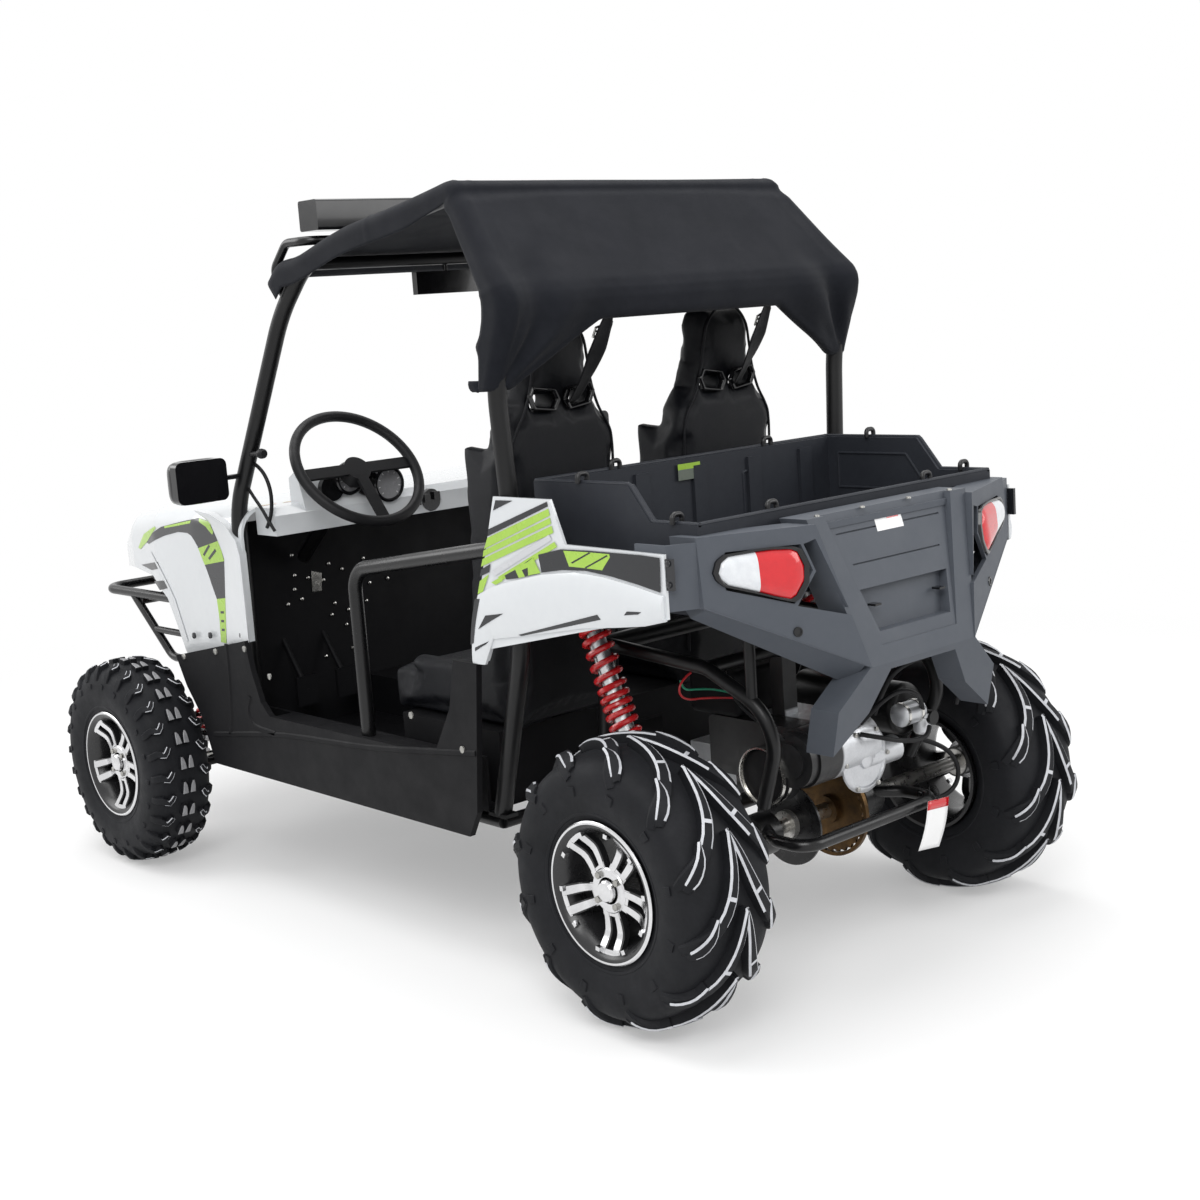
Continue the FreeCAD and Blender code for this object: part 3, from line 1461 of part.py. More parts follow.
def tail_wing():
    """Left wing: leaning plate with a lamp window and an opening, flanged along its edges."""
    corners = [(tail_corner_y, tail_corner_top_z), (tail_corner_y, tail_corner_low_z),
               (tail_half_waist - tail_flange_wall / 2, tail_waist_z),
               (tail_half_top - tail_flange_wall / 2, tail_top_z - tail_flange_wall)]
    plate_part = wing_prism(corners, 0, tail_thick)
    deep = wing_prism(corners, 0, tail_flange)
    inner = wing_prism(grown(corners, -tail_flange_wall * 2), -tail_flange, tail_flange * 2)
    lamp = wing_prism(grown(wing_outline(lamp_outline_shares), seat_gap * 2), -tail_flange, tail_flange * 2)
    opening = wing_prism(wing_outline(opening_outline_shares), -tail_flange, tail_flange * 2)
    room = box(bed_rear_x - seat_gap, cheek_front_x, -bed_y - seat_gap, bed_y + seat_gap,
               bed_floor_z - seat_gap, tail_corner_top_z + cut_over)
    return fused(plate_part, deep.cut(inner)).cut([lamp, opening, room])


def tail_facet():
    """Wedge below the wing's lower edge, whose face leans in and down."""
    ends = []
    for y, drop in ((tail_corner_y - tail_flange_wall, facet_corner_drop),
                    (tail_half_waist + tail_flange_wall, facet_waist_drop)):
        share = (tail_corner_y - y) / (tail_corner_y - tail_half_waist)
        z = tail_corner_low_z + share * (tail_waist_z - tail_corner_low_z)
        x, _, _ = wing_point(y, z)
        rise = tail_flange_wall / 2
        ends.append(Part.makePolygon([Vector(x, y, z + rise), Vector(x + facet_depth, y, z - drop),
                                      Vector(x + tail_flange, y, z + rise), Vector(x, y, z + rise)]))
    bed_room = box(bed_rear_x - seat_gap, bed_front_x, -bed_y - seat_gap, bed_y + seat_gap,
                   bed_floor_z - seat_gap, bed_top_z)
    return Part.makeLoft(ends, True, True).cut(bed_room)


def tail_cheek():
    """Side return from the wing's outer edge forward behind the quarter panel."""
    y = quarter_y - seat_gap
    outer = [(tail_corner_x, tail_corner_y - cheek_wall), (tail_corner_x, tail_corner_y),
             (cheek_x, y), (cheek_front_x, y), (cheek_front_x, y - cheek_wall),
             (cheek_x + cheek_wall, y - cheek_wall)]
    return prism_z(outer, tail_corner_low_z, tail_corner_top_z - tail_flange_wall)


def tail_frame():
    """X-shaped tail, seated on the bed's rear wall by a shelf."""
    shelf = box(tail_top_x + tail_thick / 2, bed_rear_x - seat_gap, -tail_half_top + tail_strip_width,
                tail_half_top - tail_strip_width, tail_shelf_z, tail_shelf_z + tail_shelf_thick)
    shape = tail_centre()
    sides = [tail_wing(), tail_cheek(), tail_facet()]
    for part in [copy for side in sides for copy in with_mirror(side)] + [shelf]:
        shape = shape.fuse(part)
    keep("tail_frame", shape)


def tail_lamps():
    lamp = wing_prism(wing_outline(lamp_outline_shares), -lamp_proud, lamp_depth)
    keep("tail_lamps", Part.makeCompound(with_mirror(lamp)))


# Engine
def engine():
    """Crankcase with a round rear end, stepped covers, finned cylinder, starter and gearbox."""
    low, high = engine_right_y, engine_right_y + engine_width
    case = box(engine_rear_x + barrel_r, engine_rear_x + engine_length, low, high, engine_z,
               engine_z + engine_height)
    case = rounded(case, cover_depth / 2, edges_along(case, Y))
    axis_x, axis_z = engine_rear_x + barrel_r, engine_z + engine_height / 2
    shapes = [case, rod((axis_x, low, axis_z), (axis_x, high, axis_z), barrel_r)]
    step = cover_r * cover_inner_share
    for near, out in ((high, 1), (low, -1)):
        reach = near + out * (cover_depth - cover_step)
        shapes.append(rod((axis_x, near - out * cover_step, axis_z), (axis_x, reach, axis_z),
                          barrel_r * cover_share))
        shapes.append(rod((axis_x, near, axis_z), (axis_x, near + out * cover_depth, axis_z), step))
    barrel_x = engine_rear_x + engine_length / 2
    shapes.append(rod((barrel_x, low - cylinder_length / 2, axis_z), (barrel_x, low + cover_step, axis_z),
                      cylinder_r))
    pitch = (cylinder_length / 2 - cover_depth) / fin_count
    for index in range(fin_count):
        y = low - cylinder_length / 2 + (index + 1) * pitch
        shapes.append(rod((barrel_x, y, axis_z), (barrel_x, y + fin_thick, axis_z),
                          cylinder_r + fin_reach))
    shapes.append(rod((starter_x, starter_y, starter_z), (starter_x, starter_y + starter_length, starter_z),
                      starter_r))
    gearbox = box(gearbox_x, gearbox_x + gearbox_length, engine_right_y, engine_right_y + gearbox_width,
                  gearbox_z, engine_z + cover_depth)
    join = box(gearbox_x - gearbox_width / 2, gearbox_x + gearbox_width / 2, engine_right_y,
               engine_right_y + gearbox_width, engine_z + seat_gap, engine_z + cover_depth)
    boss = rod((drive_sprocket_x, sprocket_y - chain_width / 2, drive_sprocket_z),
               (drive_sprocket_x, engine_right_y, drive_sprocket_z), drive_boss_r)
    wheel = rod((drive_sprocket_x, sprocket_y - sprocket_thick / 2, drive_sprocket_z),
                (drive_sprocket_x, sprocket_y + sprocket_thick / 2, drive_sprocket_z), drive_sprocket_r)
    middle_y = (low + high) / 2
    lug = box(lug_x - lug_width / 2, lug_x + lug_width / 2, middle_y - lug_length / 2,
              middle_y + lug_length / 2, axis_z, subframe_kink_z - brace_tube_r - seat_gap)
    keep("engine", fused(shapes, gearbox, join, boss, wheel, lug))


def airbox():
    """Air filter case on the engine, with a round lid."""
    low = engine_z + engine_height + seat_gap
    middle_y = engine_right_y + engine_width / 2
    case = box(airbox_x, airbox_x + airbox_length, middle_y - airbox_width / 2,
               middle_y + airbox_width / 2, low, low + airbox_height)
    keep("airbox", rounded(case, cover_depth / 2, case.Edges))


def exhaust():
    """Muffler with outlet, header pipe to the engine and a strap to the rail."""
    muffler = rod((muffler_x, muffler_y, muffler_z), (muffler_x + muffler_length, muffler_y, muffler_z),
                  muffler_r)
    muffler = rounded(muffler, muffler_r / 4, muffler.Edges)
    outlet = rod((muffler_x - outlet_length, outlet_y, muffler_z), (muffler_x + pipe_r, outlet_y, muffler_z),
                 pipe_r)
    front = muffler_x + muffler_length
    header = tube([(front - pipe_r, muffler_y, muffler_z), (header_x, muffler_y, muffler_z),
                   (header_x, header_y, muffler_z)], pipe_r, pipe_r * 2)
    strap_y = -rail_y
    rail_start = (subframe_kink_x, strap_y, subframe_kink_z)
    rail_end = (rear_upright_x, strap_y, subframe_z)
    strap = box(strap_x - lug_width / 2, strap_x + lug_width / 2, strap_y - pipe_r, strap_y + pipe_r,
                muffler_z, subframe_z)
    room = [rod(rail_start, rail_end, brace_tube_r + seat_gap),
            box(subframe_kink_x, rear_upright_x, strap_y - frame_tube_r, strap_y + frame_tube_r,
                subframe_kink_z, subframe_z + brace_tube_r)]
    keep("exhaust", fused(muffler, outlet, header, strap.cut(room)))


# Roof and lamps
def offset_line(points, distance):
    """Open (x, z) line moved to its left by a distance, with mitred corners."""
    normals = []
    for (x0, z0), (x1, z1) in zip(points, points[1:]):
        run = math.hypot(x1 - x0, z1 - z0)
        normals.append((-(z1 - z0) / run, (x1 - x0) / run))
    moved = []
    for index, (x, z) in enumerate(points):
        before = normals[max(index - 1, 0)]
        after = normals[min(index, len(normals) - 1)]
        nx, nz = before[0] + after[0], before[1] + after[1]
        factor = distance / ((nx * nx + nz * nz) / 2)
        moved.append((x + nx * factor, z + nz * factor))
    return moved


def roof_line():
    """The cage's side line that the canopy follows, from the hoop's bend forward."""
    return [(hoop_bend_x, hoop_bend_z), (ridge_x, ridge_z), (roof_mid_x, roof_mid_z),
            (roof_front_x, roof_front_z), (pillar_top_x, pillar_top_z)]


def canopy():
    """Fabric top: roof sheet, leaning rear sheet with an arched lower edge, and side drops."""
    line = roof_line()
    near, far = frame_tube_r + seat_gap, frame_tube_r + seat_gap + canopy_thick
    inner, outer = offset_line(line, near), offset_line(line, far)
    flare = canopy_drop * (pillar_knee_y - pillar_top_y) / (pillar_top_z - pillar_knee_z)
    side = pillar_top_y + flare + frame_tube_r + seat_gap
    half = side + canopy_thick
    roof = prism_y(inner[1:-1] + outer[1:-1][::-1], -half, half)
    drop_line = [(x, z - canopy_drop) for x, z in outer[1:]]
    drop_line[0] = (drop_line[0][0] + canopy_drop, drop_line[0][1])
    drop = prism_y(outer[1:] + drop_line[::-1], side, half)
    spread = hoop_bend_y - pillar_top_y
    wide = half + spread
    rear = prism_y(inner[:2] + outer[:2][::-1], -wide, wide)
    low, top = inner[0][1] - canopy_drop, outer[1][1] + canopy_drop
    past = wide + canopy_drop
    taper = [(half, top), (half, inner[1][1]), (wide, outer[0][1]), (wide, low), (past, low), (past, top)]
    for side_outline in (taper, [(-y, z) for y, z in taper]):
        rear = rear.cut(prism_x(side_outline, hoop_bend_x - canopy_drop * 2, ridge_x + canopy_drop))
    arch_rise = canopy_arch_z - hoop_bend_z
    arch_r = (arch_rise ** 2 + side ** 2) / (2 * arch_rise)
    arch = rod((hoop_bend_x - canopy_drop * 2, 0, canopy_arch_z - arch_r),
               (ridge_x, 0, canopy_arch_z - arch_r), arch_r)
    (x0, z0), (x1, z1) = outer[:2]
    panel = plate([(x0, side + spread, z0), (x1, side, z1), (x1 + canopy_drop, side, z1),
                   (x0 + canopy_drop, side + spread, z0)], canopy_thick)
    keep("canopy", fused(roof, with_mirror(drop), rear.cut(arch), with_mirror(panel)))


def light_bar_mount():
    """Bent tube that rises from the pillars and crosses over the front of the roof."""
    y = pillar_top_y
    side = [(mount_foot_x, y, mount_foot_z), (header_front_x, y, header_front_z),
            (header_top_x, y, header_top_z), (header_cross_x, y, header_top_z)]
    points = side + [(x, -y, z) for x, y, z in reversed(side)]
    shape = tube(points, header_tube_r, header_bend)
    for end in (-1, 1):
        saddle = Part.makeSphere(mount_saddle_r, Vector(mount_foot_x, end * y, mount_foot_z))
        cage = rod((roof_front_x, end * roof_y, roof_front_z), (pillar_top_x, end * y, pillar_top_z),
                   frame_tube_r + seat_gap)
        under = rod((roof_front_x, end * roof_y, roof_front_z - frame_tube_r),
                    (pillar_top_x, end * y, pillar_top_z - frame_tube_r), frame_tube_r + seat_gap)
        shape = shape.fuse(saddle).cut([cage, under])
    keep("light_bar_mount", shape)


def light_bar():
    """Finned lamp housing with a lens, on two feet."""
    body = box(header_cross_x - lightbar_depth / 2, header_cross_x + lightbar_depth / 2, -lightbar_y,
               lightbar_y, lightbar_z, lightbar_z + lightbar_height)
    body = rounded(body, lightbar_foot_thick, edges_along(body, Y))
    feet = [box(header_cross_x - lightbar_foot_width / 2, header_cross_x + lightbar_foot_width / 2,
                side * lightbar_foot_y - lightbar_foot_thick, side * lightbar_foot_y + lightbar_foot_thick,
                header_top_z + header_tube_r + seat_gap, lightbar_z + lightbar_foot_thick)
            for side in (-1, 1)]
    keep("light_bar", fused(body, feet))


def mirrors():
    """Two door-side mirrors on arms from the pillars, and one under the roof's front tube."""
    share = (mirror_z - pillar_knee_z) / (pillar_top_z - pillar_knee_z)
    pillar_x = pillar_knee_x + share * (pillar_top_x - pillar_knee_x)
    pillar_y = pillar_knee_y + share * (pillar_top_y - pillar_knee_y)
    shell = box(mirror_x - mirror_thick / 2, mirror_x + mirror_thick / 2, mirror_y - mirror_width / 2,
                mirror_y + mirror_width / 2, mirror_z - mirror_height / 2, mirror_z + mirror_height / 2)
    shell = rounded(shell, mirror_corner, edges_along(shell, X))
    arm = rod((pillar_x, pillar_y + frame_tube_r + seat_gap, mirror_z), (mirror_x, mirror_y, mirror_z),
              mirror_arm_r)
    inner = box(roof_front_x - inner_mirror_thick / 2, roof_front_x + inner_mirror_thick / 2,
                inner_mirror_y - inner_mirror_width / 2, inner_mirror_y + inner_mirror_width / 2,
                inner_mirror_z - inner_mirror_height / 2, inner_mirror_z + inner_mirror_height / 2)
    stem = rod((roof_front_x, inner_mirror_y, inner_mirror_z),
               (roof_front_x, inner_mirror_y, roof_front_z - brace_tube_r - seat_gap), mirror_arm_r)
    keep("mirrors", Part.makeCompound(with_mirror(fused(shell, arm)) + [fused(inner, stem)]))


pieces = (front_wheel, rear_wheel, rear_axle, sprocket, chain, main_frame, roll_cage, front_arms,
          knuckle, tie_rod, steering_gear, steering_wheel, shocks, swing_arm, floor_tub, side_skirts,
          front_cowl, headlamps, front_bumper, dash_panel, instruments, hip_bars, seats, seat_base,
          harnesses, cargo_bed, bed_hooks, quarter_panels, tail_frame, tail_lamps, engine, airbox,
          exhaust, canopy, light_bar_mount, light_bar, mirrors)
for piece in pieces:
    piece()

os.makedirs("parts", exist_ok=True)
for name, shape in nodes.items():
    shape = shape.copy()
    shape.translate(Vector(-middle_x, 0, 0))
    shape.exportStep("parts/" + name + ".step")
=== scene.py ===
"""Two-seat off-road buggy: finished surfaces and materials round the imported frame.

Sizes in the classes are millimetres: x forward from the rear axle, y to the driver's
left and z up from the ground. `metres` turns them into the frame's own coordinates.
"""

import logging
import math
from dataclasses import dataclass
from enum import Enum

import bmesh
import bpy
import numpy as np
from mathutils import Matrix, Vector


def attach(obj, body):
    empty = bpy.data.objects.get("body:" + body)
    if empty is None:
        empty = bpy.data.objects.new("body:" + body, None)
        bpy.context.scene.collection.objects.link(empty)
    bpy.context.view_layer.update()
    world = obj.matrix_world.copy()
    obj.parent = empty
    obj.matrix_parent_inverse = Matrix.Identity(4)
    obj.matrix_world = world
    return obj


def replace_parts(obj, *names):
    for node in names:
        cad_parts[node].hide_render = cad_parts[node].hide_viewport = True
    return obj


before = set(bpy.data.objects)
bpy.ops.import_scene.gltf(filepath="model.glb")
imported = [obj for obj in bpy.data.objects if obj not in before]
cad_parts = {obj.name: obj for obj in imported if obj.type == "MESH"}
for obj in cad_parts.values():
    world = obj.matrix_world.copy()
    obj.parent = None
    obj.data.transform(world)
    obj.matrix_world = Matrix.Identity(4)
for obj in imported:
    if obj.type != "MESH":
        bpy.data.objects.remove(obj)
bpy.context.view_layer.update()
LOG = logging.getLogger("buggy")

MILLI = 0.001
AXLE_TO_ORIGIN = 963.35
FULL_TURN = 2 * math.pi
ROOT = "chassis"
POLE = 0.1
Point = "tuple[float, float, float]"
Outline = "tuple[tuple[float, float], ...]"


class Mirror(Enum):
    """Which side of the vehicle a piece is on."""

    LEFT = 1
    RIGHT = -1


class Pattern(Enum):
    """Small-scale surface structure of a finish."""

    SMOOTH = "smooth"
    GRAIN = "grain"
    LEATHER = "leather"
    WEAVE = "weave"
    BRUSHED = "brushed"
    CAST = "cast"


def metres(points: np.ndarray) -> np.ndarray:
    """Turn millimetres from the rear axle into the frame's metres.

    Args:
        points: array whose last axis is x, y, z.

    Returns:
        The same array, scaled and moved along x.
    """
    moved = np.array(points, float)
    moved[..., 0] -= AXLE_TO_ORIGIN
    return moved * MILLI


def spline(points: "np.ndarray | tuple", count: int) -> np.ndarray:
    """Smooth curve through points: on each span, a cubic whose end slopes join the neighbours.

    Args:
        points: control points, one per row.
        count: how many points to return.

    Returns:
        Array of points along the curve, evenly spread over the spans.
    """
    p = np.asarray(points, float)
    spans = len(p) - 1
    p = np.concatenate([2 * p[:1] - p[1:2], p, 2 * p[-1:] - p[-2:-1]])
    t = np.linspace(0, spans, count)
    i = np.minimum(t.astype(int), spans - 1)
    f = (t - i)[:, None]
    a, b, c, d = p[i], p[i + 1], p[i + 2], p[i + 3]
    return 0.5 * (2 * b + (c - a) * f + (2 * a - 5 * b + 4 * c - d) * f ** 2
                  + (3 * b - a - 3 * c + d) * f ** 3)


def evenly(points: "np.ndarray | tuple", count: int) -> np.ndarray:
    """Points at equal distances along a polyline."""
    p = np.asarray(points, float)
    run = np.concatenate([[0], np.cumsum(np.linalg.norm(np.diff(p, axis=0), axis=1))])
    at = np.linspace(0, run[-1], count)
    return np.stack([np.interp(at, run, p[:, k]) for k in range(p.shape[1])], axis=1)


def smooth_step(x: np.ndarray, low: float, high: float) -> np.ndarray:
    """Ramp from 0 at low to 1 at high, level at both ends: 3t squared less 2t cubed."""
    t = np.clip((x - low) / (high - low), 0, 1)
    return t * t * (3 - 2 * t)


def unit(v: np.ndarray) -> np.ndarray:
    """Vectors of length 1 along v's last axis."""
    return v / np.maximum(np.linalg.norm(v, axis=-1, keepdims=True), 1e-9)


def tube_grid(path: "np.ndarray | tuple", radius: float, sides: int) -> np.ndarray:
    """Tube round a path: at each station a circle in the plane square to the path.

    The circle's first axis is carried along the path, turned only as far as the path turns.

    Args:
        path: (n, 3) stations.
        radius: the circle's.
        sides: points round the circle.

    Returns:
        (n, sides, 3) grid.
    """
    p = np.asarray(path, float)
    along = unit(np.gradient(p, axis=0))
    start = np.array([0.0, 0.0, 1.0]) if abs(along[0, 2]) < 0.9 else np.array([1.0, 0.0, 0.0])
    across = np.zeros_like(p)
    across[0] = unit(np.cross(along[0], start))
    for k in range(1, len(p)):
        across[k] = unit(across[k - 1] - along[k] * np.dot(across[k - 1], along[k]))
    up = np.cross(across, along)
    angle = np.linspace(0, FULL_TURN, sides, endpoint=False)
    ring = (np.cos(angle)[None, :, None] * across[:, None, :]
            + np.sin(angle)[None, :, None] * up[:, None, :])
    return p[:, None, :] + radius * ring


def turned_grid(profile: "np.ndarray | Outline", axis: int, centre: Point,
                steps: int) -> np.ndarray:
    """Profile of (along, radius) points turned about an axis through the centre.

    A point at distance a along the axis and radius r goes to
    centre + a * axis + r * (cos t, sin t) in the plane square to it.

    Args:
        profile: (n, 2) points, along the axis and out from it.
        axis: 0, 1 or 2 for x, y or z.
        centre: the axis's zero point.
        steps: points round the turn.

    Returns:
        (n, steps, 3) grid.
    """
    prof = np.asarray(profile, float)
    angle = np.linspace(0, FULL_TURN, steps, endpoint=False)
    grid = np.zeros((len(prof), steps, 3))
    first, second = (axis + 1) % 3, (axis + 2) % 3
    grid[..., axis] = prof[:, None, 0]
    grid[..., first] = prof[:, None, 1] * np.cos(angle)
    grid[..., second] = prof[:, None, 1] * np.sin(angle)
    return grid + np.array(centre, float)


class Shape:
    """Patches of one piece, gathered as arrays and then made one object."""

    def __init__(self) -> None:
        """Start with no patches."""
        self.points: list[np.ndarray] = []
        self.faces: list[np.ndarray] = []
        self.finish_of: list[np.ndarray] = []
        self.uvs: list[np.ndarray] = []
        self.count = 0

    def add(self, points: np.ndarray, faces: np.ndarray, finish: int = 0,
            uv: "np.ndarray | None" = None) -> "Shape":
        """Add loose points and their faces.

        Args:
            points: (n, 3) millimetres.
            faces: (m, 3) or (m, 4) indices into points.
            finish: index into the piece's list of finishes.
            uv: (n, 2) pattern coordinates in metres.

        Returns:
            The shape itself.
        """
        points = np.asarray(points, float).reshape(-1, 3)
        faces = np.asarray(faces, int)
        self.points.append(points)
        self.faces.append(faces + self.count)
        self.finish_of.append(np.full(len(faces), finish))
        self.uvs.append(np.zeros((len(points), 2)) if uv is None else np.reshape(uv, (-1, 2)))
        self.count += len(points)
        return self

    def grid(self, points: np.ndarray, round_cols: bool = False, finish: int = 0,
             ends: bool = False, uv: "np.ndarray | None" = None, flip: bool = False) -> "Shape":
        """Add a grid of points as quads between neighbouring rows and columns.

        Args:
            points: (rows, cols, 3) millimetres.
            round_cols: whether the last column joins the first.
            finish: index into the piece's list of finishes.
            ends: whether the first and last rows are closed to a point in their middle.
            uv: (rows, cols, 2) pattern coordinates.
            flip: whether faces point the other way.

        Returns:
            The shape itself.
        """
        rows, cols = points.shape[:2]
        index = np.arange(rows * cols).reshape(rows, cols)
        if round_cols:
            index = np.concatenate([index, index[:, :1]], axis=1)
        faces = np.stack([index[:-1, :-1], index[:-1, 1:], index[1:, 1:], index[1:, :-1]],
                         axis=-1).reshape(-1, 4)
        if flip:
            faces = faces[:, ::-1]
        self.add(points, faces, finish, uv)
        if ends:
            for row, turn in ((points[0], not flip), (points[-1], flip)):
                middle = row.mean(axis=0, keepdims=True)
                ring = np.arange(cols)
                fan = np.stack([ring, np.roll(ring, -1), np.full(cols, cols)], axis=-1)
                self.add(np.concatenate([row, middle]), fan[:, ::-1] if turn else fan, finish)
        return self

    def turned(self, profile: "np.ndarray | Outline", axis: int, centre: Point, steps: int,
               finish: int = 0, flip: bool = False) -> "Shape":
        """Add a profile of (along, radius) points turned about an axis, as turned_grid says."""
        return self.grid(turned_grid(profile, axis, centre, steps), True, finish, flip=flip)

    def tube(self, path: "np.ndarray | tuple", radius: float, sides: int, finish: int = 0,
             ends: bool = True) -> "Shape":
        """Add a round bar along a path, as tube_grid says."""
        return self.grid(tube_grid(path, radius, sides), True, finish, ends)

    def box(self, low: Point, high: Point, finish: int = 0) -> "Shape":
        """Add a box between two corners: two rings of four points, closed at the ends."""
        (x0, y0, z0), (x1, y1, z1) = low, high
        ring = np.array([[x0, y0], [x1, y0], [x1, y1], [x0, y1]], float)
        return self.grid(np.stack([np.column_stack([ring, np.full(4, z)]) for z in (z0, z1)]), True,
                         finish, True)

    def sheet(self, flat: np.ndarray, y: "np.ndarray | float", finish: int = 0) -> "Shape":
        """Add a surface whose (x, z) places are in flat, at a distance y across."""
        return self.grid(np.stack([flat[..., 0], y + 0 * flat[..., 0], flat[..., 1]], axis=-1),
                         finish=finish)

    def face(self, x: "np.ndarray | float", flat: np.ndarray, finish: int = 0) -> "Shape":
        """Add a surface whose (y, z) places are in flat, at a distance x along."""
        return self.grid(np.stack([x + 0 * flat[..., 0], flat[..., 0], flat[..., 1]], axis=-1),
                         finish=finish)

    def piece(self, name: str, finishes: "tuple[Finish, ...]", body: str = ROOT, crease: float = 35.0,
              merge: float = 0.02, tidy: bool = False, thick: float = 0.0) -> bpy.types.Object:
        """Make the object, give it its finishes and let it ride on a body.

        Args:
            name: the piece's name.
            finishes: materials in the order of the patches' indices.
            body: CAD body it rides on.
            crease: edges sharper than this many degrees stay sharp.
            merge: points nearer than this many millimetres are joined.
            tidy: whether faces are turned to point outwards.
            thick: wall in millimetres of a Solidify modifier, or 0.

        Returns:
            The object.
        """
        points = metres(np.concatenate(self.points))
        faces = [tuple(f) for part in self.faces for f in part.tolist()]
        mesh = bpy.data.meshes.new(name)
        mesh.from_pydata(points.tolist(), [], faces)
        mesh.polygons.foreach_set("material_index", np.concatenate(self.finish_of).astype(np.int32))
        uv = np.concatenate(self.uvs)
        layer = mesh.uv_layers.new(name="UVMap")
        loops = np.zeros(len(mesh.loops), np.int32)
        mesh.loops.foreach_get("vertex_index", loops)
        layer.data.foreach_set("uv", uv[loops].astype(np.float32).ravel())
        if merge or tidy:
            work = bmesh.new()
            work.from_mesh(mesh)
            if merge:
                bmesh.ops.remove_doubles(work, verts=work.verts, dist=merge * MILLI)
            if tidy:
                bmesh.ops.recalc_face_normals(work, faces=work.faces)
            work.to_mesh(mesh)
            work.free()
        mesh.polygons.foreach_set("use_smooth", np.ones(len(mesh.polygons), bool))
        mesh.set_sharp_from_angle(angle=math.radians(crease))
        made = bpy.data.objects.new(name, mesh)
        bpy.context.scene.collection.objects.link(made)
        for finish in finishes:
            mesh.materials.append(finish.material())
        if thick:
            wall = made.modifiers.new("wall", "SOLIDIFY")
            wall.thickness, wall.offset = thick * MILLI, -1
        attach(made, body)
        LOG.info("%s: %d faces on %s", name, len(mesh.polygons), body)
        return made


class Graph:
    """A material's node tree, built by short calls."""

    def __init__(self, name: str) -> None:
        """Make the material and find its shader."""
        self.material = bpy.data.materials.new(name)
        self.material.use_nodes = True
        self.tree = self.material.node_tree
        self.shader = self.tree.nodes["Principled BSDF"]

    def node(self, kind: str, inputs: "dict | None" = None, **settings) -> bpy.types.Node:
        """Add a node.

        Args:
            kind: the node's type name without its ShaderNode prefix.
            inputs: socket name or number to a value or an output socket.
            **settings: the node's own properties.

        Returns:
            The node.
        """
        made = self.tree.nodes.new("ShaderNode" + kind)
        for key, value in settings.items():
            setattr(made, key, value)
        for key, value in (inputs or {}).items():
            self.feed(made.inputs[key], value)
        return made

    def feed(self, socket: bpy.types.NodeSocket, value: object) -> None:
        """Link an output to the socket, or set the socket's own value."""
        if isinstance(value, bpy.types.NodeSocket):
            self.tree.links.new(value, socket)
        else:
            socket.default_value = value

    def math(self, kind: str, a: object, b: object = 0.0, c: object = 0.0) -> bpy.types.NodeSocket:
        """Result of one arithmetic node."""
        return self.node("Math", {0: a, 1: b, 2: c}, operation=kind).outputs[0]

    def noise(self, where: bpy.types.NodeSocket, scale: float, detail: float = 3.0,
              rough: float = 0.55) -> bpy.types.NodeSocket:
        """Noise from 0 to 1 at a number of cells a metre."""
        return self.node("TexNoise", {"Vector": where, "Scale": scale, "Detail": detail,
                                      "Roughness": rough}).outputs["Fac"]

    def spread(self, value: bpy.types.NodeSocket, low: float, high: float, to_low: float,
               to_high: float) -> bpy.types.NodeSocket:
        """Value moved from one range to another and clamped."""
        return self.node("MapRange", {"Value": value, "From Min": low, "From Max": high,
                                      "To Min": to_low, "To Max": to_high}).outputs[0]

    def mix(self, share: object, a: object, b: object) -> bpy.types.NodeSocket:
        """Colour between a and b."""
        made = self.node("Mix", data_type="RGBA")
        self.feed(made.inputs[0], share)
        self.feed(made.inputs[6], a)
        self.feed(made.inputs[7], b)
        return made.outputs[2]


def rgba(colour: Point) -> "tuple[float, float, float, float]":
    """Colour with full cover."""
    return (*colour, 1.0)


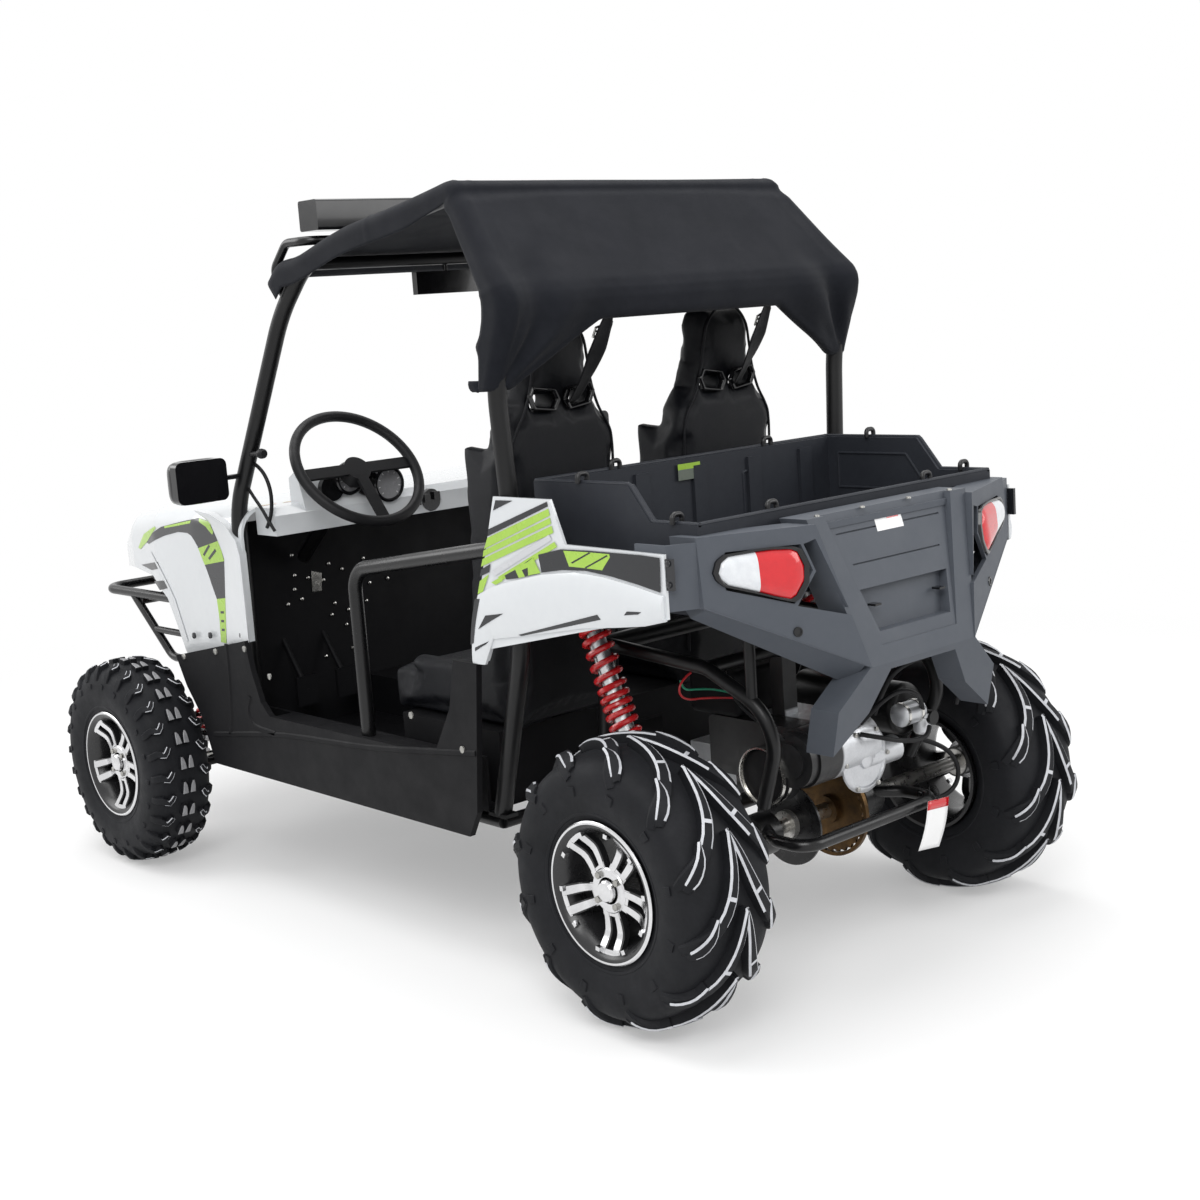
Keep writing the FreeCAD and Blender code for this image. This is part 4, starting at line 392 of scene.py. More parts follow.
@dataclass(frozen=True)
class Finish:
    """A material: two near colours in soft patches, uneven gloss and a fine structure."""

    name: str
    slot: str
    colour: Point
    second: Point
    roughness: float = 0.5
    uneven: float = 0.08
    metallic: float = 0.0
    coat: float = 0.0
    patch: float = 9.0
    pattern: Pattern = Pattern.SMOOTH
    cells: float = 900.0
    depth: float = 0.0002
    sheen: float = 0.0
    specular: float = 0.5
    uses_uv: bool = False

    def material(self) -> bpy.types.Material:
        """The material, made on first use."""
        return bpy.data.materials.get("finish_" + self.name) or self.build().material

    def build(self) -> Graph:
        """Make the node tree.

        Returns:
            The graph, so that a richer finish can add to it.
        """
        g = Graph("finish_" + self.name)
        place = g.node("TexCoord").outputs["UV" if self.uses_uv else "Object"]
        solid = g.node("TexCoord").outputs["Object"]
        patches = g.spread(g.noise(solid, self.patch, 4.0), 0.3, 0.7, 0.0, 1.0)
        speckle = g.spread(g.noise(solid, self.patch * 14, 2.0), 0.35, 0.65, 0.0, 1.0)
        share = g.math("MULTIPLY_ADD", speckle, 0.3, g.math("MULTIPLY", patches, 0.7))
        g.feed(g.shader.inputs["Base Color"], g.mix(share, rgba(self.colour), rgba(self.second)))
        g.feed(g.shader.inputs["Roughness"],
               g.spread(g.noise(solid, self.patch * 3, 5.0), 0.3, 0.7,
                        self.roughness - self.uneven, self.roughness + self.uneven))
        for socket, value in (("Metallic", self.metallic), ("Specular IOR Level", self.specular),
                              ("Coat Weight", self.coat), ("Coat Roughness", 0.06),
                              ("Sheen Weight", self.sheen), ("Sheen Roughness", 0.45)):
            g.shader.inputs[socket].default_value = value
        height = self.relief(g, place)
        if height is not None:
            bump = g.node("Bump", {"Height": height, "Distance": self.depth, "Strength": 0.7})
            g.feed(g.shader.inputs["Normal"], bump.outputs[0])
        return g

    def relief(self, g: Graph, place: bpy.types.NodeSocket) -> "bpy.types.NodeSocket | None":
        """Height field of the pattern, from 0 to 1, or None for a smooth finish."""
        if self.pattern is Pattern.GRAIN:
            return g.noise(place, self.cells, 2.0, 0.6)
        if self.pattern is Pattern.CAST:
            coarse = g.noise(place, self.cells * 0.25, 3.0)
            return g.math("MULTIPLY_ADD", g.noise(place, self.cells, 2.0), 0.5, coarse)
        if self.pattern is Pattern.LEATHER:
            cell = g.node("TexVoronoi", {"Vector": place, "Scale": self.cells},
                          feature="DISTANCE_TO_EDGE").outputs["Distance"]
            return g.spread(cell, 0.0, 0.18, 0.0, 1.0)
        if self.pattern is Pattern.BRUSHED:
            stretched = g.node("Mapping", {"Vector": place, "Scale": (1.0, 0.03, 1.0)}).outputs[0]
            return g.noise(stretched, self.cells, 2.0)
        if self.pattern is Pattern.WEAVE:
            axes = g.node("SeparateXYZ", {0: place})
            turns = self.cells * FULL_TURN / 2
            warp = g.math("SINE", g.math("MULTIPLY", axes.outputs[0], turns))
            weft = g.math("SINE", g.math("MULTIPLY", axes.outputs[1], turns))
            return g.math("MULTIPLY_ADD", g.math("MULTIPLY", warp, weft), 0.5, 0.5)
        return None


@dataclass(frozen=True)
class PartPaintedFinish(Finish):
    """Bright metal with black paint over a part of it, which each kind below gives."""

    paint: Point = (0.008, 0.008, 0.009)

    def build(self) -> Graph:
        """Node tree of the plain finish, with the paint mixed in."""
        g = super().build()
        share = self.painted(g, g.node("TexCoord").outputs["Object"])
        bare = g.shader.inputs["Base Color"].links[0].from_socket
        g.feed(g.shader.inputs["Base Color"], g.mix(share, bare, rgba(self.paint)))
        g.feed(g.shader.inputs["Metallic"], g.spread(share, 0.0, 1.0, self.metallic, 0.0))
        return g


@dataclass(frozen=True)
class EnginePaint(PartPaintedFinish):
    """Paint on the left of the engine and on what stands above its cover."""

    edge: float = 0.062
    top: float = 0.515
    fade: float = 0.003

    def painted(self, g: Graph, place: bpy.types.NodeSocket) -> bpy.types.NodeSocket:
        """1 past a distance to the left or a height, and 0 before both."""
        axes = g.node("SeparateXYZ", {0: place})
        past = [g.spread(axes.outputs[k], limit - self.fade, limit + self.fade, 0.0, 1.0)
                for k, limit in ((1, self.edge), (2, self.top))]
        return g.math("MAXIMUM", *past)


@dataclass(frozen=True)
class AxlePaint(PartPaintedFinish):
    """Paint on what stands further out than the rear axle's bar."""

    radius: float = 0.030
    height: float = 0.2794
    fade: float = 0.001

    def painted(self, g: Graph, place: bpy.types.NodeSocket) -> bpy.types.NodeSocket:
        """1 past a distance from the axle's line."""
        centred = g.node("VectorMath", {0: place, 1: (AXLE_TO_ORIGIN * MILLI, 0, -self.height)},
                         operation="ADD").outputs[0]
        flat = g.node("VectorMath", {0: centred, 1: (1, 0, 1)}, operation="MULTIPLY").outputs[0]
        away = g.node("VectorMath", {0: flat}, operation="LENGTH").outputs["Value"]
        return g.spread(away, self.radius - self.fade, self.radius + self.fade, 0.0, 1.0)


class Finishes:
    """The finishes of the vehicle."""

    frame_black = Finish("frame_black", "frame_black", (0.0045, 0.0045, 0.005), (0.007, 0.007, 0.0075),
                         0.36, 0.08, patch=5, pattern=Pattern.GRAIN, cells=700, depth=0.0001,
                         specular=0.30)
    bumper_black = Finish("bumper_black", "frame_black", (0.004, 0.004, 0.0045), (0.006, 0.006, 0.0065),
                          0.28, 0.06, patch=5, pattern=Pattern.GRAIN, cells=500, depth=0.0001,
                          specular=0.40)
    tail_charcoal = Finish("tail_charcoal", "tail_charcoal", (0.062, 0.070, 0.084),
                           (0.072, 0.080, 0.095), 0.52, 0.05, patch=4, pattern=Pattern.GRAIN,
                           cells=1500, depth=0.00015, specular=0.3)
    bed_dark = Finish("bed_dark", "bed_black", (0.021, 0.023, 0.029), (0.028, 0.031, 0.038), 0.48,
                      0.07, patch=4, pattern=Pattern.GRAIN, cells=1400, depth=0.00016, specular=0.2)
    trim_black = Finish("trim_black", "trim_black", (0.005, 0.005, 0.006), (0.008, 0.008, 0.009),
                        0.56, 0.08, patch=6, pattern=Pattern.GRAIN, cells=1300, depth=0.0002,
                        specular=0.14)
    white_gloss = Finish("white_gloss", "cowl_white", (0.62, 0.64, 0.655), (0.585, 0.605, 0.625), 0.22,
                         0.03, coat=0.6, patch=3)
    gloss_black = Finish("gloss_black", "gloss_black", (0.004, 0.004, 0.005), (0.007, 0.007, 0.008),
                         0.16, 0.03, coat=0.3, patch=7, specular=0.35)
    tyre_side = Finish("tyre_side", "tyre_rubber", (0.007, 0.0075, 0.009), (0.012, 0.0125, 0.015),
                       0.60, 0.07, patch=11, pattern=Pattern.GRAIN, cells=1100, depth=0.0003,
                       specular=0.16)
    # Painted highlight: light grey on the black rubber, standing in for the glint along the lug chamfers.
    lug_edge = Finish("lug_edge", "tyre_rubber", (0.42, 0.43, 0.46), (0.62, 0.63, 0.66), 0.42, 0.08,
                      patch=30)
    # Painted highlight: grey tops of the front centre lugs, standing in for their glint.
    lug_grey = Finish("lug_grey", "tyre_rubber", (0.17, 0.17, 0.18), (0.30, 0.30, 0.31), 0.38, 0.08,
                      patch=40)
    rim_machined = Finish("rim_machined", "rim_alloy", (0.62, 0.62, 0.63), (0.72, 0.72, 0.73), 0.22,
                          0.05, metallic=1.0, patch=12, pattern=Pattern.GRAIN, cells=2500,
                          depth=0.00003)
    rim_black = Finish("rim_black", "rim_alloy", (0.010, 0.010, 0.011), (0.016, 0.016, 0.017), 0.28,
                       0.06, patch=8)
    bright_steel = Finish("bright_steel", "steel_bright", (0.56, 0.55, 0.52), (0.66, 0.65, 0.62),
                          0.24, 0.07, metallic=1.0, patch=20, pattern=Pattern.BRUSHED, cells=900,
                          depth=0.00005)
    bronze = Finish("bronze", "chain_brown", (0.15, 0.085, 0.032), (0.055, 0.035, 0.02), 0.45, 0.1,
                    metallic=0.9, patch=45, pattern=Pattern.CAST, cells=500, depth=0.0002)
    spring_red = Finish("spring_red", "spring_red", (0.55, 0.012, 0.016), (0.64, 0.02, 0.024), 0.26,
                        0.05, coat=0.4, patch=20)
    silver = Finish("silver", "damper_silver", (0.50, 0.50, 0.51), (0.62, 0.62, 0.63), 0.28, 0.06,
                    metallic=1.0, patch=16, pattern=Pattern.GRAIN, cells=900, depth=0.00006)
    cast_alloy = Finish("cast_alloy", "engine_silver", (0.50, 0.51, 0.53), (0.64, 0.65, 0.67), 0.40,
                        0.08, metallic=0.85, patch=22, pattern=Pattern.CAST, cells=800,
                        depth=0.00025)
    engine_paint = EnginePaint("engine_paint", "engine_silver", (0.50, 0.51, 0.53), (0.64, 0.65, 0.67),
                                 0.40, 0.08, metallic=0.85, patch=22, pattern=Pattern.CAST, cells=800,
                                 depth=0.00025)
    axle_steel = AxlePaint("axle_steel", "steel_bright", (0.42, 0.41, 0.39), (0.55, 0.54, 0.52), 0.30,
                            0.08, metallic=1.0, patch=20)
    canopy_cloth = Finish("canopy_cloth", "canopy_fabric", (0.006, 0.007, 0.010),
                          (0.010, 0.011, 0.015), 0.78, 0.06, patch=5, pattern=Pattern.WEAVE,
                          cells=900, depth=0.0003, sheen=0.05, specular=0.12, uses_uv=True)
    vinyl = Finish("vinyl", "seat_vinyl", (0.0035, 0.004, 0.0055), (0.006, 0.0065, 0.009), 0.42, 0.06,
                   patch=7, pattern=Pattern.LEATHER, cells=420, depth=0.0003, specular=0.2)
    webbing = Finish("webbing", "webbing", (0.004, 0.004, 0.005), (0.007, 0.007, 0.009), 0.70, 0.05,
                     patch=20, pattern=Pattern.WEAVE, cells=700, depth=0.0004, sheen=0.05,
                     specular=0.14, uses_uv=True)
    rubber = Finish("rubber", "grip_black", (0.004, 0.004, 0.005), (0.007, 0.007, 0.008), 0.50, 0.08,
                    patch=14, pattern=Pattern.GRAIN, cells=1200, depth=0.00012, specular=0.25)
    hook_steel = Finish("hook_steel", "hook_steel", (0.008, 0.008, 0.009), (0.014, 0.014, 0.015), 0.34,
                        0.08, patch=30, specular=0.4)
    bolt_steel = Finish("bolt_steel", "steel_bright", (0.30, 0.30, 0.29), (0.42, 0.41, 0.38), 0.34,
                        0.08, metallic=1.0, patch=60)
    decal_black = Finish("decal_black", "trim_black", (0.008, 0.009, 0.011), (0.012, 0.013, 0.016), 0.24,
                         0.04, coat=0.4, patch=6, specular=0.35)
    decal_lime = Finish("decal_lime", "cowl_white", (0.30, 0.50, 0.045), (0.35, 0.56, 0.06), 0.28,
                        0.04, coat=0.4, patch=8)
    decal_pale = Finish("decal_pale", "cowl_white", (0.50, 0.51, 0.53), (0.54, 0.55, 0.57), 0.26,
                        0.04, coat=0.4, patch=8)
    label_grey = Finish("label_grey", "cowl_white", (0.10, 0.12, 0.10), (0.13, 0.15, 0.12), 0.4, 0.04,
                        patch=30)
    gauge_face = Finish("gauge_face", "gloss_black", (0.20, 0.20, 0.21), (0.28, 0.28, 0.29), 0.25, 0.05,
                        coat=0.6, patch=30)
    lamp_red = Finish("lamp_red", "tail_lamp_red", (0.60, 0.006, 0.012), (0.52, 0.004, 0.010), 0.14, 0.03,
                      coat=0.6, patch=60)
    lamp_white = Finish("lamp_white", "cowl_white", (0.72, 0.74, 0.76), (0.60, 0.62, 0.65), 0.14, 0.04,
                        coat=0.6, patch=60)
    lamp_lens = Finish("lamp_lens", "headlamp_lens", (0.55, 0.60, 0.64), (0.40, 0.44, 0.48), 0.10, 0.03,
                       metallic=0.5, coat=0.8, patch=40)
    wire_green = Finish("wire_green", "grip_black", (0.01, 0.22, 0.12), (0.01, 0.26, 0.14), 0.35,
                        0.05)
    wire_red = Finish("wire_red", "grip_black", (0.42, 0.01, 0.02), (0.48, 0.02, 0.02), 0.35, 0.05)
    blank_card = Finish("blank_card", "cowl_white", (0.80, 0.80, 0.80), (0.84, 0.84, 0.84), 0.5,
                        0.05, patch=20)


@dataclass(frozen=True)
class TyreSection:
    """Half section of a tyre: (distance from the middle, radius) from crown to bead."""

    half: Outline

    def profile(self, count: int) -> np.ndarray:
        """Whole section as `count` even points of (across, radius), from -y to +y."""
        right = spline(np.array(self.half), 160)
        whole = np.concatenate([right[::-1] * [-1, 1], right[1:]])
        return evenly(whole, count)

    def surface(self, across: np.ndarray, turn: np.ndarray, height: np.ndarray) -> np.ndarray:
        """Points over the tyre in (x, y, z) about the wheel's centre.

        The section is read at an arc length from the crown, moved out along its own
        normal by the height, and turned about y.

        Args:
            across: arc length from the crown in millimetres, positive towards +y.
            turn: angle about the axle in radians.
            height: distance out from the carcass.

        Returns:
            Array of the same shape with x, y, z added.
        """
        line = self.profile(401)
        run = np.concatenate([[0], np.cumsum(np.linalg.norm(np.diff(line, axis=0), axis=1))])
        run -= run[-1] / 2
        slope = unit(np.gradient(line, axis=0))
        y = np.interp(across, run, line[:, 0])
        r = np.interp(across, run, line[:, 1])
        normal_y = -np.interp(across, run, slope[:, 1])
        normal_r = np.interp(across, run, slope[:, 0])
        y = y + normal_y * height
        r = r + normal_r * height
        return np.stack([r * np.sin(turn), y, r * np.cos(turn)], axis=-1)


@dataclass(frozen=True)
class Lug:
    """One tread block: a bent strip with chamfered edges, repeated round the tyre."""

    across: "tuple[float, ...]"
    turn_deg: "tuple[float, ...]"
    half_width: "tuple[float, ...]"
    height: "tuple[float, ...]"
    chamfer: float = 4.0
    rows: int = 11
    # Share of the strip from its start along which the chamfers carry the painted highlight.
    bright: float = 1.0
    # Cross row: a narrow band across the top in the painted highlight.
    cross: float = 0.0
    cross_width: float = 0.025
    foot: float = 2.0

    def shares(self) -> np.ndarray:
        """Shares of the strip's length at its rows, with a narrow row at its cross line."""
        even = np.linspace(0, 1, self.rows)
        if self.cross:
            even = np.sort(np.append(even, [self.cross, self.cross + self.cross_width]))
        return even

    def grid(self, section: TyreSection, turns: np.ndarray, flip: int,
             crown_radius: float) -> np.ndarray:
        """Grids of all the copies.

        Along the strip the four tables are read by a smooth curve. Across it the
        six stations are the foot, the chamfer's lower and upper edge, and the same
        on the far side, set off square to the strip's own middle line.

        Args:
            section: the tyre's section.
            turns: angle of each copy in radians.
            flip: 1, or -1 for the mirror image across the tyre's middle.
            crown_radius: radius at which angles are turned into arc length.

        Returns:
            Points (copies, rows, 6, 3) about the wheel's centre.
        """
        table = np.stack([self.across, np.radians(self.turn_deg) * crown_radius,
                          self.half_width, self.height], axis=1)
        line = spline(table, 201)[(self.shares() * 200).astype(int)]
        along = unit(np.gradient(line[:, :2], axis=0))
        side = np.stack([-along[:, 1], along[:, 0]], axis=-1)
        wide = np.array([-1.0, -1.0, -1.0, 1.0, 1.0, 1.0])
        inset = np.array([-1.5, 0.0, self.chamfer, self.chamfer, 0.0, -1.5])
        offset = wide * (line[:, 2:3] - inset)
        flat = line[:, None, :2] + offset[..., None] * side[:, None, :]
        top = line[:, 3:4]
        shoulder, foot = top - self.chamfer * 0.7, np.full_like(top, -self.foot)
        height = np.concatenate([foot, shoulder, top, top, shoulder, foot], axis=1)
        all_turns = turns[:, None, None] + flat[None, ..., 1] / crown_radius
        return section.surface(np.broadcast_to(flat[..., 0] * flip, all_turns.shape), all_turns,
                               np.broadcast_to(height, all_turns.shape))


def add_lugs(shape: Shape, lug: Lug, points: np.ndarray, mirrored: bool, top: int, edge: int,
             centre: np.ndarray) -> None:
    """Add copies of a lug: chamfers in one finish, on the tread a painted highlight, top and walls in
    others, ends closed.

    Args:
        shape: the piece under construction.
        lug: the block that was repeated.
        points: (copies, rows, 6, 3) grids about the wheel's centre.
        mirrored: whether the grid was mirrored, so that faces turn the other way.
        top: finish of the top face; on the front centre lugs it is a painted glint.
        edge: finish of the chamfers; on the tread it is the painted highlight, which also marks the top's
            cross row and the far end face.
        centre: the wheel's centre.
    """
    copies, rows, cols = points.shape[:3]
    index = np.arange(rows * cols).reshape(rows, cols)
    quads = np.stack([index[:-1, :-1], index[:-1, 1:], index[1:, 1:], index[1:, :-1]], axis=-1)
    kinds = np.tile(np.array([0, edge, top, edge, 0]), (rows - 1, 1))
    start = lug.shares()[:-1]
    # Past the highlight share the chamfers are plain rubber; the cross row's top gets the painted
    # highlight.
    kinds[start > lug.bright] = np.array([0, 0, top, 0, 0])
    if lug.cross:
        kinds[np.isclose(start, lug.cross), 2] = edge
    ends = np.array([[index[0, k] for k in (0, 1, 4, 5)], [index[0, k] for k in (1, 2, 3, 4)],
                     [index[-1, k] for k in (5, 4, 1, 0)], [index[-1, k] for k in (4, 3, 2, 1)]])
    faces = np.concatenate([quads.reshape(-1, 4), ends[:, ::-1]])
    # The far end face carries the painted highlight only when the whole strip does.
    far = edge if lug.bright >= 1 else 0
    finishes = np.concatenate([kinds.ravel(), np.array([0, edge, 0, far])])
    if mirrored:
        faces = faces[:, ::-1]
    step = rows * cols
    every = faces[None] + step * np.arange(copies)[:, None, None]
    flat = points.reshape(-1, 3) + centre
    for kind in np.unique(finishes):
        shape.add(flat, every[:, finishes == kind].reshape(-1, 4), int(kind))


# Tyre finishes: plain rubber, painted highlight on the chamfers, painted glint on the front centre lugs.
SIDE, EDGE_HIGHLIGHT, GREY_GLINT = 0, 1, 2
BLACK, MACHINED, STEEL = 0, 1, 2


@dataclass
class Wheel:
    """A tyre with its tread and a rim, at one corner of the vehicle."""

    name: str
    body: str
    centre: Point
    rear: bool

    REAR = TyreSection(((0, 258.5), (42, 256.5), (78, 250), (98, 239), (107, 224), (110.5, 203),
                        (109, 180), (103, 158), (95, 140), (90, 130.5)))
    FRONT = TyreSection(((0, 253.0), (30, 251.5), (55, 246.5), (71, 236), (80, 220), (84, 200),
                         (83.5, 178), (78, 154), (72, 138), (68, 130.5)))
    # Rear lugs: painted highlight on the chamfers over the highlight share, and across the LONG lug's top
    # at its cross row.
    LONG = Lug((-1.5, 5, 14, 26, 44, 68, 96, 124), (1, -5, -13, -21, -29, -36, -41, -45),
               (3, 7, 9, 10.5, 11.5, 13, 14.5, 10), (20.5, 20.8, 20.8, 20.4, 19.5, 15.5, 9, 3.5),
               rows=15, bright=0.62, cross=0.47)
    SHORT = Lug((64, 74, 90, 108), (-30, -37, -43, -47), (3.5, 9, 11, 8), (19, 18, 12, 5), rows=8,
                bright=0.75)
    # Front lugs: centre lugs in painted glint all over; shoulder lugs with the painted highlight on their
    # chamfers' first share.
    CENTRE = Lug((12, 10.5, 9.5), (2.4, 0, -4.2), (2.2, 5.6, 7.6), (13, 13.4, 12.8), chamfer=1.6, rows=7)
    SHOULDER = Lug((38, 50, 64, 80, 92), (3.2, -0.8, 0.8, -0.4, -0.4), (5, 7, 8, 9, 8),
                   (12.4, 12.8, 11.5, 6.5, 3), chamfer=1.8, rows=9, bright=0.30)

    BEAD = np.array([(0, 0), (-3, -3.5), (-12, -4)], float)
    RIDGE = np.array([(0, -0.3), (1.5, 1.4), (4, 1.8), (6.5, 1.4), (8, -0.3)])
    RIDGE_FROM_BEAD = 26.0
    STEPS = 120
    KNOB_RADIUS = 220.0

    def lugs(self) -> "list[tuple[Lug, int, float, int, int]]":
        """Each kind of lug with its number round the tyre, its offset and its finishes."""
        if self.rear:
            # Rear: chamfers in the painted highlight.
            return [(self.LONG, 12, 0.0, SIDE, EDGE_HIGHLIGHT), (self.SHORT, 12, 0.0, SIDE, EDGE_HIGHLIGHT)]
        # Front: centre lugs in painted glint all over, shoulder chamfers in the painted highlight.
        return [(self.CENTRE, 26, 0.0, GREY_GLINT, GREY_GLINT), (self.SHOULDER, 26, 6.0, SIDE, EDGE_HIGHLIGHT)]

    def dress(self) -> None:
        """Build the tyre: carcass with rim protector and beads, sidewall knobs, and tread."""
        section = self.REAR if self.rear else self.FRONT
        crown = section.half[0][1]
        centre = np.array(self.centre)
        shape = Shape()
        line = section.profile(61)
        shape.turned(line, 1, self.centre, self.STEPS, flip=True)
        run = np.linspace(0, FULL_TURN, self.STEPS, endpoint=False)
        base = 0.5 * np.sum(np.linalg.norm(np.diff(line, axis=0), axis=1)) - self.RIDGE_FROM_BEAD
        for sign in (1, -1):
            shape.turned((line[-1] + self.BEAD) * [sign, 1], 1, self.centre, self.STEPS, flip=sign < 0)
            across, turn, height = np.broadcast_arrays(sign * (base + self.RIDGE[:, :1]), run,
                                                       self.RIDGE[:, 1:])
            shape.grid(section.surface(across, turn, height) + centre, True, flip=sign > 0)
        for lug, count, offset, top, edge in self.lugs():
            turns = np.linspace(0, FULL_TURN, count, endpoint=False)
            for flip in (1, -1):
                points = lug.grid(section, turns + math.radians(offset), flip, crown)
                add_lugs(shape, lug, points, flip < 0, top, edge, centre)
        self.knobs(shape, section, centre)
        # Plain rubber, the chamfers' painted highlight, and the front centre lugs' painted glint.
        finishes = (Finishes.tyre_side, Finishes.lug_edge, Finishes.lug_grey)
        tyre = shape.piece("tread_" + self.name, finishes, self.body, crease=32, merge=0)
        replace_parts(tyre, "tyre_" + self.name)

    def knobs(self, shape: Shape, section: TyreSection, centre: np.ndarray) -> None:
        """Low rectangular blocks high on each sidewall."""
        count, across, wide = (12, (139, 148, 157), (9, 9.5, 8)) if self.rear else (
            20, (101, 107, 113), (6, 6.5, 6))
        block = Lug(across, (0, 0.2, 0.4), wide, (2.6, 2.8, 2.2), chamfer=1.2, rows=4)
        for flip in (1, -1):
            turns = np.linspace(0, FULL_TURN, count, endpoint=False) + math.radians(14)
            points = block.grid(section, turns, flip, self.KNOB_RADIUS)
            add_lugs(shape, block, points, flip > 0, 0, 0, centre)


@dataclass
class Rim:
    """Black rim with machined lip and five split spokes, open between them."""

    name: str
    body: str
    centre: Point
    side: Mirror
    half: float

    SPOKES = 5
    SPOKE_TURN = -0.35
    REACH = (30.0, 120.0)
    DISH = 27.0
    CHAMFER = 2.0
    DEPTH = 16.0
    NUTS = 4
    NUT_TURN = 0.9
    NUT_RING = 34.0
    TABS = 10
    TAB_TURN = 0.5

    def dress(self) -> None:
        """Barrel, lip, spokes, hub and nuts, as one piece in place of the plain rim."""
        shape = Shape()
        self.barrel(shape)
        for angle in np.linspace(0, FULL_TURN, self.SPOKES, endpoint=False):
            self.spoke(shape, angle + self.SPOKE_TURN)
        self.hub(shape)
        if self.half > 90:
            self.tabs(shape)
        finishes = (Finishes.rim_black, Finishes.rim_machined, Finishes.bolt_steel)
        made = shape.piece("wheel_rim_" + self.name, finishes, self.body, crease=30, merge=0, tidy=True)
        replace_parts(made, "rim_" + self.name)

    def outwards(self, profile: Outline) -> np.ndarray:
        """Profile about y of one whose distances are given outwards from the wheel's middle."""
        return np.array(profile) * [self.side.value, 1]

    def barrel(self, shape: Shape) -> None:
        """Turned barrel with both lips; the outer lip's face is machined."""
        h = self.half
        profile = self.outwards((
            (-h, 127), (-h, 120), (-h + 12, 113), (-h + 20, 108), (0, 104), (h - 30, 108), (h - 14, 114),
            (h - 8, 119), (h - 3, 123), (h - 0.5, 127), (h + 0.6, 131), (h + 0.6, 135), (h - 1.5, 137.5),
            (h - 6, 136), (h - 12, 119), (0, 112), (-h + 18, 119), (-h + 8, 126), (-h, 127)))
        for part, finish in ((profile[:11], BLACK), (profile[10:14], MACHINED), (profile[13:], BLACK)):
            shape.turned(part, 1, self.centre, 96, finish)

    def spoke(self, shape: Shape, angle: float) -> None:
        """Two bars with a slot between, joined at the hub and at the lip.

        A bar's cross section is a box whose outer edges are cut off, and its face falls
        from the hub to the middle and rises again to the lip.
        """
        reach = np.linspace(*self.REACH, 12)
        share = (reach - self.REACH[0]) / 87
        section = ((-1, self.DEPTH), (-1, self.CHAMFER), (-0.72, 0), (0.72, 0), (1, self.CHAMFER),
                   (1, self.DEPTH))
        for hand in (-1, 1):
            middle, width = hand * (12.5 + 7.0 * share), 8.2 + 3.2 * share
            rows = np.stack([np.stack([reach, middle + w * width, self.face(reach) - down], axis=-1)
                             for w, down in section], axis=1)
            grid = self.place(rows, angle)
            shape.grid(grid[:, :3]).grid(grid[:, 2:4], finish=MACHINED)
            shape.grid(grid[:, 3:]).grid(grid[:, [0, 5]])
        for low, high, near, far in ((30, 50, 20.6, 22.8), (110, 122, 29.8, 31.4)):
            reach, wide = np.linspace((low, near), (high, far), 4).T
            rows = np.stack([np.stack([reach, w * wide, self.face(reach) - 0.4 - down], axis=-1)
                             for w, down in ((-1, 14), (-1, 0), (1, 0), (1, 14))], axis=1)
            grid = self.place(rows, angle)
            shape.grid(grid[:, 1:3], finish=MACHINED)
            shape.grid(grid[:, [0, 1]]).grid(grid[:, [2, 3]]).grid(grid[:, [3, 0]])
            shape.grid(grid[[0, -1]][:, :2]).grid(grid[[0, -1]][:, 2:])

    def face(self, reach: np.ndarray) -> np.ndarray:
        """How far out a spoke's face stands: it falls by 4 from the hub and rises by 20 to the lip."""
        return (self.half - self.DISH + 20 * smooth_step(reach, 78, 121)
                + 4 * (1 - smooth_step(reach, 30, 70)))

    def place(self, rows: np.ndarray, angle: float) -> np.ndarray:
        """Points of (reach, sideways, outwards) turned to an angle round the wheel's centre."""
        reach, aside, out = rows[..., 0], rows[..., 1], rows[..., 2]
        x = reach * math.cos(angle) - aside * math.sin(angle)
        z = reach * math.sin(angle) + aside * math.cos(angle)
        return np.stack([x, out * self.side.value, z], axis=-1) + self.centre

    def hub(self, shape: Shape) -> None:
        """Stepped hub with a cap, and nuts in seats round it."""
        h = self.half
        disc = ((h - 62, 20), (h - 62, 44), (h - 24, 44), (h - 21.5, 41.5), (h - 21.5, 26))
        cap = ((h - 21.5, 22), (h - 14, 21), (h - 11, 18), (h - 10, 12), (h - 9.2, POLE))
        for profile in (disc, cap):
            shape.turned(self.outwards(profile), 1, self.centre, 48, MACHINED)
        nut = self.outwards(((h - 22, 7.2), (h - 15.5, 7.0), (h - 14.5, 5.8), (h - 14.5, POLE)))
        for angle in np.linspace(0, FULL_TURN, self.NUTS, endpoint=False) + self.NUT_TURN:
            spot = self.place(np.array([[self.NUT_RING, 0, 0]]), angle)[0]
            shape.turned(nut, 1, spot, 6, STEEL)

    def tabs(self, shape: Shape) -> None:
        """Small machined blocks inside the lip."""
        ring = ((-5, -14), (-5, -3.5), (5, -3.5), (5, -14))
        rows = np.array([[(reach, aside, self.half + out) for aside, out in ring]
                         for reach in (110, 118.5)])
        for angle in np.linspace(0, FULL_TURN, self.TABS, endpoint=False) + self.TAB_TURN:
            shape.grid(self.place(rows, angle), True, MACHINED, True)


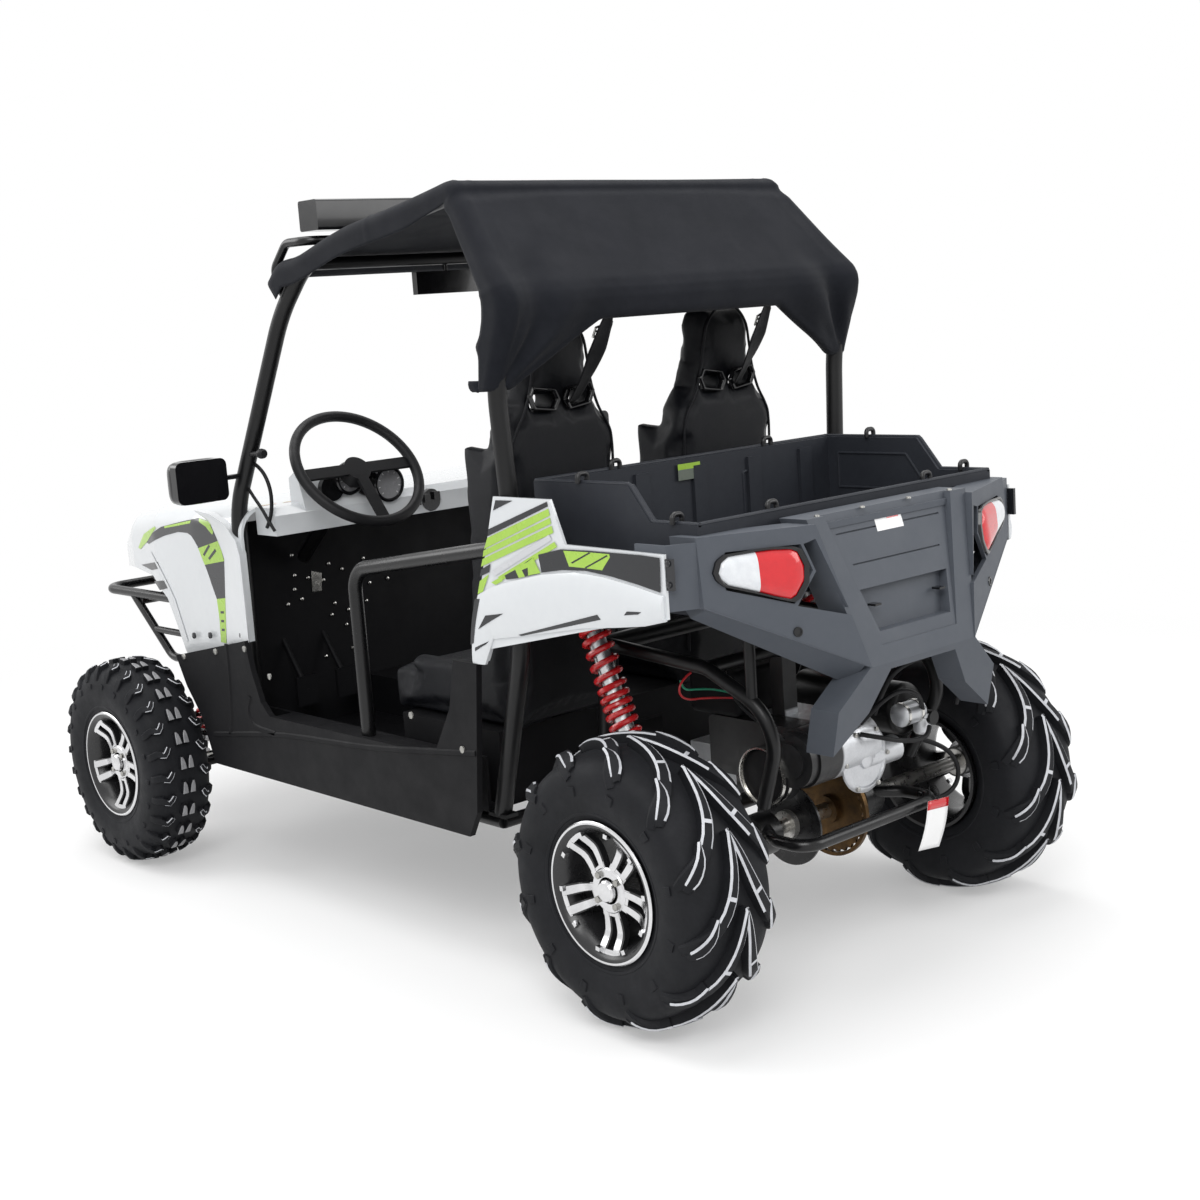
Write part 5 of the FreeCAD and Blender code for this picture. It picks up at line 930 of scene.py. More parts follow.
@dataclass
class Wheels:
    """The four wheels: each end's axle place, half track, tyre radius and half rim width."""

    front: "tuple[float, float, float, float]" = (1800.0, 583.0, 266.7, 76.0)
    rear: "tuple[float, float, float, float]" = (0.0, 489.0, 279.4, 102.0)

    def dress(self) -> None:
        """Dress each wheel in turn."""
        for side in Mirror:
            word = side.name.lower()
            for end, body, sizes in (("front_", "wheel_front_" + word, self.front),
                                     ("rear_", "rear_wheels", self.rear)):
                x, y, z, half = sizes
                centre = (x, side.value * y, z)
                Wheel(end + word, body, centre, sizes is self.rear).dress()
                Rim(end + word, body, centre, side, half).dress()


DARK, LIME, PALE, WHITE = 0, 1, 2, 3
GRAPHICS = (Finishes.decal_black, Finishes.decal_lime, Finishes.decal_pale, Finishes.white_gloss)


def between(first: Outline, second: Outline, rows: int = 3, parts: int = 4) -> np.ndarray:
    """Flat grid between two polylines, which keeps their corners.

    Both polylines are read at the same shares of their corner counts, each span in
    `parts`, and row k stands k / (rows - 1) of the way from the first to the second.

    Args:
        first: corners of one long edge.
        second: corners of the other.
        rows: rows from edge to edge.
        parts: columns in each span of the longer polyline.

    Returns:
        (rows, columns, 2) grid.
    """
    spans = max(len(first), len(second)) - 1
    share = np.linspace(0, 1, spans * parts + 1)
    edges = [np.stack([np.interp(share, np.linspace(0, 1, len(e)), np.array(e, float)[:, k])
                       for k in (0, 1)], axis=-1) for e in (first, second)]
    step = np.linspace(0, 1, rows)[:, None, None]
    return edges[0] * (1 - step) + edges[1] * step


@dataclass
class QuarterPanels:
    """Fender bulge, stripes and bolts of the two rear side panels."""

    face_y: float = 518.4
    lift: float = 0.6
    layer_lift: float = 0.12
    bracket: Outline = ((-166, 846), (-150, 902))
    bracket_y: "tuple[float, float]" = (509.0, 516.0)
    cap: Outline = ((0, 6), (3, 5.6), (4, 3), (4.2, POLE))

    ARCH = ((382, 798), (333, 818), (274, 833), (184, 852), (85, 863), (13, 860), (-56, 851), (-146, 836))
    FOOT = ((416, 655), (376, 657), (344, 712), (189, 738), (73, 759), (-15, 768), (-95, 778), (-146, 790))
    STRIPES = (
        (DARK, ((306, 989), (254, 990)), ((316, 968), (315, 969))),
        (DARK, ((335, 931), (153, 992)), ((339, 917), (151, 983))),
        (LIME, ((340, 914), (150, 979)), ((353, 891), (147, 966))),
        (LIME, ((355, 888), (147, 962)), ((359, 875), (145, 951))),
        (LIME, ((360, 871), (144, 947)), ((367, 855), (140, 934))),
        (PALE, ((338, 847), (153, 930)), ((326, 839), (146, 920))),
        (LIME, ((316, 838), (139, 917)), ((307, 831), (132, 908))),
        (DARK, ((366, 850), (336, 863)), ((373, 835), (342, 846))),
        (LIME, ((374, 826), (343, 842)), ((384, 799), (367, 805))),
        (LIME, ((338, 826), (296, 843)), ((325, 822), (303, 831))),
        (DARK, ((294, 843), (261, 856), (208, 882)), ((290, 835), (255, 840), (186, 854))),
        (LIME, ((262, 860), (237, 868), (221, 874), (204, 883)),
         ((251, 841), (228, 846), (212, 850), (185, 855))),
        (DARK, ((240, 857), (222, 863)), ((232, 845), (222, 848))),
        (DARK, ((188, 890), (122, 904), (45, 906), (-26, 906), (-94, 906), (-142, 904)),
         ((182, 856), (122, 865), (56, 868), (-15, 862), (-83, 852), (-139, 842))),
        (LIME, ((114, 902), (52, 903), (-12, 903), (-13, 897)),
         ((101, 873), (55, 873), (10, 872), (4, 879))),
        (DARK, ((95, 881), (43, 903)), ((91, 879), (38, 902))),
        (DARK, ((58, 874), (-5, 901)), ((53, 873), (-8, 899))))
    SLASHES = (
        ((389, 790), (373, 791), (399, 700), (410, 696)),
        ((354, 760), (296, 769), (334, 752), (380, 730)),
        ((262, 729), (24, 790), (17, 781), (254, 727)),
        ((397, 691), (353, 708), (362, 701), (399, 683)),
        ((-57, 803), (-95, 805), (-86, 800), (-48, 795)))

    def bulge(self, x: np.ndarray, z: np.ndarray) -> np.ndarray:
        """Distance of the fender out from the panel: a step at the arch line, then a low crown.

        With t from 0 on the arch line to 1 on the foot line, it is 3 + 7 sin(pi t) ** 0.7.
        """
        arch, foot = np.array(self.ARCH)[::-1], np.array(self.FOOT)[::-1]
        top, low = np.interp(x, arch[:, 0], arch[:, 1]), np.interp(x, foot[:, 0], foot[:, 1])
        t = np.clip((top - z) / np.maximum(top - low, 1), 0.0, 1.0)
        return 3 + 7 * np.sin(math.pi * t) ** 0.7

    def fender(self, shape: Shape, side: Mirror) -> None:
        """Bulged strip between the arch line and the foot line, closed to the panel all round."""
        flat = between(self.ARCH, self.FOOT, rows=15, parts=5)
        out = self.bulge(flat[..., 0], flat[..., 1])
        ring = np.stack([flat[..., 0], (self.face_y + out) * side.value, flat[..., 1]], axis=-1)
        shape.grid(ring, finish=WHITE)
        for edge in (ring[0], ring[-1], ring[:, 0], ring[:, -1]):
            base = edge.copy()
            base[:, 1] = (self.face_y - 3) * side.value
            shape.grid(np.stack([edge, base]), finish=WHITE)

    def dress(self) -> None:
        """Add the graphics of both sides."""
        for side in Mirror:
            shape = Shape()
            self.fender(shape, side)
            for layer, (kind, first, second) in enumerate(self.STRIPES):
                y = self.face_y + self.lift + self.layer_lift * layer
                shape.sheet(between(first, second), y * side.value, kind)
            for a, b, c, d in self.SLASHES:
                flat = between((a, b), (d, c), rows=5, parts=12)
                y = self.face_y + self.bulge(flat[..., 0], flat[..., 1]) + 0.7
                shape.sheet(flat, y * side.value)
            (x0, z0), (x1, z1) = self.bracket
            inner, outer = (side.value * y for y in self.bracket_y)
            shape.box((x0, inner, z0), (x1, outer, z1))
            for z in (z0 + 10, z1 - 8):
                shape.turned(np.array(self.cap) * [side.value, 1], 1, ((x0 + x1) / 2, outer, z), 12)
            shape.piece("quarter_graphics_" + side.name.lower(), GRAPHICS, crease=40, tidy=True)


@dataclass
class Cowl:
    """Side covers, stripes, vents and joint bolts of the nose."""

    rear_x: float = 1303.0
    length: float = 879.0
    half_width: float = 500.0
    low_z: float = 536.0
    height: float = 392.0
    corner: float = 60.0
    along_shares: "tuple[float, ...]" = (0, 0.28, 0.55, 0.78, 0.93, 1.0)
    half_shares: "tuple[float, ...]" = (1, 0.985, 0.95, 0.87, 0.77, 0.70)
    top_shares: "tuple[float, ...]" = (1, 0.995, 0.955, 0.88, 0.73, 0.52)
    bolts: Outline = ((1340, 622), (1500, 606), (1590, 596))
    cap: Outline = ((0, 8), (3.5, 8), (4.5, 6), (4.8, POLE))

    BAND = (((1860, 815), (1790, 845), (1736, 863), (1634, 880), (1524, 897), (1460, 891), (1436, 866),
             (1423, 847), (1408, 823), (1400, 800), (1400, 775), (1407, 741), (1418, 689), (1425, 640),
             (1432, 592)),
            ((1837, 811), (1772, 828), (1720, 841), (1634, 856), (1580, 857), (1558, 851), (1545, 841),
             (1530, 826), (1517, 804), (1506, 788), (1494, 769), (1478, 737), (1457, 697), (1456, 643),
             (1460, 592)))
    LIMES = (((1934, 794), (1873, 834), (1775, 862)), ((1919, 790), (1845, 818), (1768, 857)),
             ((1715, 866), (1640, 877), (1560, 889)), ((1713, 861), (1640, 871), (1562, 882)),
             ((1520, 896), (1462, 890), (1440, 868)), ((1516, 888), (1478, 878), (1446, 860)),
             ((1422, 846), (1408, 823), (1400, 798)), ((1527, 822), (1514, 800), (1502, 782)),
             ((1414, 706), (1420, 670), (1432, 592)), ((1458, 700), (1455, 650), (1460, 592)))
    NOTCHES = (((1505, 808), (1470, 835)), ((1498, 804), (1464, 830)),
               ((1480, 800), (1440, 826)), ((1473, 796), (1434, 820)),
               ((1428, 672), (1445, 671)), ((1429, 666), (1446, 665)),
               ((1432, 650), (1447, 649)), ((1432, 644), (1447, 643)),
               ((1434, 628), (1449, 627)), ((1434, 622), (1449, 621)))
    VENTS = (((1925, 748), (1781, 769)), ((1837, 742), (1767, 753)),
             ((1824, 714), (1736, 724)), ((1785, 694), (1723, 706)))
    CREASE = (((1822, 792), (1776, 762), (1725, 712), (1693, 676), (1675, 639), (1643, 575)),
              ((1834, 791), (1788, 760), (1737, 710), (1704, 675), (1686, 638), (1655, 574)))
    FLANGE = (((1507, 919), (1429, 913), (1360, 893), (1310, 855), (1297, 822), (1296, 700), (1297, 610)),
              ((1460, 892), (1436, 868), (1423, 849), (1408, 825), (1398, 804), (1416, 689), (1430, 592)))

    def side(self, x: np.ndarray, z: np.ndarray) -> np.ndarray:
        """Half width of the cowl at a place: flat below, a quarter round at the top.

        With c the corner's radius and d the height above the start of the round, the
        face moves in by c - sqrt(c ** 2 - d ** 2).
        """
        share = (x - self.rear_x) / self.length
        half = self.half_width * np.interp(share, self.along_shares, self.half_shares)
        top = self.low_z + self.height * np.interp(share, self.along_shares, self.top_shares)
        d = np.clip(z - (top - self.corner), 0, self.corner * 0.98)
        return half - (self.corner - np.sqrt(self.corner ** 2 - d ** 2))

    def lay(self, shape: Shape, first: Outline, second: Outline, side: Mirror, lift: float,
            kind: int) -> None:
        """Add a strip that follows the cowl's side at a small lift."""
        flat = between(first, second, rows=7, parts=5)
        shape.sheet(flat, (self.side(flat[..., 0], flat[..., 1]) + lift) * side.value, kind)

    def flange(self, shape: Shape, side: Mirror) -> None:
        """White cover over the pillar's foot: it rises from the cowl to a ridge and falls behind.

        Out from the cowl's side by 1 + 13 s (3 - 2 s) s, where s runs from the front
        edge to the rear one, with a rolled rear edge.
        """
        flat = between(*self.FLANGE, rows=13, parts=6)
        s = np.linspace(1, 0, 13)[:, None]
        x = np.minimum(flat[..., 0], self.rear_x + 300)
        low = self.side(np.maximum(x, self.rear_x), np.minimum(flat[..., 1], 880))
        y = low + 1 + 13 * s * s * (3 - 2 * s)
        grid = np.stack([flat[..., 0], y * side.value, flat[..., 1]], axis=-1)
        rolled = grid[:1] + np.array([2.0, -4.0 * side.value, 0.0])
        inner = grid[:1] + np.array([6.0, -22.0 * side.value, 0.0])
        shape.grid(np.concatenate([inner, rolled, grid]), finish=WHITE)
        foot = grid[:, -1:].copy()
        foot[..., 1] = (low[:, -1:] - 8) * side.value
        shape.grid(np.concatenate([grid[:, -1:], foot], axis=1), finish=WHITE)

    def dress(self) -> None:
        """Add the covers and graphics of both sides."""
        for side in Mirror:
            shape = Shape()
            self.flange(shape, side)
            self.lay(shape, *self.BAND, side, 0.7, DARK)
            for outlines, lift, kind in ((self.LIMES, 1.0, LIME), (self.NOTCHES, 1.3, DARK),
                                         (self.VENTS, 0.9, DARK), (self.CREASE, 1.6, WHITE)):
                for first, second in zip(outlines[::2], outlines[1::2]):
                    self.lay(shape, first, second, side, lift, kind)
            for x, z in self.bolts:
                y = self.side(np.array([x]), np.array([z]))[0] + 6
                shape.turned(np.array(self.cap) * [side.value, 1], 1, (x, y * side.value, z), 16)
            shape.piece("cowl_graphics_" + side.name.lower(), GRAPHICS, crease=40)


@dataclass
class Tail:
    """Lamps, label and small parts on the tail frame; the lamps lie in the wings' plane."""

    corner: Point = (-173.0, 460.0, 932.0)
    normal: Point = (-0.9345, 0.3476, 0.0815)
    dome: float = 9.0
    split_span: int = 3
    rim_reach: float = 62.0
    rim: Outline = ((-0.5, -6.0), (0.0, 4.0), (3.0, 5.5), (7.5, 4.5), (9.0, -4.0))
    drain: Outline = ((9.5, 0.2), (9, 2.4), (6.4, 2.4), (6, 0.6), (POLE, 0.6))
    drain_place: "tuple[float, float]" = (293.0, 742.0)
    screw: Outline = ((0, 5.5), (2.6, 5.0), (3.4, 3.2), (3.4, POLE))

    UPPER = ((428, 866), (421, 884), (407, 893), (356, 895), (325, 895), (290, 892), (278, 886),
             (268, 860))
    LOWER = ((428, 866), (424, 853), (412, 842), (356, 823), (325, 811), (300, 803), (289, 808),
             (268, 836))

    def wing(self, flat: np.ndarray, lift: "float | np.ndarray", side: Mirror) -> np.ndarray:
        """Points over the wing's plane: x solved from the plane, then moved along its normal."""
        cx, cy, cz = self.corner
        nx, ny, nz = self.normal
        y, z = flat[..., 0], flat[..., 1]
        x = cx - (ny * (y - cy) + nz * (z - cz)) / nx
        raised = np.stack([x, y, z], axis=-1) + np.asarray(lift)[..., None] * np.array(self.normal)
        raised[..., 1] *= side.value
        return raised

    def lamp(self, side: Mirror) -> None:
        """Domed two-colour lens in a black bezel.

        The lens is a grid between its upper and lower edge; its height is dome times
        1 - (2t - 1) ** 4 from edge to edge, times 1 - |2s - 1| ** 5 from end to end.
        """
        shape = Shape()
        flat = between(self.UPPER, self.LOWER, rows=15, parts=5)
        t = np.linspace(0, 1, 15)[:, None]
        along = np.linspace(0, 1, flat.shape[1])[None]
        dome = self.dome * (1 - (2 * t - 1) ** 4) * (1 - np.abs(2 * along - 1) ** 5)
        lens = self.wing(flat, 1.5 + dome, side)
        cut = self.split_span * 5
        shape.grid(lens[:, :cut + 1], finish=1).grid(lens[:, cut:], finish=2)
        spot = between(((424, 869), (412, 868)), ((424, 860), (410, 860)), rows=4, parts=4)
        shape.grid(self.wing(spot, 4.6, side), finish=2)
        upper, lower = flat[0], flat[-1][::-1]
        rim = np.concatenate([upper, lower[1:-1]])
        middle = rim.mean(axis=0)
        loop = evenly(np.concatenate([rim, rim[:1]]), 73)[:-1]
        band = np.stack([self.wing(middle + (loop - middle) * (1 + out / self.rim_reach), lift, side)
                         for out, lift in self.rim])
        shape.grid(band, True)
        finishes = (Finishes.gloss_black, Finishes.lamp_white, Finishes.lamp_red)
        made = shape.piece("tail_lamp_" + side.name.lower(), finishes, crease=40, tidy=True)
        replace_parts(made, "tail_lamps")

    def panel_x(self, z: np.ndarray) -> np.ndarray:
        """Face of the sunk panel: the plate's slope, set in by 2 mm low down and 16 mm at the top."""
        return -238 - (938 - z) * 0.248 + 2 + 14 * (z - 690) / 248

    def label(self) -> None:
        """Blank white label with a red corner, and its two edges."""
        shape = Shape()
        for kind, lift, first, second in ((0, 0.5, ((38, 920), (-42, 920)), ((38, 889), (-42, 889))),
                                          (1, 0.8, ((2, 917), (-33, 917)), ((2, 909), (-33, 909)))):
            flat = between(first, second)
            shape.face(self.panel_x(flat[..., 1]) - lift, flat, kind)
        shape.piece("tail_label", (Finishes.blank_card, Finishes.lamp_red))

    def hardware(self) -> None:
        """Drain plug in each wing, a tab in the recess and screws along the top edge."""
        shape = Shape()
        for side in Mirror:
            spot = self.wing(np.array([self.drain_place]), 0.0, side)[0]
            ring = np.linspace(0, FULL_TURN, 25)[:-1, None]
            turn = np.array([1, side.value, 1])
            normal = self.normal * turn
            first = unit(np.cross(self.normal, [0, 0, 1.0]) * turn)
            second = unit(np.cross(normal, first))
            shape.grid(np.stack([spot + r * (np.cos(ring) * first + np.sin(ring) * second) + up * normal
                                 for r, up in self.drain]), True)
        for y in (-98, 98):
            shape.box((-281, y - 9, 760), (-262, y + 9, 764))
        for y in (-200, -70, 70, 200):
            shape.turned(self.screw, 2, (-229, y, 938.2), 12, 1)
        shape.piece("tail_hardware", (Finishes.gloss_black, Finishes.bolt_steel), tidy=True)


@dataclass
class Bed:
    """Rim, embossed ribs and a blank label on the cargo bed."""

    inner_x: float = 266.0
    half: float = 438.0
    rim: Outline = ((284, 1017), (17, 1017), (-38, 950), (-158, 950))
    recess: Outline = ((236, 982), (46, 982), (-14, 905), (236, 905), (236, 982))
    bead: float = 4.5

    def dress(self) -> None:
        """Add the rim's bead, the recess frames of the side walls and the front wall's ribs."""
        shape = Shape()
        for side in Mirror:
            path = [(x, side.value * (self.half - 6), z + 1) for x, z in self.rim]
            shape.tube(evenly(path, 60), self.bead, 10)
            path = [(x, side.value * (self.half - 18), z) for x, z in self.recess]
            shape.tube(evenly(path, 120), 3.0, 8, ends=False)
        for y, turn in ((-136, -1), (190, 1)):
            path = ((self.inner_x, y + turn * 50, 972), (self.inner_x, y, 970), (self.inner_x, y, 850))
            shape.tube(evenly(path, 40), 3.6, 8)
        for x, z in ((280, 1018), (-154, 951)):
            shape.tube(evenly([(x, -self.half + 4, z), (x, self.half - 4, z)], 30), self.bead, 10)
        shape.piece("bed_trim", (Finishes.bed_dark,), tidy=True)
        card = Shape()
        for kind, z0, z1 in ((0, 1008, 996), (1, 996, 974)):
            card.face(self.inner_x - 6.2, between(((66, z0), (0, z0)), ((66, z1), (0, z1))), kind)
        card.piece("bed_label", (Finishes.decal_lime, Finishes.label_grey))


class Rear:
    """Everything on the tail and the bed."""

    def dress(self) -> None:
        """Dress the tail, then the bed."""
        tail = Tail()
        for side in Mirror:
            tail.lamp(side)
        tail.label()
        tail.hardware()
        Bed().dress()


@dataclass
class Canopy:
    """One curved cloth sheet from the front rail over the ridge and down to the rear opening.

    roof is its middle line as (x, z) places up to and just past the ridge, and face is
    the rear's as (z, x) places from the sleeves up.
    """

    roof: Outline = ((1126, 1455), (1080, 1490), (1000, 1502), (834, 1545), (640, 1577), (500, 1599),
                     (462, 1605), (440, 1605), (420, 1596), (390, 1562), (360, 1527))
    face: Outline = ((1200, 284), (1290, 250), (1335, 236), (1360, 233), (1378, 236), (1397, 246),
                     (1597, 420))
    roof_half: float = 478.0
    hoop_half: float = 526.0
    corner_share: float = 0.86
    corner: float = 26.0
    drop: float = 62.0
    ridge_drop: float = 42.0
    hem_z: float = 1333.0
    sleeve_z: float = 1212.0
    opening_half: float = 262.0
    hoop_y: float = 486.0
    hem_round: float = 15.0
    flat_width: float = 1.24
    seam_shares: "tuple[float, float]" = (0.86, 0.78)
    ridge_row: int = 46
    rear_rows: int = 64
    columns: int = 141

    def rounded(self, half: np.ndarray, t: np.ndarray, over: np.ndarray,
                drop: float) -> "tuple[np.ndarray, np.ndarray]":
        """Distance across and inwards of a section: flat, then a quarter round, then a drop.

        On the round of radius r, angle a = over * pi (up to a right angle) gives
        half - r + r sin a across and r (1 - cos a) in; past it the rest goes straight in.
        """
        flat = np.clip(np.abs(t) / self.corner_share, 0, 1)
        angle = np.clip(over * 2, 0, 1) * math.pi / 2
        across = (half - self.corner) * flat + self.corner * np.sin(angle)
        inward = self.corner * (1 - np.cos(angle)) + np.clip(over * 2 - 1, 0, 1) * (drop - self.corner)
        return np.sign(t) * across, inward

    def hem(self, y: np.ndarray) -> np.ndarray:
        """Height of the rear edge: level over the opening, then slanting down to the sleeves."""
        return np.interp(np.abs(y), [self.opening_half, self.hoop_y - 16], [self.hem_z, self.sleeve_z])

    def folds(self, y: np.ndarray, z: np.ndarray) -> np.ndarray:
        """Height of the cloth's folds on the rear face.

        Ridges fan out from each sleeve as sines of the angle about it, a wide and a fine
        set, each within a bell round its own distance; long low waves run over the hem.
        """
        dy, dz = self.hoop_y + 30 - np.abs(y), z - (self.sleeve_z - 30)
        angle, away = np.arctan2(dz, np.maximum(dy, 1)), np.hypot(dy, dz)
        fan = np.sin(9.0 * angle + 1.1 + 0.5 * np.sin(away / 60)) * np.exp(-((away - 170) / 110) ** 2)
        fine = np.sin(17.0 * angle + np.sign(y) * 0.8) * np.exp(-((away - 120) / 60) ** 2)
        broad = np.sin(y / 68 + z / 41) * smooth_step(self.hem_z + 160 - z, 0, 120)
        return 11.0 * fan + 5.0 * fine + 1.8 * broad

    def grid(self) -> np.ndarray:
        """Points of the sheet: the roof's rows, then the rear's."""
        t = np.linspace(-1, 1, self.columns)
        over = np.clip((np.abs(t) - self.corner_share) / (1 - self.corner_share), 0, 1)
        roof = evenly(spline(self.roof, 300), 90)
        split = int(np.argmax(roof[:, 1])) + 5
        top = roof[:split]
        slope = unit(np.gradient(roof, axis=0))[:split]
        inner = np.stack([slope[:, 1], -slope[:, 0]], axis=1)
        inner *= -np.sign(inner[:, 1:2])
        share = np.linspace(0, 1, split)[:, None]
        half = np.full((split, 1), self.roof_half)
        drop = np.interp(share, [0.75, 1.0], [self.drop, self.ridge_drop])
        across, inward = self.rounded(half, t[None], over[None], drop)
        inward = inward + 9 * np.sin(math.pi * share) * np.cos(t[None] * math.pi / 2) ** 0.5
        crown = 2.0 * np.sin(across / 90 + share * 7) * np.sin(math.pi * share)
        x = top[:, None, 0] + inner[:, None, 0] * inward
        z = top[:, None, 1] + inner[:, None, 1] * (inward - crown)
        upper = np.stack([x, across, z], axis=-1)
        return np.concatenate([upper, self.rear(upper[-1], t, over)])

    def rear(self, start: np.ndarray, t: np.ndarray, over: np.ndarray) -> np.ndarray:
        """Rows from the ridge down to the hem, which then rolls round the cross tube and hoops."""
        k = np.linspace(0, 1, self.rear_rows)[1:, None]
        half = self.roof_half + (self.hoop_half - self.roof_half) * np.clip(k / 0.52, 0, 1)
        drop = np.interp(k, [0.0, 0.5, 0.8, 1.0], [self.ridge_drop, self.drop, self.drop, self.ridge_drop])
        across, inward = self.rounded(half, t[None], over[None], drop)
        low = self.hem(across[-1])[None]
        middle = start[self.columns // 2]
        line_z = middle[2] + (low - middle[2]) * k
        face_x = np.interp(line_z, *np.array(self.face, float).T)
        tilt = np.interp(line_z, [1360.0, 1410.0], [0.15, 0.66])
        out = self.folds(across, line_z) * smooth_step(k, 0.25, 0.6) * (1 - over[None])
        belly = 6 * np.sin(math.pi * k) * np.cos(t[None] * math.pi / 2)
        gather = 8 * np.exp(-((line_z - 1285) / 14) ** 2) * over[None]
        x = face_x + inward * np.sqrt(1 - tilt ** 2) - out + belly + gather
        z = line_z - inward * tilt * (1 - k)
        blend = smooth_step(k, 0.0, 0.08)
        x = start[None, :, 0] + (x - start[None, :, 0]) * blend
        rows = np.stack([x, across, z], axis=-1)
        angle = np.linspace(0, 1.15 * math.pi, 9)[1:, None]
        x, y, z = rows[-1].T
        roll = [x + self.hem_round * (1 - np.cos(angle)), y + 0 * angle, z - self.hem_round * np.sin(angle)]
        return np.concatenate([rows, np.stack(roll, axis=-1)])

    def dress(self) -> None:
        """Make the sheet with its seams, and lay it on the cage."""
        points = self.grid()
        rows, cols = points.shape[:2]
        run = np.cumsum(np.linalg.norm(np.diff(points[:, cols // 2], axis=0), axis=1))
        run = np.concatenate([[0], run])
        t = np.linspace(-1, 1, cols)
        uv = np.stack(np.broadcast_arrays(t[None] * self.flat_width / 2, run[:, None] * MILLI), axis=-1)
        normal = unit(np.cross(np.gradient(points, axis=0), np.gradient(points, axis=1)))
        seam = np.zeros((rows, cols))
        for share in self.seam_shares:
            seam += np.exp(-((np.abs(t) - share) / 0.006) ** 2)[None] * 1.2
        seam += (np.exp(-((run - run[self.ridge_row]) / 5) ** 2) * 1.5)[:, None]
        normal *= np.sign(normal[self.ridge_row // 2, cols // 2, 2])
        shape = Shape().grid(points + normal * seam[..., None], uv=uv)
        cloth = shape.piece("canopy_cloth", (Finishes.canopy_cloth,), crease=60, tidy=True, thick=1.6)
        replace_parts(cloth, "canopy")


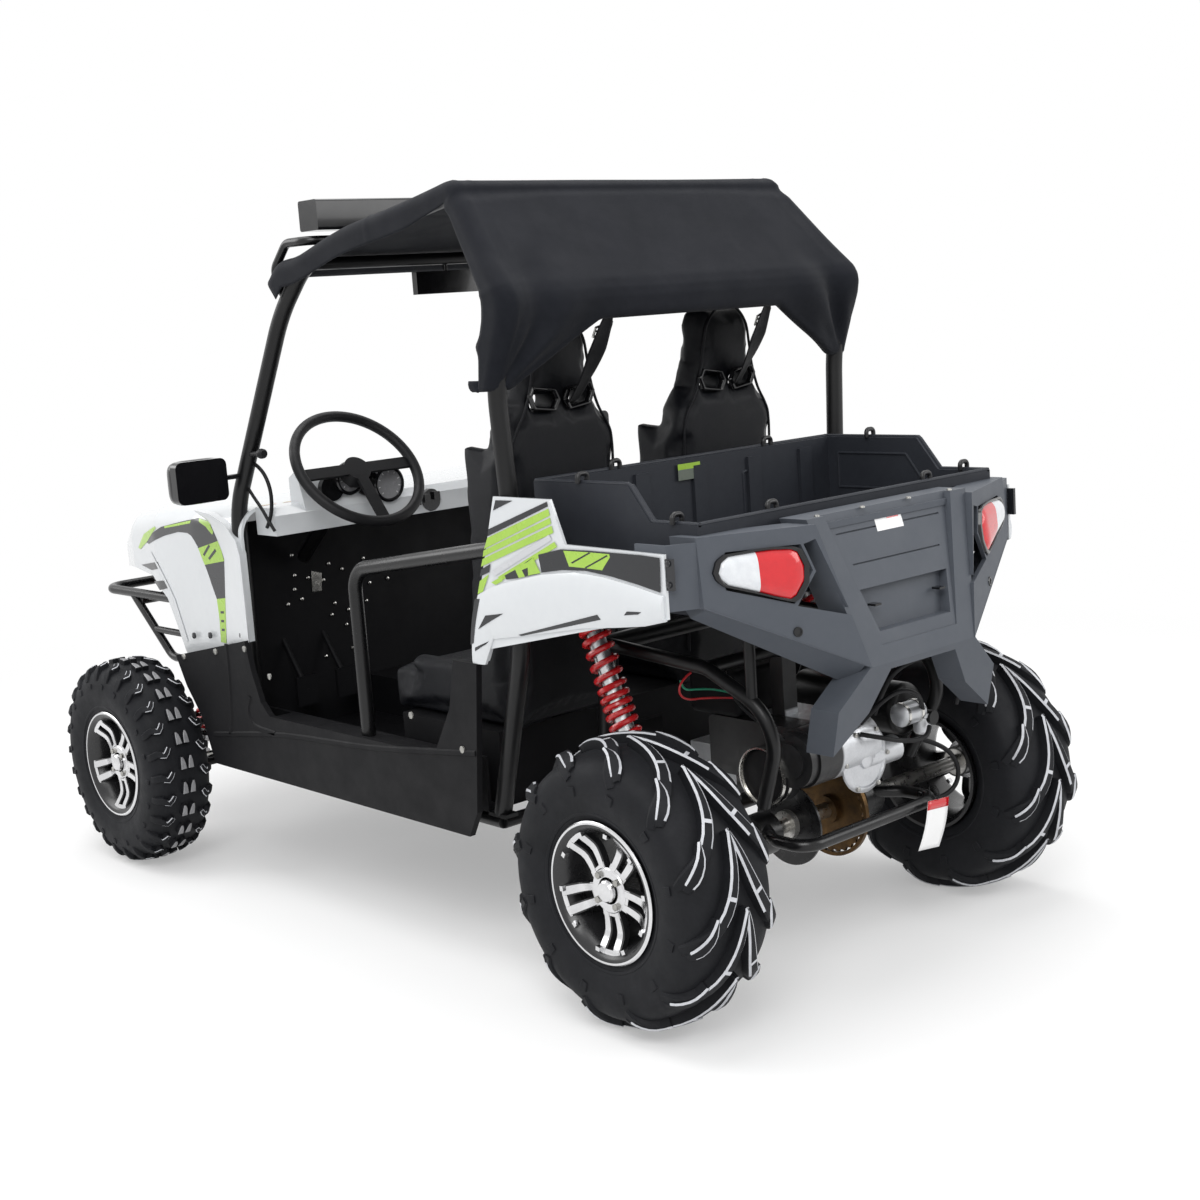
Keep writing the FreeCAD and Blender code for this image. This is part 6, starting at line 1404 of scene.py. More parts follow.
@dataclass
class Seats:
    """Bucket seats: the solids' form, softened and filled by a short cloth run.

    voxel and move are metres, the cell of the rebuilt solid and the most that a point may move.
    """

    voxel: float = 0.0055
    pressure: float = 4.0
    frames: int = 16
    move: float = 0.009
    middle_y: float = 247.0
    panel_half: float = 92.0
    back_ends_x: float = 560.0
    back_ribs: "tuple[float, ...]" = (660, 740, 820, 900, 980)
    cushion_ribs: "tuple[float, ...]" = (600, 680, 760)
    groove: float = 2.6
    slot_half: "tuple[float, float]" = (36.0, 21.0)
    slot_y: float = 48.0
    slot_z: float = 1165.0
    back_foot: "tuple[float, float]" = (446.0, 482.0)
    back_lean: float = 49.0 / 845.0
    slot: Outline = ((-1, 0.0), (-0.72, 0.85), (0.75, 0.95), (1, 0.1), (0.72, -0.9), (-0.7, -0.95))
    bezel: Outline = ((0.86, 8.0), (0.9, -2.0), (1.0, -4.5), (1.12, -4.5), (1.2, -1.0), (1.24, 2.0))
    piping: Outline = ((150, 560), (153, 700), (155, 980), (152, 1068), (140, 1100), (112, 1140),
                       (92, 1190), (82, 1240), (70, 1285), (38, 1318), (0, 1326))

    def soften(self, name: str) -> bpy.types.Object:
        """Copy of a seat's solid, rebuilt in even cells, smoothed and puffed out.

        Args:
            name: the CAD node.

        Returns:
            The soft piece.
        """
        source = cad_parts[name]
        mesh = source.data.copy()
        made = bpy.data.objects.new("pad_" + name, mesh)
        made.matrix_world = source.matrix_world.copy()
        bpy.context.scene.collection.objects.link(made)
        bpy.context.view_layer.update()
        mesh.transform(made.matrix_world)
        made.matrix_world = Matrix.Identity(4)
        self.applied(made, "REMESH", mode="VOXEL", voxel_size=self.voxel, adaptivity=0.0)
        self.applied(made, "SMOOTH", factor=0.6, iterations=30)
        self.inflate(made)
        self.seams(made, name)
        self.applied(made, "SMOOTH", factor=0.5, iterations=2)
        return made

    def applied(self, made: bpy.types.Object, kind: str, **settings) -> None:
        """Add a modifier and replace the mesh by its result."""
        modifier = made.modifiers.new(kind.lower(), kind)
        for key, value in settings.items():
            setattr(modifier, key, value)
        self.bake(made)

    def bake(self, made: bpy.types.Object) -> None:
        """Replace the mesh by its evaluated form and drop the modifiers."""
        graph = bpy.context.evaluated_depsgraph_get()
        done = bpy.data.meshes.new_from_object(made.evaluated_get(graph), depsgraph=graph)
        made.modifiers.clear()
        made.data = done

    def positions(self, mesh: bpy.types.Mesh) -> np.ndarray:
        """The mesh's points as an array."""
        flat = np.zeros(len(mesh.vertices) * 3, np.float32)
        mesh.vertices.foreach_get("co", flat)
        return flat.reshape(-1, 3).astype(float)

    def inflate(self, made: bpy.types.Object) -> None:
        """Short cloth run under inner pressure, with each point's movement capped."""
        before = self.positions(made.data)
        cloth = made.modifiers.new("fill", "CLOTH")
        settings = cloth.settings
        settings.use_pressure = True
        settings.uniform_pressure_force = self.pressure
        settings.effector_weights.gravity = 0
        settings.quality = 4
        cloth.collision_settings.use_collision = False
        scene = bpy.context.scene
        for step in range(1, self.frames + 1):
            scene.frame_set(step)
        self.bake(made)
        scene.frame_set(1)
        after = self.positions(made.data)
        if after.shape == before.shape:
            shift = after - before
            size = np.linalg.norm(shift, axis=1, keepdims=True)
            shift *= np.minimum(1, self.move / np.maximum(size, 1e-9))
            made.data.vertices.foreach_set("co", (before + shift).astype(np.float32).ravel())

    def seams(self, made: bpy.types.Object, name: str) -> None:
        """Press sewn channels into the front of the back and the top of the cushion.

        Each channel is a groove with a bell-shaped section, along lines of equal
        distance from the seat's middle, and across the cushion and back.
        """
        side = 1 if name.endswith("left") else -1
        mesh = made.data
        place = self.positions(mesh) / MILLI
        x, z = place[:, 0] + AXLE_TO_ORIGIN, place[:, 2]
        y = np.abs(place[:, 1] * side - self.middle_y)
        normal = np.zeros(len(place) * 3, np.float32)
        mesh.vertices.foreach_get("normal", normal)
        normal = normal.reshape(-1, 3)
        channels = np.exp(-((y - self.panel_half) / 3.5) ** 2)
        back = x < self.back_ends_x
        for along, part, places in ((z, back, self.back_ribs), (x, ~back, self.cushion_ribs)):
            for where in places:
                channels += np.exp(-((along - where) / 4) ** 2) * part * (y < self.panel_half)
        facing = np.where(back, normal[:, 0] > 0.4, normal[:, 2] > 0.5)
        depth = self.groove * np.clip(channels, 0, 1) * facing * (z < 1090)
        place -= normal * depth[:, None]
        mesh.vertices.foreach_set("co", (place * MILLI).astype(np.float32).ravel())

    def finish(self, made: bpy.types.Object, name: str) -> None:
        mesh = made.data
        mesh.polygons.foreach_set("use_smooth", np.ones(len(mesh.polygons), bool))
        mesh.materials.clear()
        mesh.materials.append(Finishes.vinyl.material())
        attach(made, ROOT)
        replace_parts(made, name)

    def back_x(self, z: np.ndarray) -> np.ndarray:
        """Rear face of the back: it leans back by the same share of its height throughout."""
        x, foot = self.back_foot
        return x - (z - foot) * self.back_lean

    def trims(self, side: Mirror) -> None:
        """Raised bezels round the two strap slots, a ridge joining them and the back's piping."""
        shape = Shape()
        middle = side.value * self.middle_y
        for hand in (-1, 1):
            slot = np.array(self.slot) * self.slot_half * [hand, 1]
            loop = evenly(np.concatenate([slot, slot[:1]]), 61)[:-1]
            band = []
            for share, lift in self.bezel:
                y = middle + hand * self.slot_y + loop[:, 0] * share
                z = self.slot_z + loop[:, 1] * share + loop[:, 0] * hand * 0.12
                band.append(np.stack([self.back_x(z) + lift - 4, y, z], axis=-1))
            shape.grid(np.stack(band), True)
        shape.piece("seat_bezels_" + side.name.lower(), (Finishes.gloss_black,), crease=50, tidy=True)
        outline = np.array(self.piping, float)
        y, z = spline(np.concatenate([outline, (outline * [-1, 1])[-2::-1]]), 150).T
        edge = Shape().tube(np.stack([self.back_x(z) - 2.5, middle + y * 0.90, z], axis=-1), 3.0, 8)
        edge.piece("seat_piping_" + side.name.lower(), (Finishes.vinyl,))

    def dress(self) -> None:
        """Soften the left seat, mirror it for the right, and trim both."""
        left = self.soften("seat_left")
        mesh = left.data.copy()
        place = self.positions(mesh) * [1, -1, 1]
        mesh.vertices.foreach_set("co", place.astype(np.float32).ravel())
        mesh.flip_normals()
        right = bpy.data.objects.new("pad_seat_right", mesh)
        bpy.context.scene.collection.objects.link(right)
        self.finish(left, "seat_left")
        self.finish(right, "seat_right")
        for side in Mirror:
            self.trims(side)


@dataclass
class Harness:
    """A strap from the hoop's cross tube through each seat's slot, with its slide buckle."""

    ends: "tuple[tuple[Point, Point], ...]" = (
        ((262, 232, 1326), (400, 218, 1156)), ((262, -238, 1326), (400, -276, 1156)))
    half: float = 24.0
    sag: Point = (-5.0, 0.0, -9.0)
    tail: "tuple[Point, Point]" = ((12.0, 0.0, -2.0), (40.0, 0.0, -14.0))
    slide: Outline = ((-27, -11), (27, -11), (27, 11), (-27, 11), (-27, -11))
    slide_row: int = 9

    def strap(self, top: Point, low: Point, name: str) -> bpy.types.Object:
        """Twisted webbing along a sagging line, thickened, with a slide near its top."""
        a, b = np.array(top), np.array(low)
        t = np.linspace(0, 1, 60)[:, None]
        line = a + (b - a) * t + np.array(self.sag) * np.sin(math.pi * t)
        line = np.concatenate([line, b + np.array(self.tail)])
        along = unit(np.gradient(line, axis=0))
        turn = np.interp(np.linspace(0, 1, len(line)), [0, 0.35, 0.7, 1], [0.3, 0.0, 0.25, 0.1])[:, None]
        side = unit(np.cross(along, [1.0, 0, 0]))
        other = np.cross(side, along)
        across = np.cos(turn) * side + np.sin(turn) * other
        squeeze = np.interp(np.linspace(0, 1, len(line)), [0, 0.1, 0.75, 1], [0.8, 1, 1, 0.62])[:, None]
        stations = np.linspace(-1, 1, 9)
        cup = 1.6 * (1 - stations ** 2)
        normal = np.cross(across, along)
        grid = (line[:, None] + across[:, None] * (stations[None, :, None] * self.half * squeeze[:, None])
                + normal[:, None] * cup[None, :, None])
        length = np.cumsum(np.linalg.norm(np.gradient(line, axis=0), axis=1)) * MILLI
        uv = np.stack(np.broadcast_arrays(stations[None] * self.half * MILLI, length[:, None]), axis=-1)
        webbing = Shape().grid(grid, uv=uv).piece(name, (Finishes.webbing,), crease=70, thick=1.8)
        k = self.slide_row
        self.buckle(line[k], along[k], across[k], name)
        return webbing

    def buckle(self, spot: np.ndarray, along: np.ndarray, across: np.ndarray, name: str) -> None:
        """Steel slide: a rectangular ring of round bar with a bar across its middle."""
        normal = np.cross(across, along)
        loop = evenly(self.slide, 49)
        ring = spot + loop[:, :1] * across + loop[:, 1:] * along + normal * 2.5
        bar = spot + np.linspace(-26, 26, 12)[:, None] * across + normal * 3.5
        shape = Shape().tube(ring, 2.4, 8, ends=False).tube(bar, 2.0, 8)
        shape.piece(name + "_slide", (Finishes.bright_steel,), tidy=True)

    def dress(self) -> None:
        """Both straps."""
        for side, (top, low) in zip(Mirror, self.ends):
            webbing = self.strap(top, low, "harness_strap_" + side.name.lower())
            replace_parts(webbing, "harnesses")


@dataclass
class Cage:
    """Bent-tube cage: one side route for each side, cross tubes and foot plates.

    Each route is a run of straight tubes whose corners are rounded by averaging the
    run over a sliding length, which leaves the straight parts straight.
    """

    tube: float = 19.0
    brace: float = 14.0
    bend: float = 110.0
    route: "tuple[tuple[float, float, float], ...]" = (
        (1352, 483, 322.3), (1330, 486, 930), (1112, 452, 1372), (1000, 450, 1478), (834, 450, 1520),
        (436, 450, 1582), (258, 498, 1378), (302, 499, 1213), (302, 484, 900), (302, 484, 690),
        (450, 448, 322.3))
    bars: "tuple[tuple[float, float, float], ...]" = (
        (1000, 450, 1478), (436, 450, 1582), (266, 496, 1345))
    shock_bar: "tuple[float, float, float, float]" = (288, 484, 775.7, 10.0)
    feet: "tuple[tuple[float, float], ...]" = ((1352, 483), (450, 448))
    foot_size: "tuple[float, float, float, float]" = (28, 17, 314.3, 322.3)

    def rounded(self, points: np.ndarray) -> np.ndarray:
        """Route with its corners rounded by a sliding average over the length bend."""
        run = float(np.sum(np.linalg.norm(np.diff(points, axis=0), axis=1)))
        count = int(run / 6)
        even = evenly(points, count)
        half = int(self.bend / 12)
        ahead = 2 * even[-1] - even[-half - 1:-1][::-1]
        behind = 2 * even[0] - even[1:half + 1][::-1]
        padded = np.concatenate([behind, even, ahead])
        total = np.cumsum(np.concatenate([np.zeros((1, 3)), padded]), axis=0)
        return (total[2 * half + 1:] - total[:-2 * half - 1]) / (2 * half + 1)

    def dress(self) -> None:
        """Build both sides, the cross tubes and the feet as one piece."""
        shape = Shape()
        for side in Mirror:
            turn = np.array([1, side.value, 1])
            path = self.rounded(np.array(self.route, float) * turn)
            shape.tube(path, self.tube, 20)
            dx, dy, low, high = self.foot_size
            for x, y in self.feet:
                shape.box((x - dx, side.value * y - dy, low), (x + dx, side.value * y + dy, high))
        *shock_place, shock_radius = self.shock_bar
        bars = [(bar, self.brace, 18) for bar in self.bars] + [(shock_place, shock_radius, 16)]
        for (x, y, z), radius, sides in bars:
            shape.tube(((x, -y, z), (x, 0, z), (x, y, z)), radius, sides)
        made = shape.piece("cage_tubes", (Finishes.frame_black,), tidy=True)
        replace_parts(made, "roll_cage")


@dataclass
class Cord:
    """A free hose, cable or wire along listed points."""

    name: str
    points: "tuple[tuple[float, float, float], ...]"
    diameter: float
    finish: Finish
    stiffness: str = "medium"
    lay: str = "loose"

    def build(self) -> bpy.types.Object:
        """NURBS curve with the points as its control points."""
        data = bpy.data.curves.new(self.name, "CURVE")
        data.dimensions = "3D"
        data.resolution_u = 10
        line = data.splines.new("NURBS")
        route = metres(np.array(self.points, float))
        line.points.add(len(route) - 1)
        line.points.foreach_set("co", np.column_stack([route, np.ones(len(route))]).ravel())
        line.order_u = 3
        line.use_endpoint_u = True
        made = bpy.data.objects.new(self.name, data)
        bpy.context.scene.collection.objects.link(made)
        graph = bpy.context.evaluated_depsgraph_get()
        bare = bpy.data.meshes.new_from_object(made.evaluated_get(graph), depsgraph=graph)
        flat = np.zeros(len(bare.vertices) * 3, np.float32)
        bare.vertices.foreach_get("co", flat)
        data.bevel_depth = self.diameter / 2 * MILLI
        data.bevel_resolution = 4
        data.use_fill_caps = True
        data.materials.append(self.finish.material())
        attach(made, ROOT)
        return made


@dataclass
class Springs:
    """Coil springs with their seats and collars, in place of the plain coils."""

    wire: float = 6.4
    coil_radius: float = 27.0
    turns: int = 16
    span: "tuple[float, float]" = (0.13, 0.93)
    front: "tuple[Point, Point]" = ((1800.0, 392.0, 239.9), (1800.0, 292.0, 660.0))
    rear: "tuple[Point, Point]" = ((128.0, 322.0, 336.0), (288.0, 322.0, 752.4))

    def coil(self, low: np.ndarray, top: np.ndarray, name: str) -> None:
        """Helix round the line from low to top.

        Its point at share s is axis(s) + coil_radius * (cos 2 pi n s, sin 2 pi n s), and the
        rise is slower over the closed turns at both ends.
        """
        steps = self.turns * 16
        s = np.linspace(0, 1, steps)
        eased = s - 0.035 * np.sin(2 * FULL_TURN * s) / 2
        axis = unit(top - low)
        first = unit(np.cross(axis, [0.0, 1.0, 0.0]))
        second = np.cross(axis, first)
        lower, upper = (low + (top - low) * share for share in self.span)
        angle = FULL_TURN * self.turns * s
        line = (lower + eased[:, None] * (upper - lower)
                + self.coil_radius * (np.cos(angle)[:, None] * first + np.sin(angle)[:, None] * second))
        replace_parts(Shape().tube(line, self.wire, 8).piece(name, (Finishes.spring_red,)), "springs")
        self.seats(lower, upper, axis, first, second, name)

    def seats(self, lower: np.ndarray, upper: np.ndarray, axis: np.ndarray, first: np.ndarray,
              second: np.ndarray, name: str) -> None:
        """Dished seats and a threaded collar, turned about the spring's own line."""
        shape = Shape()
        ring = np.linspace(0, FULL_TURN, 33)[:-1]
        around = np.cos(ring)[:, None] * first + np.sin(ring)[:, None] * second
        for spot, turn in ((lower, -1), (upper, 1)):
            profile = [(0, 12), (0, 31), (2.5 * turn, 32), (6 * turn, 31), (7 * turn, 20), (16 * turn, 17),
                       (17 * turn, 12)]
            grid = np.stack([spot + axis * a + around * r for a, r in profile])
            shape.grid(grid, round_cols=True)
        shape.piece(name + "_seats", (Finishes.rubber,), tidy=True)

    def dress(self) -> None:
        """All four springs."""
        for side in Mirror:
            word = side.name.lower()
            for place, (low, top) in (("front", self.front), ("rear", self.rear)):
                turn = np.array([1, side.value, 1])
                self.coil(np.array(low) * turn, np.array(top) * turn, "spring_" + place + "_" + word)


@dataclass
class Engine:
    """Cover, cylinders, clamps, hoses and wires round the engine, and a blank hang tag."""

    hoses: "tuple[Cord, ...]" = (
        Cord("hose_breather", ((-128, -62, 498), (-146, -63, 540), (-176, -66, 590), (-204, -112, 614),
                               (-208, -176, 606), (-207, -228, 578), (-204, -252, 534),
                               (-192, -247, 490)), 11, Finishes.rubber),
        Cord("hose_fan", ((-136, -10, 492), (-172, -14, 528), (-188, -40, 549), (-190, -75, 553),
                          (-188, -115, 541), (-182, -147, 520), (-166, -170, 488)), 10, Finishes.rubber),
        Cord("hose_drain", ((-146, 6, 474), (-182, -20, 466), (-190, -62, 452), (-194, -112, 442),
                            (-194, -150, 444), (-180, -172, 456)), 10, Finishes.rubber),
        Cord("hose_side", ((-98, -252, 399), (-124, -284, 386), (-146, -312, 344), (-144, -308, 292),
                           (-124, -262, 268), (-106, -226, 282)), 10, Finishes.rubber),
        Cord("cable_clutch", ((34, 200, 640), (8, 215, 590), (-40, 212, 545), (-72, 190, 520),
                              (-80, 158, 488)), 8, Finishes.rubber),
        Cord("wire_green", ((68, 284, 614), (64, 284, 594), (58, 246, 590), (54, 195, 580),
                            (58, 146, 560)), 4.4, Finishes.wire_green, "limp"),
        Cord("wire_red", ((60, 262, 626), (62, 286, 616), (62, 298, 592), (58, 280, 574), (56, 230, 570),
                          (58, 148, 552)), 4.4, Finishes.wire_red, "limp"),
    )

    def cover(self) -> None:
        """Round cover with a rim, bolts and a ribbed cap on the rear of the crankcase."""
        shape = Shape()
        centre = (-100.0, -16.0, 418.0)
        profile = [(-34, 70), (-38, 69), (-42, 64), (-42.5, 58), (-39, 56), (-39, 20), (-44, 18),
                   (-46, 12), (-46, 0.1)]
        shape.turned(np.array(profile), 0, centre, 64)
        for angle in np.linspace(0, FULL_TURN, 7)[:-1]:
            spot = (-100.0, -16 + 64 * math.cos(angle), 418 + 64 * math.sin(angle))
            bolt = [(-40, 5.2), (-46, 5.0), (-47, 3.4), (-47, 0.1)]
            shape.turned(np.array(bolt), 0, spot, 6, 1)
        shape.piece("engine_cover", (Finishes.cast_alloy, Finishes.bolt_steel), tidy=True)

    def cylinders(self) -> None:
        """Bright starter and cap pieces that show in the tail's arch, with clamp bands."""
        shape = Shape()
        starter = [(0, 0.1), (0, 20), (3, 24), (62, 24), (66, 20), (70, 9), (70, 0.1)]
        shape.turned(np.array(starter), 1, (-148.0, -180.0, 486.0), 40)
        cap = [(0, 0.1), (0, 15), (5, 19), (34, 19), (36, 22), (44, 22), (44, 0.1)]
        shape.turned(np.array(cap), 2, (-152.0, -186.0, 436.0), 36)
        for y, r in ((-168, 25.4), (-126, 25.4)):
            band = [(0, r - 2), (0, r), (7, r), (7, r - 2)]
            shape.turned(np.array(band), 1, (-148.0, y, 486.0), 40, 1)
        for y in (146, 166):
            band = [(0, 56), (0, 59.5), (8, 59.5), (8, 56)]
            shape.turned(np.array(band), 1, (-20.0, y - 10, 404.0), 56, 1)
        shape.piece("engine_starter", (Finishes.cast_alloy, Finishes.bright_steel), tidy=True)

    def filter(self) -> None:
        """Black ribbed belt cover on the left end of the crank."""
        shape = Shape()
        around = np.linspace(0, 1, 40)
        ribs = 58 + 2.0 * np.sin(around * 60)
        profile = np.stack([around * 44, ribs], axis=1)
        profile = np.concatenate([profile, [[46, 50], [47, 0.1]]])
        shape.turned(profile, 1, (-20.0, 108.0, 404.0), 64)
        shape.piece("belt_cover", (Finishes.rubber,), tidy=True)

    def tag(self) -> None:
        """Blank hang tag on a loop of string at the guard tube, with a plain red top edge."""
        flat = between(((-137, 309), (-206, 303)), ((-100, 214), (-168, 206)), rows=12, parts=6)
        bend = 5 * np.sin(np.linspace(0, math.pi, 12))[:, None]
        grid = np.stack([-196 - bend + 0 * flat[..., 0], flat[..., 0], flat[..., 1]], axis=-1)
        shape = Shape().grid(grid).grid(grid[:3] + np.array([-0.5, 0, 0]), finish=1)
        shape.piece("hang_tag", (Finishes.blank_card, Finishes.lamp_red), thick=0.6)
        loop = ((-195, -168, 300), (-200, -170, 318), (-190, -171, 333), (-176, -171, 330),
                (-178, -169, 312), (-192, -168, 301))
        Shape().tube(spline(loop, 40), 1.1, 6).piece("hang_tag_string", (Finishes.rubber,))

    def dress(self) -> None:
        """Add every engine piece."""
        self.cover()
        self.cylinders()
        self.filter()
        self.tag()
        for hose in self.hoses:
            hose.build()


@dataclass
class Cabin:
    """Bolts on the firewall, gauges, mirrors, dash stripe and cables in the cabin."""

    firewall_x: float = 1491.0
    dots: Outline = (
        (250, 718), (211, 706), (165, 693), (254, 682), (106, 713), (145, 733), (137, 627), (96, 603),
        (149, 598), (107, 565), (94, 500), (179, 493), (38, 617), (23, 663), (-36, 666), (36, 731),
        (277, 647), (235, 654), (253, 771))
    plate: "tuple[Outline, Outline]" = (((199, 722), (168, 712)), ((202, 668), (173, 666)))
    skirt_bolts: Outline = ((1603, 545), (1441, 575), (1301, 596), (1198, 540), (640, 520), (470, 470))

    def bolts(self) -> None:
        """Bright bolt heads and a small plate on the firewall, and bolts along the side skirts."""
        shape = Shape()
        cap = np.array([(0, 5.4), (-3, 5.0), (-4.2, 3.2), (-4.4, 0.1)])
        for y, z in self.dots:
            shape.turned(cap, 0, (self.firewall_x, y, z), 10)
        shape.face(self.firewall_x - 1.2, between(*self.plate))
        for side in Mirror:
            for x, z in self.skirt_bolts:
                shape.turned(cap * [-side.value, 1.5], 1, (x, 524.0 * side.value, z), 14, 1)
        shape.piece("cabin_bolts", (Finishes.bright_steel, Finishes.bolt_steel), tidy=True)

    def stripe(self) -> None:
        """Thin red and green lines along the top of the cowl's rear edge."""
        shape = Shape()
        for kind, x in enumerate((1306, 1312)):
            for ends in ((250, 300), (320, 372), (392, 442)):
                corners = [[(at, y, 928.6) for y in ends] for at in (x, x + 5)]
                shape.grid(np.array(corners), finish=kind)
        shape.piece("dash_stripe", (Finishes.wire_red, Finishes.decal_lime))

    def mirrors(self) -> None:
        """Rounded shells over the outer mirrors: a superellipse swept from the rim to the back."""
        for side in Mirror:
            shape = Shape()
            angle = np.linspace(0, FULL_TURN, 49)[:-1]
            power = 0.42
            wide = np.sign(np.cos(angle)) * np.abs(np.cos(angle)) ** power
            high = np.sign(np.sin(angle)) * np.abs(np.sin(angle)) ** power
            centre = np.array([1296.0, 603.0 * side.value, 1007.0])
            rings = [(-3, 0.86), (-5, 0.9), (-6, 0.97), (0, 1.0), (16, 0.98), (26, 0.88), (32, 0.66),
                     (34, 0.3), (34, 0.01)]
            band = np.stack([np.stack([np.full(48, ahead), wide * 70 * s, high * 52 * s], axis=-1)
                             for ahead, s in rings]) + centre
            shape.grid(band, round_cols=True)
            shape.piece("mirror_shell_" + side.name.lower(), (Finishes.gloss_black,), crease=50, tidy=True)

    def cables(self) -> None:
        """Black cable loop and a lower cable from the pillar to the dash, on the driver's side."""
        Cord("cable_mirror", ((1304, 478, 1035), (1284, 474, 1040), (1256, 470, 1034), (1226, 466, 1010),
                              (1210, 464, 972), (1213, 464, 930), (1226, 466, 898), (1240, 466, 884)),
             9, Finishes.rubber).build()
        Cord("cable_brake", ((1304, 476, 990), (1276, 474, 958), (1246, 472, 930), (1222, 470, 898),
                             (1210, 464, 876)), 8, Finishes.rubber).build()
        knob = Shape().tube(((1252, 482, 1058), (1215, 486, 1060), (1196, 488, 1061)), 6, 12)
        profile = ((-13, 0.1), (-13, 8), (-9, 11), (0, 12), (8, 10), (11, 6), (12, 0.1))
        knob.turned(np.array(profile), 0, (1196.0, 488.0, 1061.0), 24)
        knob.piece("pillar_knob", (Finishes.rubber,), tidy=True)

    def gauges(self) -> None:
        """Bezels and faces of the two round gauges, and a row of switches beside them."""
        shape = Shape()
        for y, z, r in ((242, 975, 36), (129, 948, 40)):
            bezel = [(2, r + 5), (-5, r + 5), (-8, r + 2), (-8, r - 2), (-4, r - 4)]
            face = [(-3.6, r - 3), (-3.8, 0.1)]
            shape.turned(np.array(bezel), 0, (1213.0, y, z), 48)
            shape.turned(np.array(face), 0, (1213.0, y, z), 48, 1)
            for angle in np.linspace(-0.8, FULL_TURN / 2 + 0.8, 9):
                tick = [(1213 - 4.4, y + d * math.cos(angle), z + d * math.sin(angle))
                        for d in (r - 7, r - 12)]
                shape.tube(evenly(tick, 3), 0.9, 6, 2)
        for k, y in enumerate((48, 18, -12)):
            shape.box((1206, y - 9, 884 + 4 * k), (1216, y + 9, 904 + 4 * k))
        shape.piece("dash_gauges", (Finishes.gloss_black, Finishes.gauge_face, Finishes.blank_card),
                    tidy=True)

    def dress(self) -> None:
        """Add every cabin piece."""
        self.bolts()
        self.stripe()
        self.mirrors()
        self.cables()
        self.gauges()


@dataclass
class SkirtTrim:
    """Raised ribs along the lower step of the side skirts and up their front."""

    face: float = 523.6
    lines: "tuple[tuple[tuple[float, float], ...], ...]" = (
        ((1490, 359), (1168, 401), (794, 425), (428, 466)),
        ((1388, 600), (1390, 520), (1398, 430), (1412, 372)),
        ((1300, 480), (1316, 440), (1290, 408), (1200, 400)))
    section: "tuple[tuple[float, float], ...]" = ((-9, -0.5), (-5, 3.4), (3, 3.4), (5, -0.5))

    def dress(self) -> None:
        """Carry the rib's section along each line: aside in the plane of the face, and out from it."""
        for side in Mirror:
            shape = Shape()
            for line in self.lines:
                flat = spline(np.array([(x, 0, z) for x, z in line], float), 60)
                along = unit(np.gradient(flat, axis=0))
                aside = np.stack([-along[:, 2], np.zeros(60), along[:, 0]], axis=1)
                out = np.array([0.0, side.value, 0.0])
                base = flat * [1, 0, 1] + out * self.face
                grid = np.stack([base + aside * a + out * b for a, b in self.section], axis=1)
                shape.grid(grid, round_cols=True, ends=True)
            shape.piece("skirt_ribs_" + side.name.lower(), (Finishes.trim_black,), crease=40, tidy=True)


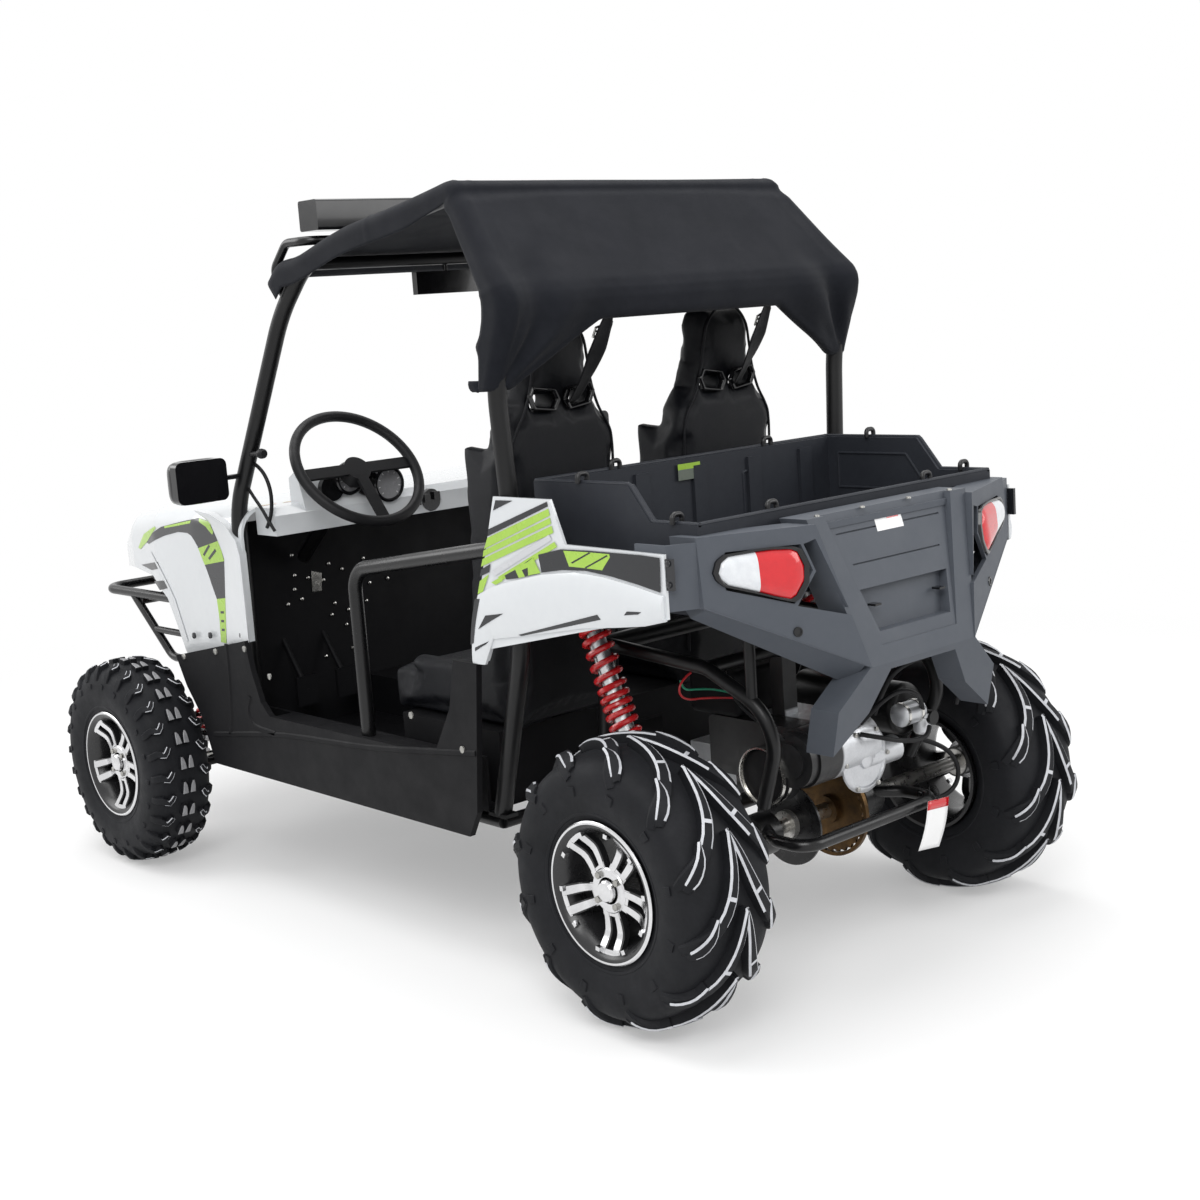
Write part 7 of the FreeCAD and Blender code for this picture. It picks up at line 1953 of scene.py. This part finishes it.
@dataclass
class Studio:
    """Pale floor, soft lamps and the photograph's camera."""

    eye: Point = (-2304.6, 2595.5, 1346.0)
    yaw: float = -41.734
    pitch: float = -9.643
    roll: float = -3.971
    focal_pixels: float = 1733.2
    picture: float = 1200.0
    sensor: float = 36.0
    sky: float = 0.52
    lamps: "tuple[tuple[str, Point, float, float], ...]" = (
        ("lamp_key", (-3.5, 3.5, 4.2), 3.0, 155), ("lamp_rear", (-4.2, -2.6, 2.6), 2.6, 62),
        ("lamp_front", (3.8, 2.6, 3.4), 3.0, 85), ("lamp_top", (0.2, 0.0, 4.6), 4.0, 140))

    def camera(self) -> None:
        """Camera whose axes are turned by yaw about z, then pitch, then roll about the view."""
        yaw, pitch, roll = (math.radians(a) for a in (self.yaw, self.pitch, self.roll))
        ahead = np.array([math.cos(yaw) * math.cos(pitch), math.sin(yaw) * math.cos(pitch),
                          math.sin(pitch)])
        right = unit(np.cross(ahead, [0.0, 0.0, 1.0]))
        up = np.cross(right, ahead)
        turned_right = math.cos(roll) * right + math.sin(roll) * up
        turned_up = -math.sin(roll) * right + math.cos(roll) * up
        lens = bpy.data.cameras.new("photo_camera")
        lens.sensor_width = self.sensor
        lens.lens = self.focal_pixels / self.picture * self.sensor
        lens.clip_end = 100.0
        made = bpy.data.objects.new("photo_camera", lens)
        matrix = Matrix.Identity(4)
        for row in range(3):
            matrix[row][0], matrix[row][1] = turned_right[row], turned_up[row]
            matrix[row][2], matrix[row][3] = -ahead[row], metres(np.array(self.eye))[row]
        made.matrix_world = matrix
        bpy.context.scene.collection.objects.link(made)
        bpy.context.scene.camera = made

    def lamp(self, name: str, place: Point, size: float, power: float) -> None:
        """Square area lamp that faces the vehicle's middle."""
        light = bpy.data.lights.new(name, "AREA")
        light.size, light.energy = size, power
        made = bpy.data.objects.new(name, light)
        made.location = place
        made.rotation_euler = (Vector((0, 0, 0.6)) - Vector(place)).to_track_quat("-Z", "Y").to_euler()
        bpy.context.scene.collection.objects.link(made)

    def floor(self) -> None:
        """Pale disc that keeps the vehicle's shadow and turns to the surround's white further out."""
        radius = np.array([0.001, 2.0, 6.0, 14.0, 30.0]) * 1000
        profile = np.stack([np.zeros(5), radius], axis=1)
        shape = Shape().turned(profile, 2, (AXLE_TO_ORIGIN, 0, -0.6), 64)
        points = metres(np.concatenate(shape.points))
        mesh = bpy.data.meshes.new("floor")
        mesh.from_pydata(points.tolist(), [], [tuple(f) for f in shape.faces[0].tolist()])
        made = bpy.data.objects.new("floor", mesh)
        bpy.context.scene.collection.objects.link(made)
        g = Graph("floor_white")
        g.shader.inputs["Base Color"].default_value = (0.93, 0.93, 0.93, 1)
        g.shader.inputs["Roughness"].default_value = 0.9
        g.shader.inputs["Specular IOR Level"].default_value = 0.1
        place = g.node("TexCoord").outputs["Object"]
        away = g.node("VectorMath", {0: place}, operation="LENGTH").outputs["Value"]
        white = g.node("Emission", {"Color": (1, 1, 1, 1), "Strength": 1.0}).outputs[0]
        share = g.math("MULTIPLY", g.spread(away, 1.5, 3.6, 0.35, 1.0), self.seen(g.tree))
        mixed = g.node("MixShader", {0: share, 1: g.shader.outputs[0], 2: white}).outputs[0]
        g.feed(g.tree.nodes["Material Output"].inputs["Surface"], mixed)
        mesh.materials.append(g.material)

    def seen(self, tree: bpy.types.NodeTree) -> bpy.types.NodeSocket:
        """1 for a ray that shows a surface, straight, by gloss or through glass, and 0 for light."""
        path = tree.nodes.new("ShaderNodeLightPath")
        share = path.outputs["Is Camera Ray"]
        for kind in ("Is Glossy Ray", "Is Transmission Ray"):
            more = tree.nodes.new("ShaderNodeMath")
            more.operation = "MAXIMUM"
            tree.links.new(share, more.inputs[0])
            tree.links.new(path.outputs[kind], more.inputs[1])
            share = more.outputs[0]
        return share

    def surround(self) -> None:
        """World that lights evenly and is white to the camera and in reflections."""
        world = bpy.data.worlds.new("studio")
        bpy.context.scene.world = world
        world.use_nodes = True
        tree = world.node_tree
        light = tree.nodes["Background"]
        light.inputs["Color"].default_value = (1, 1, 1, 1)
        light.inputs["Strength"].default_value = self.sky
        seen = tree.nodes.new("ShaderNodeBackground")
        seen.inputs["Color"].default_value = (1, 1, 1, 1)
        mixed = tree.nodes.new("ShaderNodeMixShader")
        tree.links.new(self.seen(tree), mixed.inputs[0])
        tree.links.new(light.outputs[0], mixed.inputs[1])
        tree.links.new(seen.outputs[0], mixed.inputs[2])
        tree.links.new(mixed.outputs[0], tree.nodes["World Output"].inputs["Surface"])

    def build(self) -> None:
        """Set up the whole studio."""
        bpy.context.scene.view_settings.view_transform = "Standard"
        self.camera()
        self.floor()
        self.surround()
        for lamp in self.lamps:
            self.lamp(*lamp)


class CadNodes:
    """Finishes of the CAD nodes whose shape is kept."""

    nodes = {
        "frame_black": "main_frame roll_cage front_arms exhaust steering_gear",
        "bumper_black": "front_bumper hip_bars light_bar_mount swing_arm",
        "tail_charcoal": "tail_frame",
        "bed_dark": "cargo_bed",
        "canopy_cloth": "canopy",
        "vinyl": "seat_left seat_right",
        "trim_black": "seat_base floor_tub side_skirts airbox",
        "webbing": "harnesses",
        "gloss_black": "instruments mirrors headlamps light_bar",
        "rubber": "steering_wheel",
        "rim_machined": "rim_front_left rim_front_right rim_rear_left rim_rear_right",
        "axle_steel": "rear_axle",
        "bronze": "sprocket chain",
        "spring_red": "springs",
        "silver": "dampers knuckle_left knuckle_right",
        "engine_paint": "engine",
        "lamp_red": "tail_lamps",
        "hook_steel": "bed_hooks",
        "bright_steel": "tie_rod_left tie_rod_right",
        "white_gloss": "front_cowl quarter_panels dash_panel",
        "tyre_side": "tyre_front_left tyre_front_right tyre_rear_left tyre_rear_right",
    }

    def dress(self) -> None:
        """Give each kept node its finish."""
        for finish, names in self.nodes.items():
            material = getattr(Finishes, finish).material()
            for name in names.split():
                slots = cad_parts[name].data.materials
                slots.clear()
                slots.append(material)


def main() -> None:
    """Build the studio, dress the nodes and add each group of pieces."""
    logging.basicConfig(level=logging.INFO, format="%(name)s: %(message)s")
    Studio().build()
    CadNodes().dress()
    groups = (Cage(), Wheels(), QuarterPanels(), Cowl(), Rear(), Canopy(), Seats(), Harness(), Springs(),
              Engine(), Cabin(), SkirtTrim())
    for group in groups:
        LOG.info("dressing %s", type(group).__name__)
        group.dress()


if __name__ == "__main__":
    main()
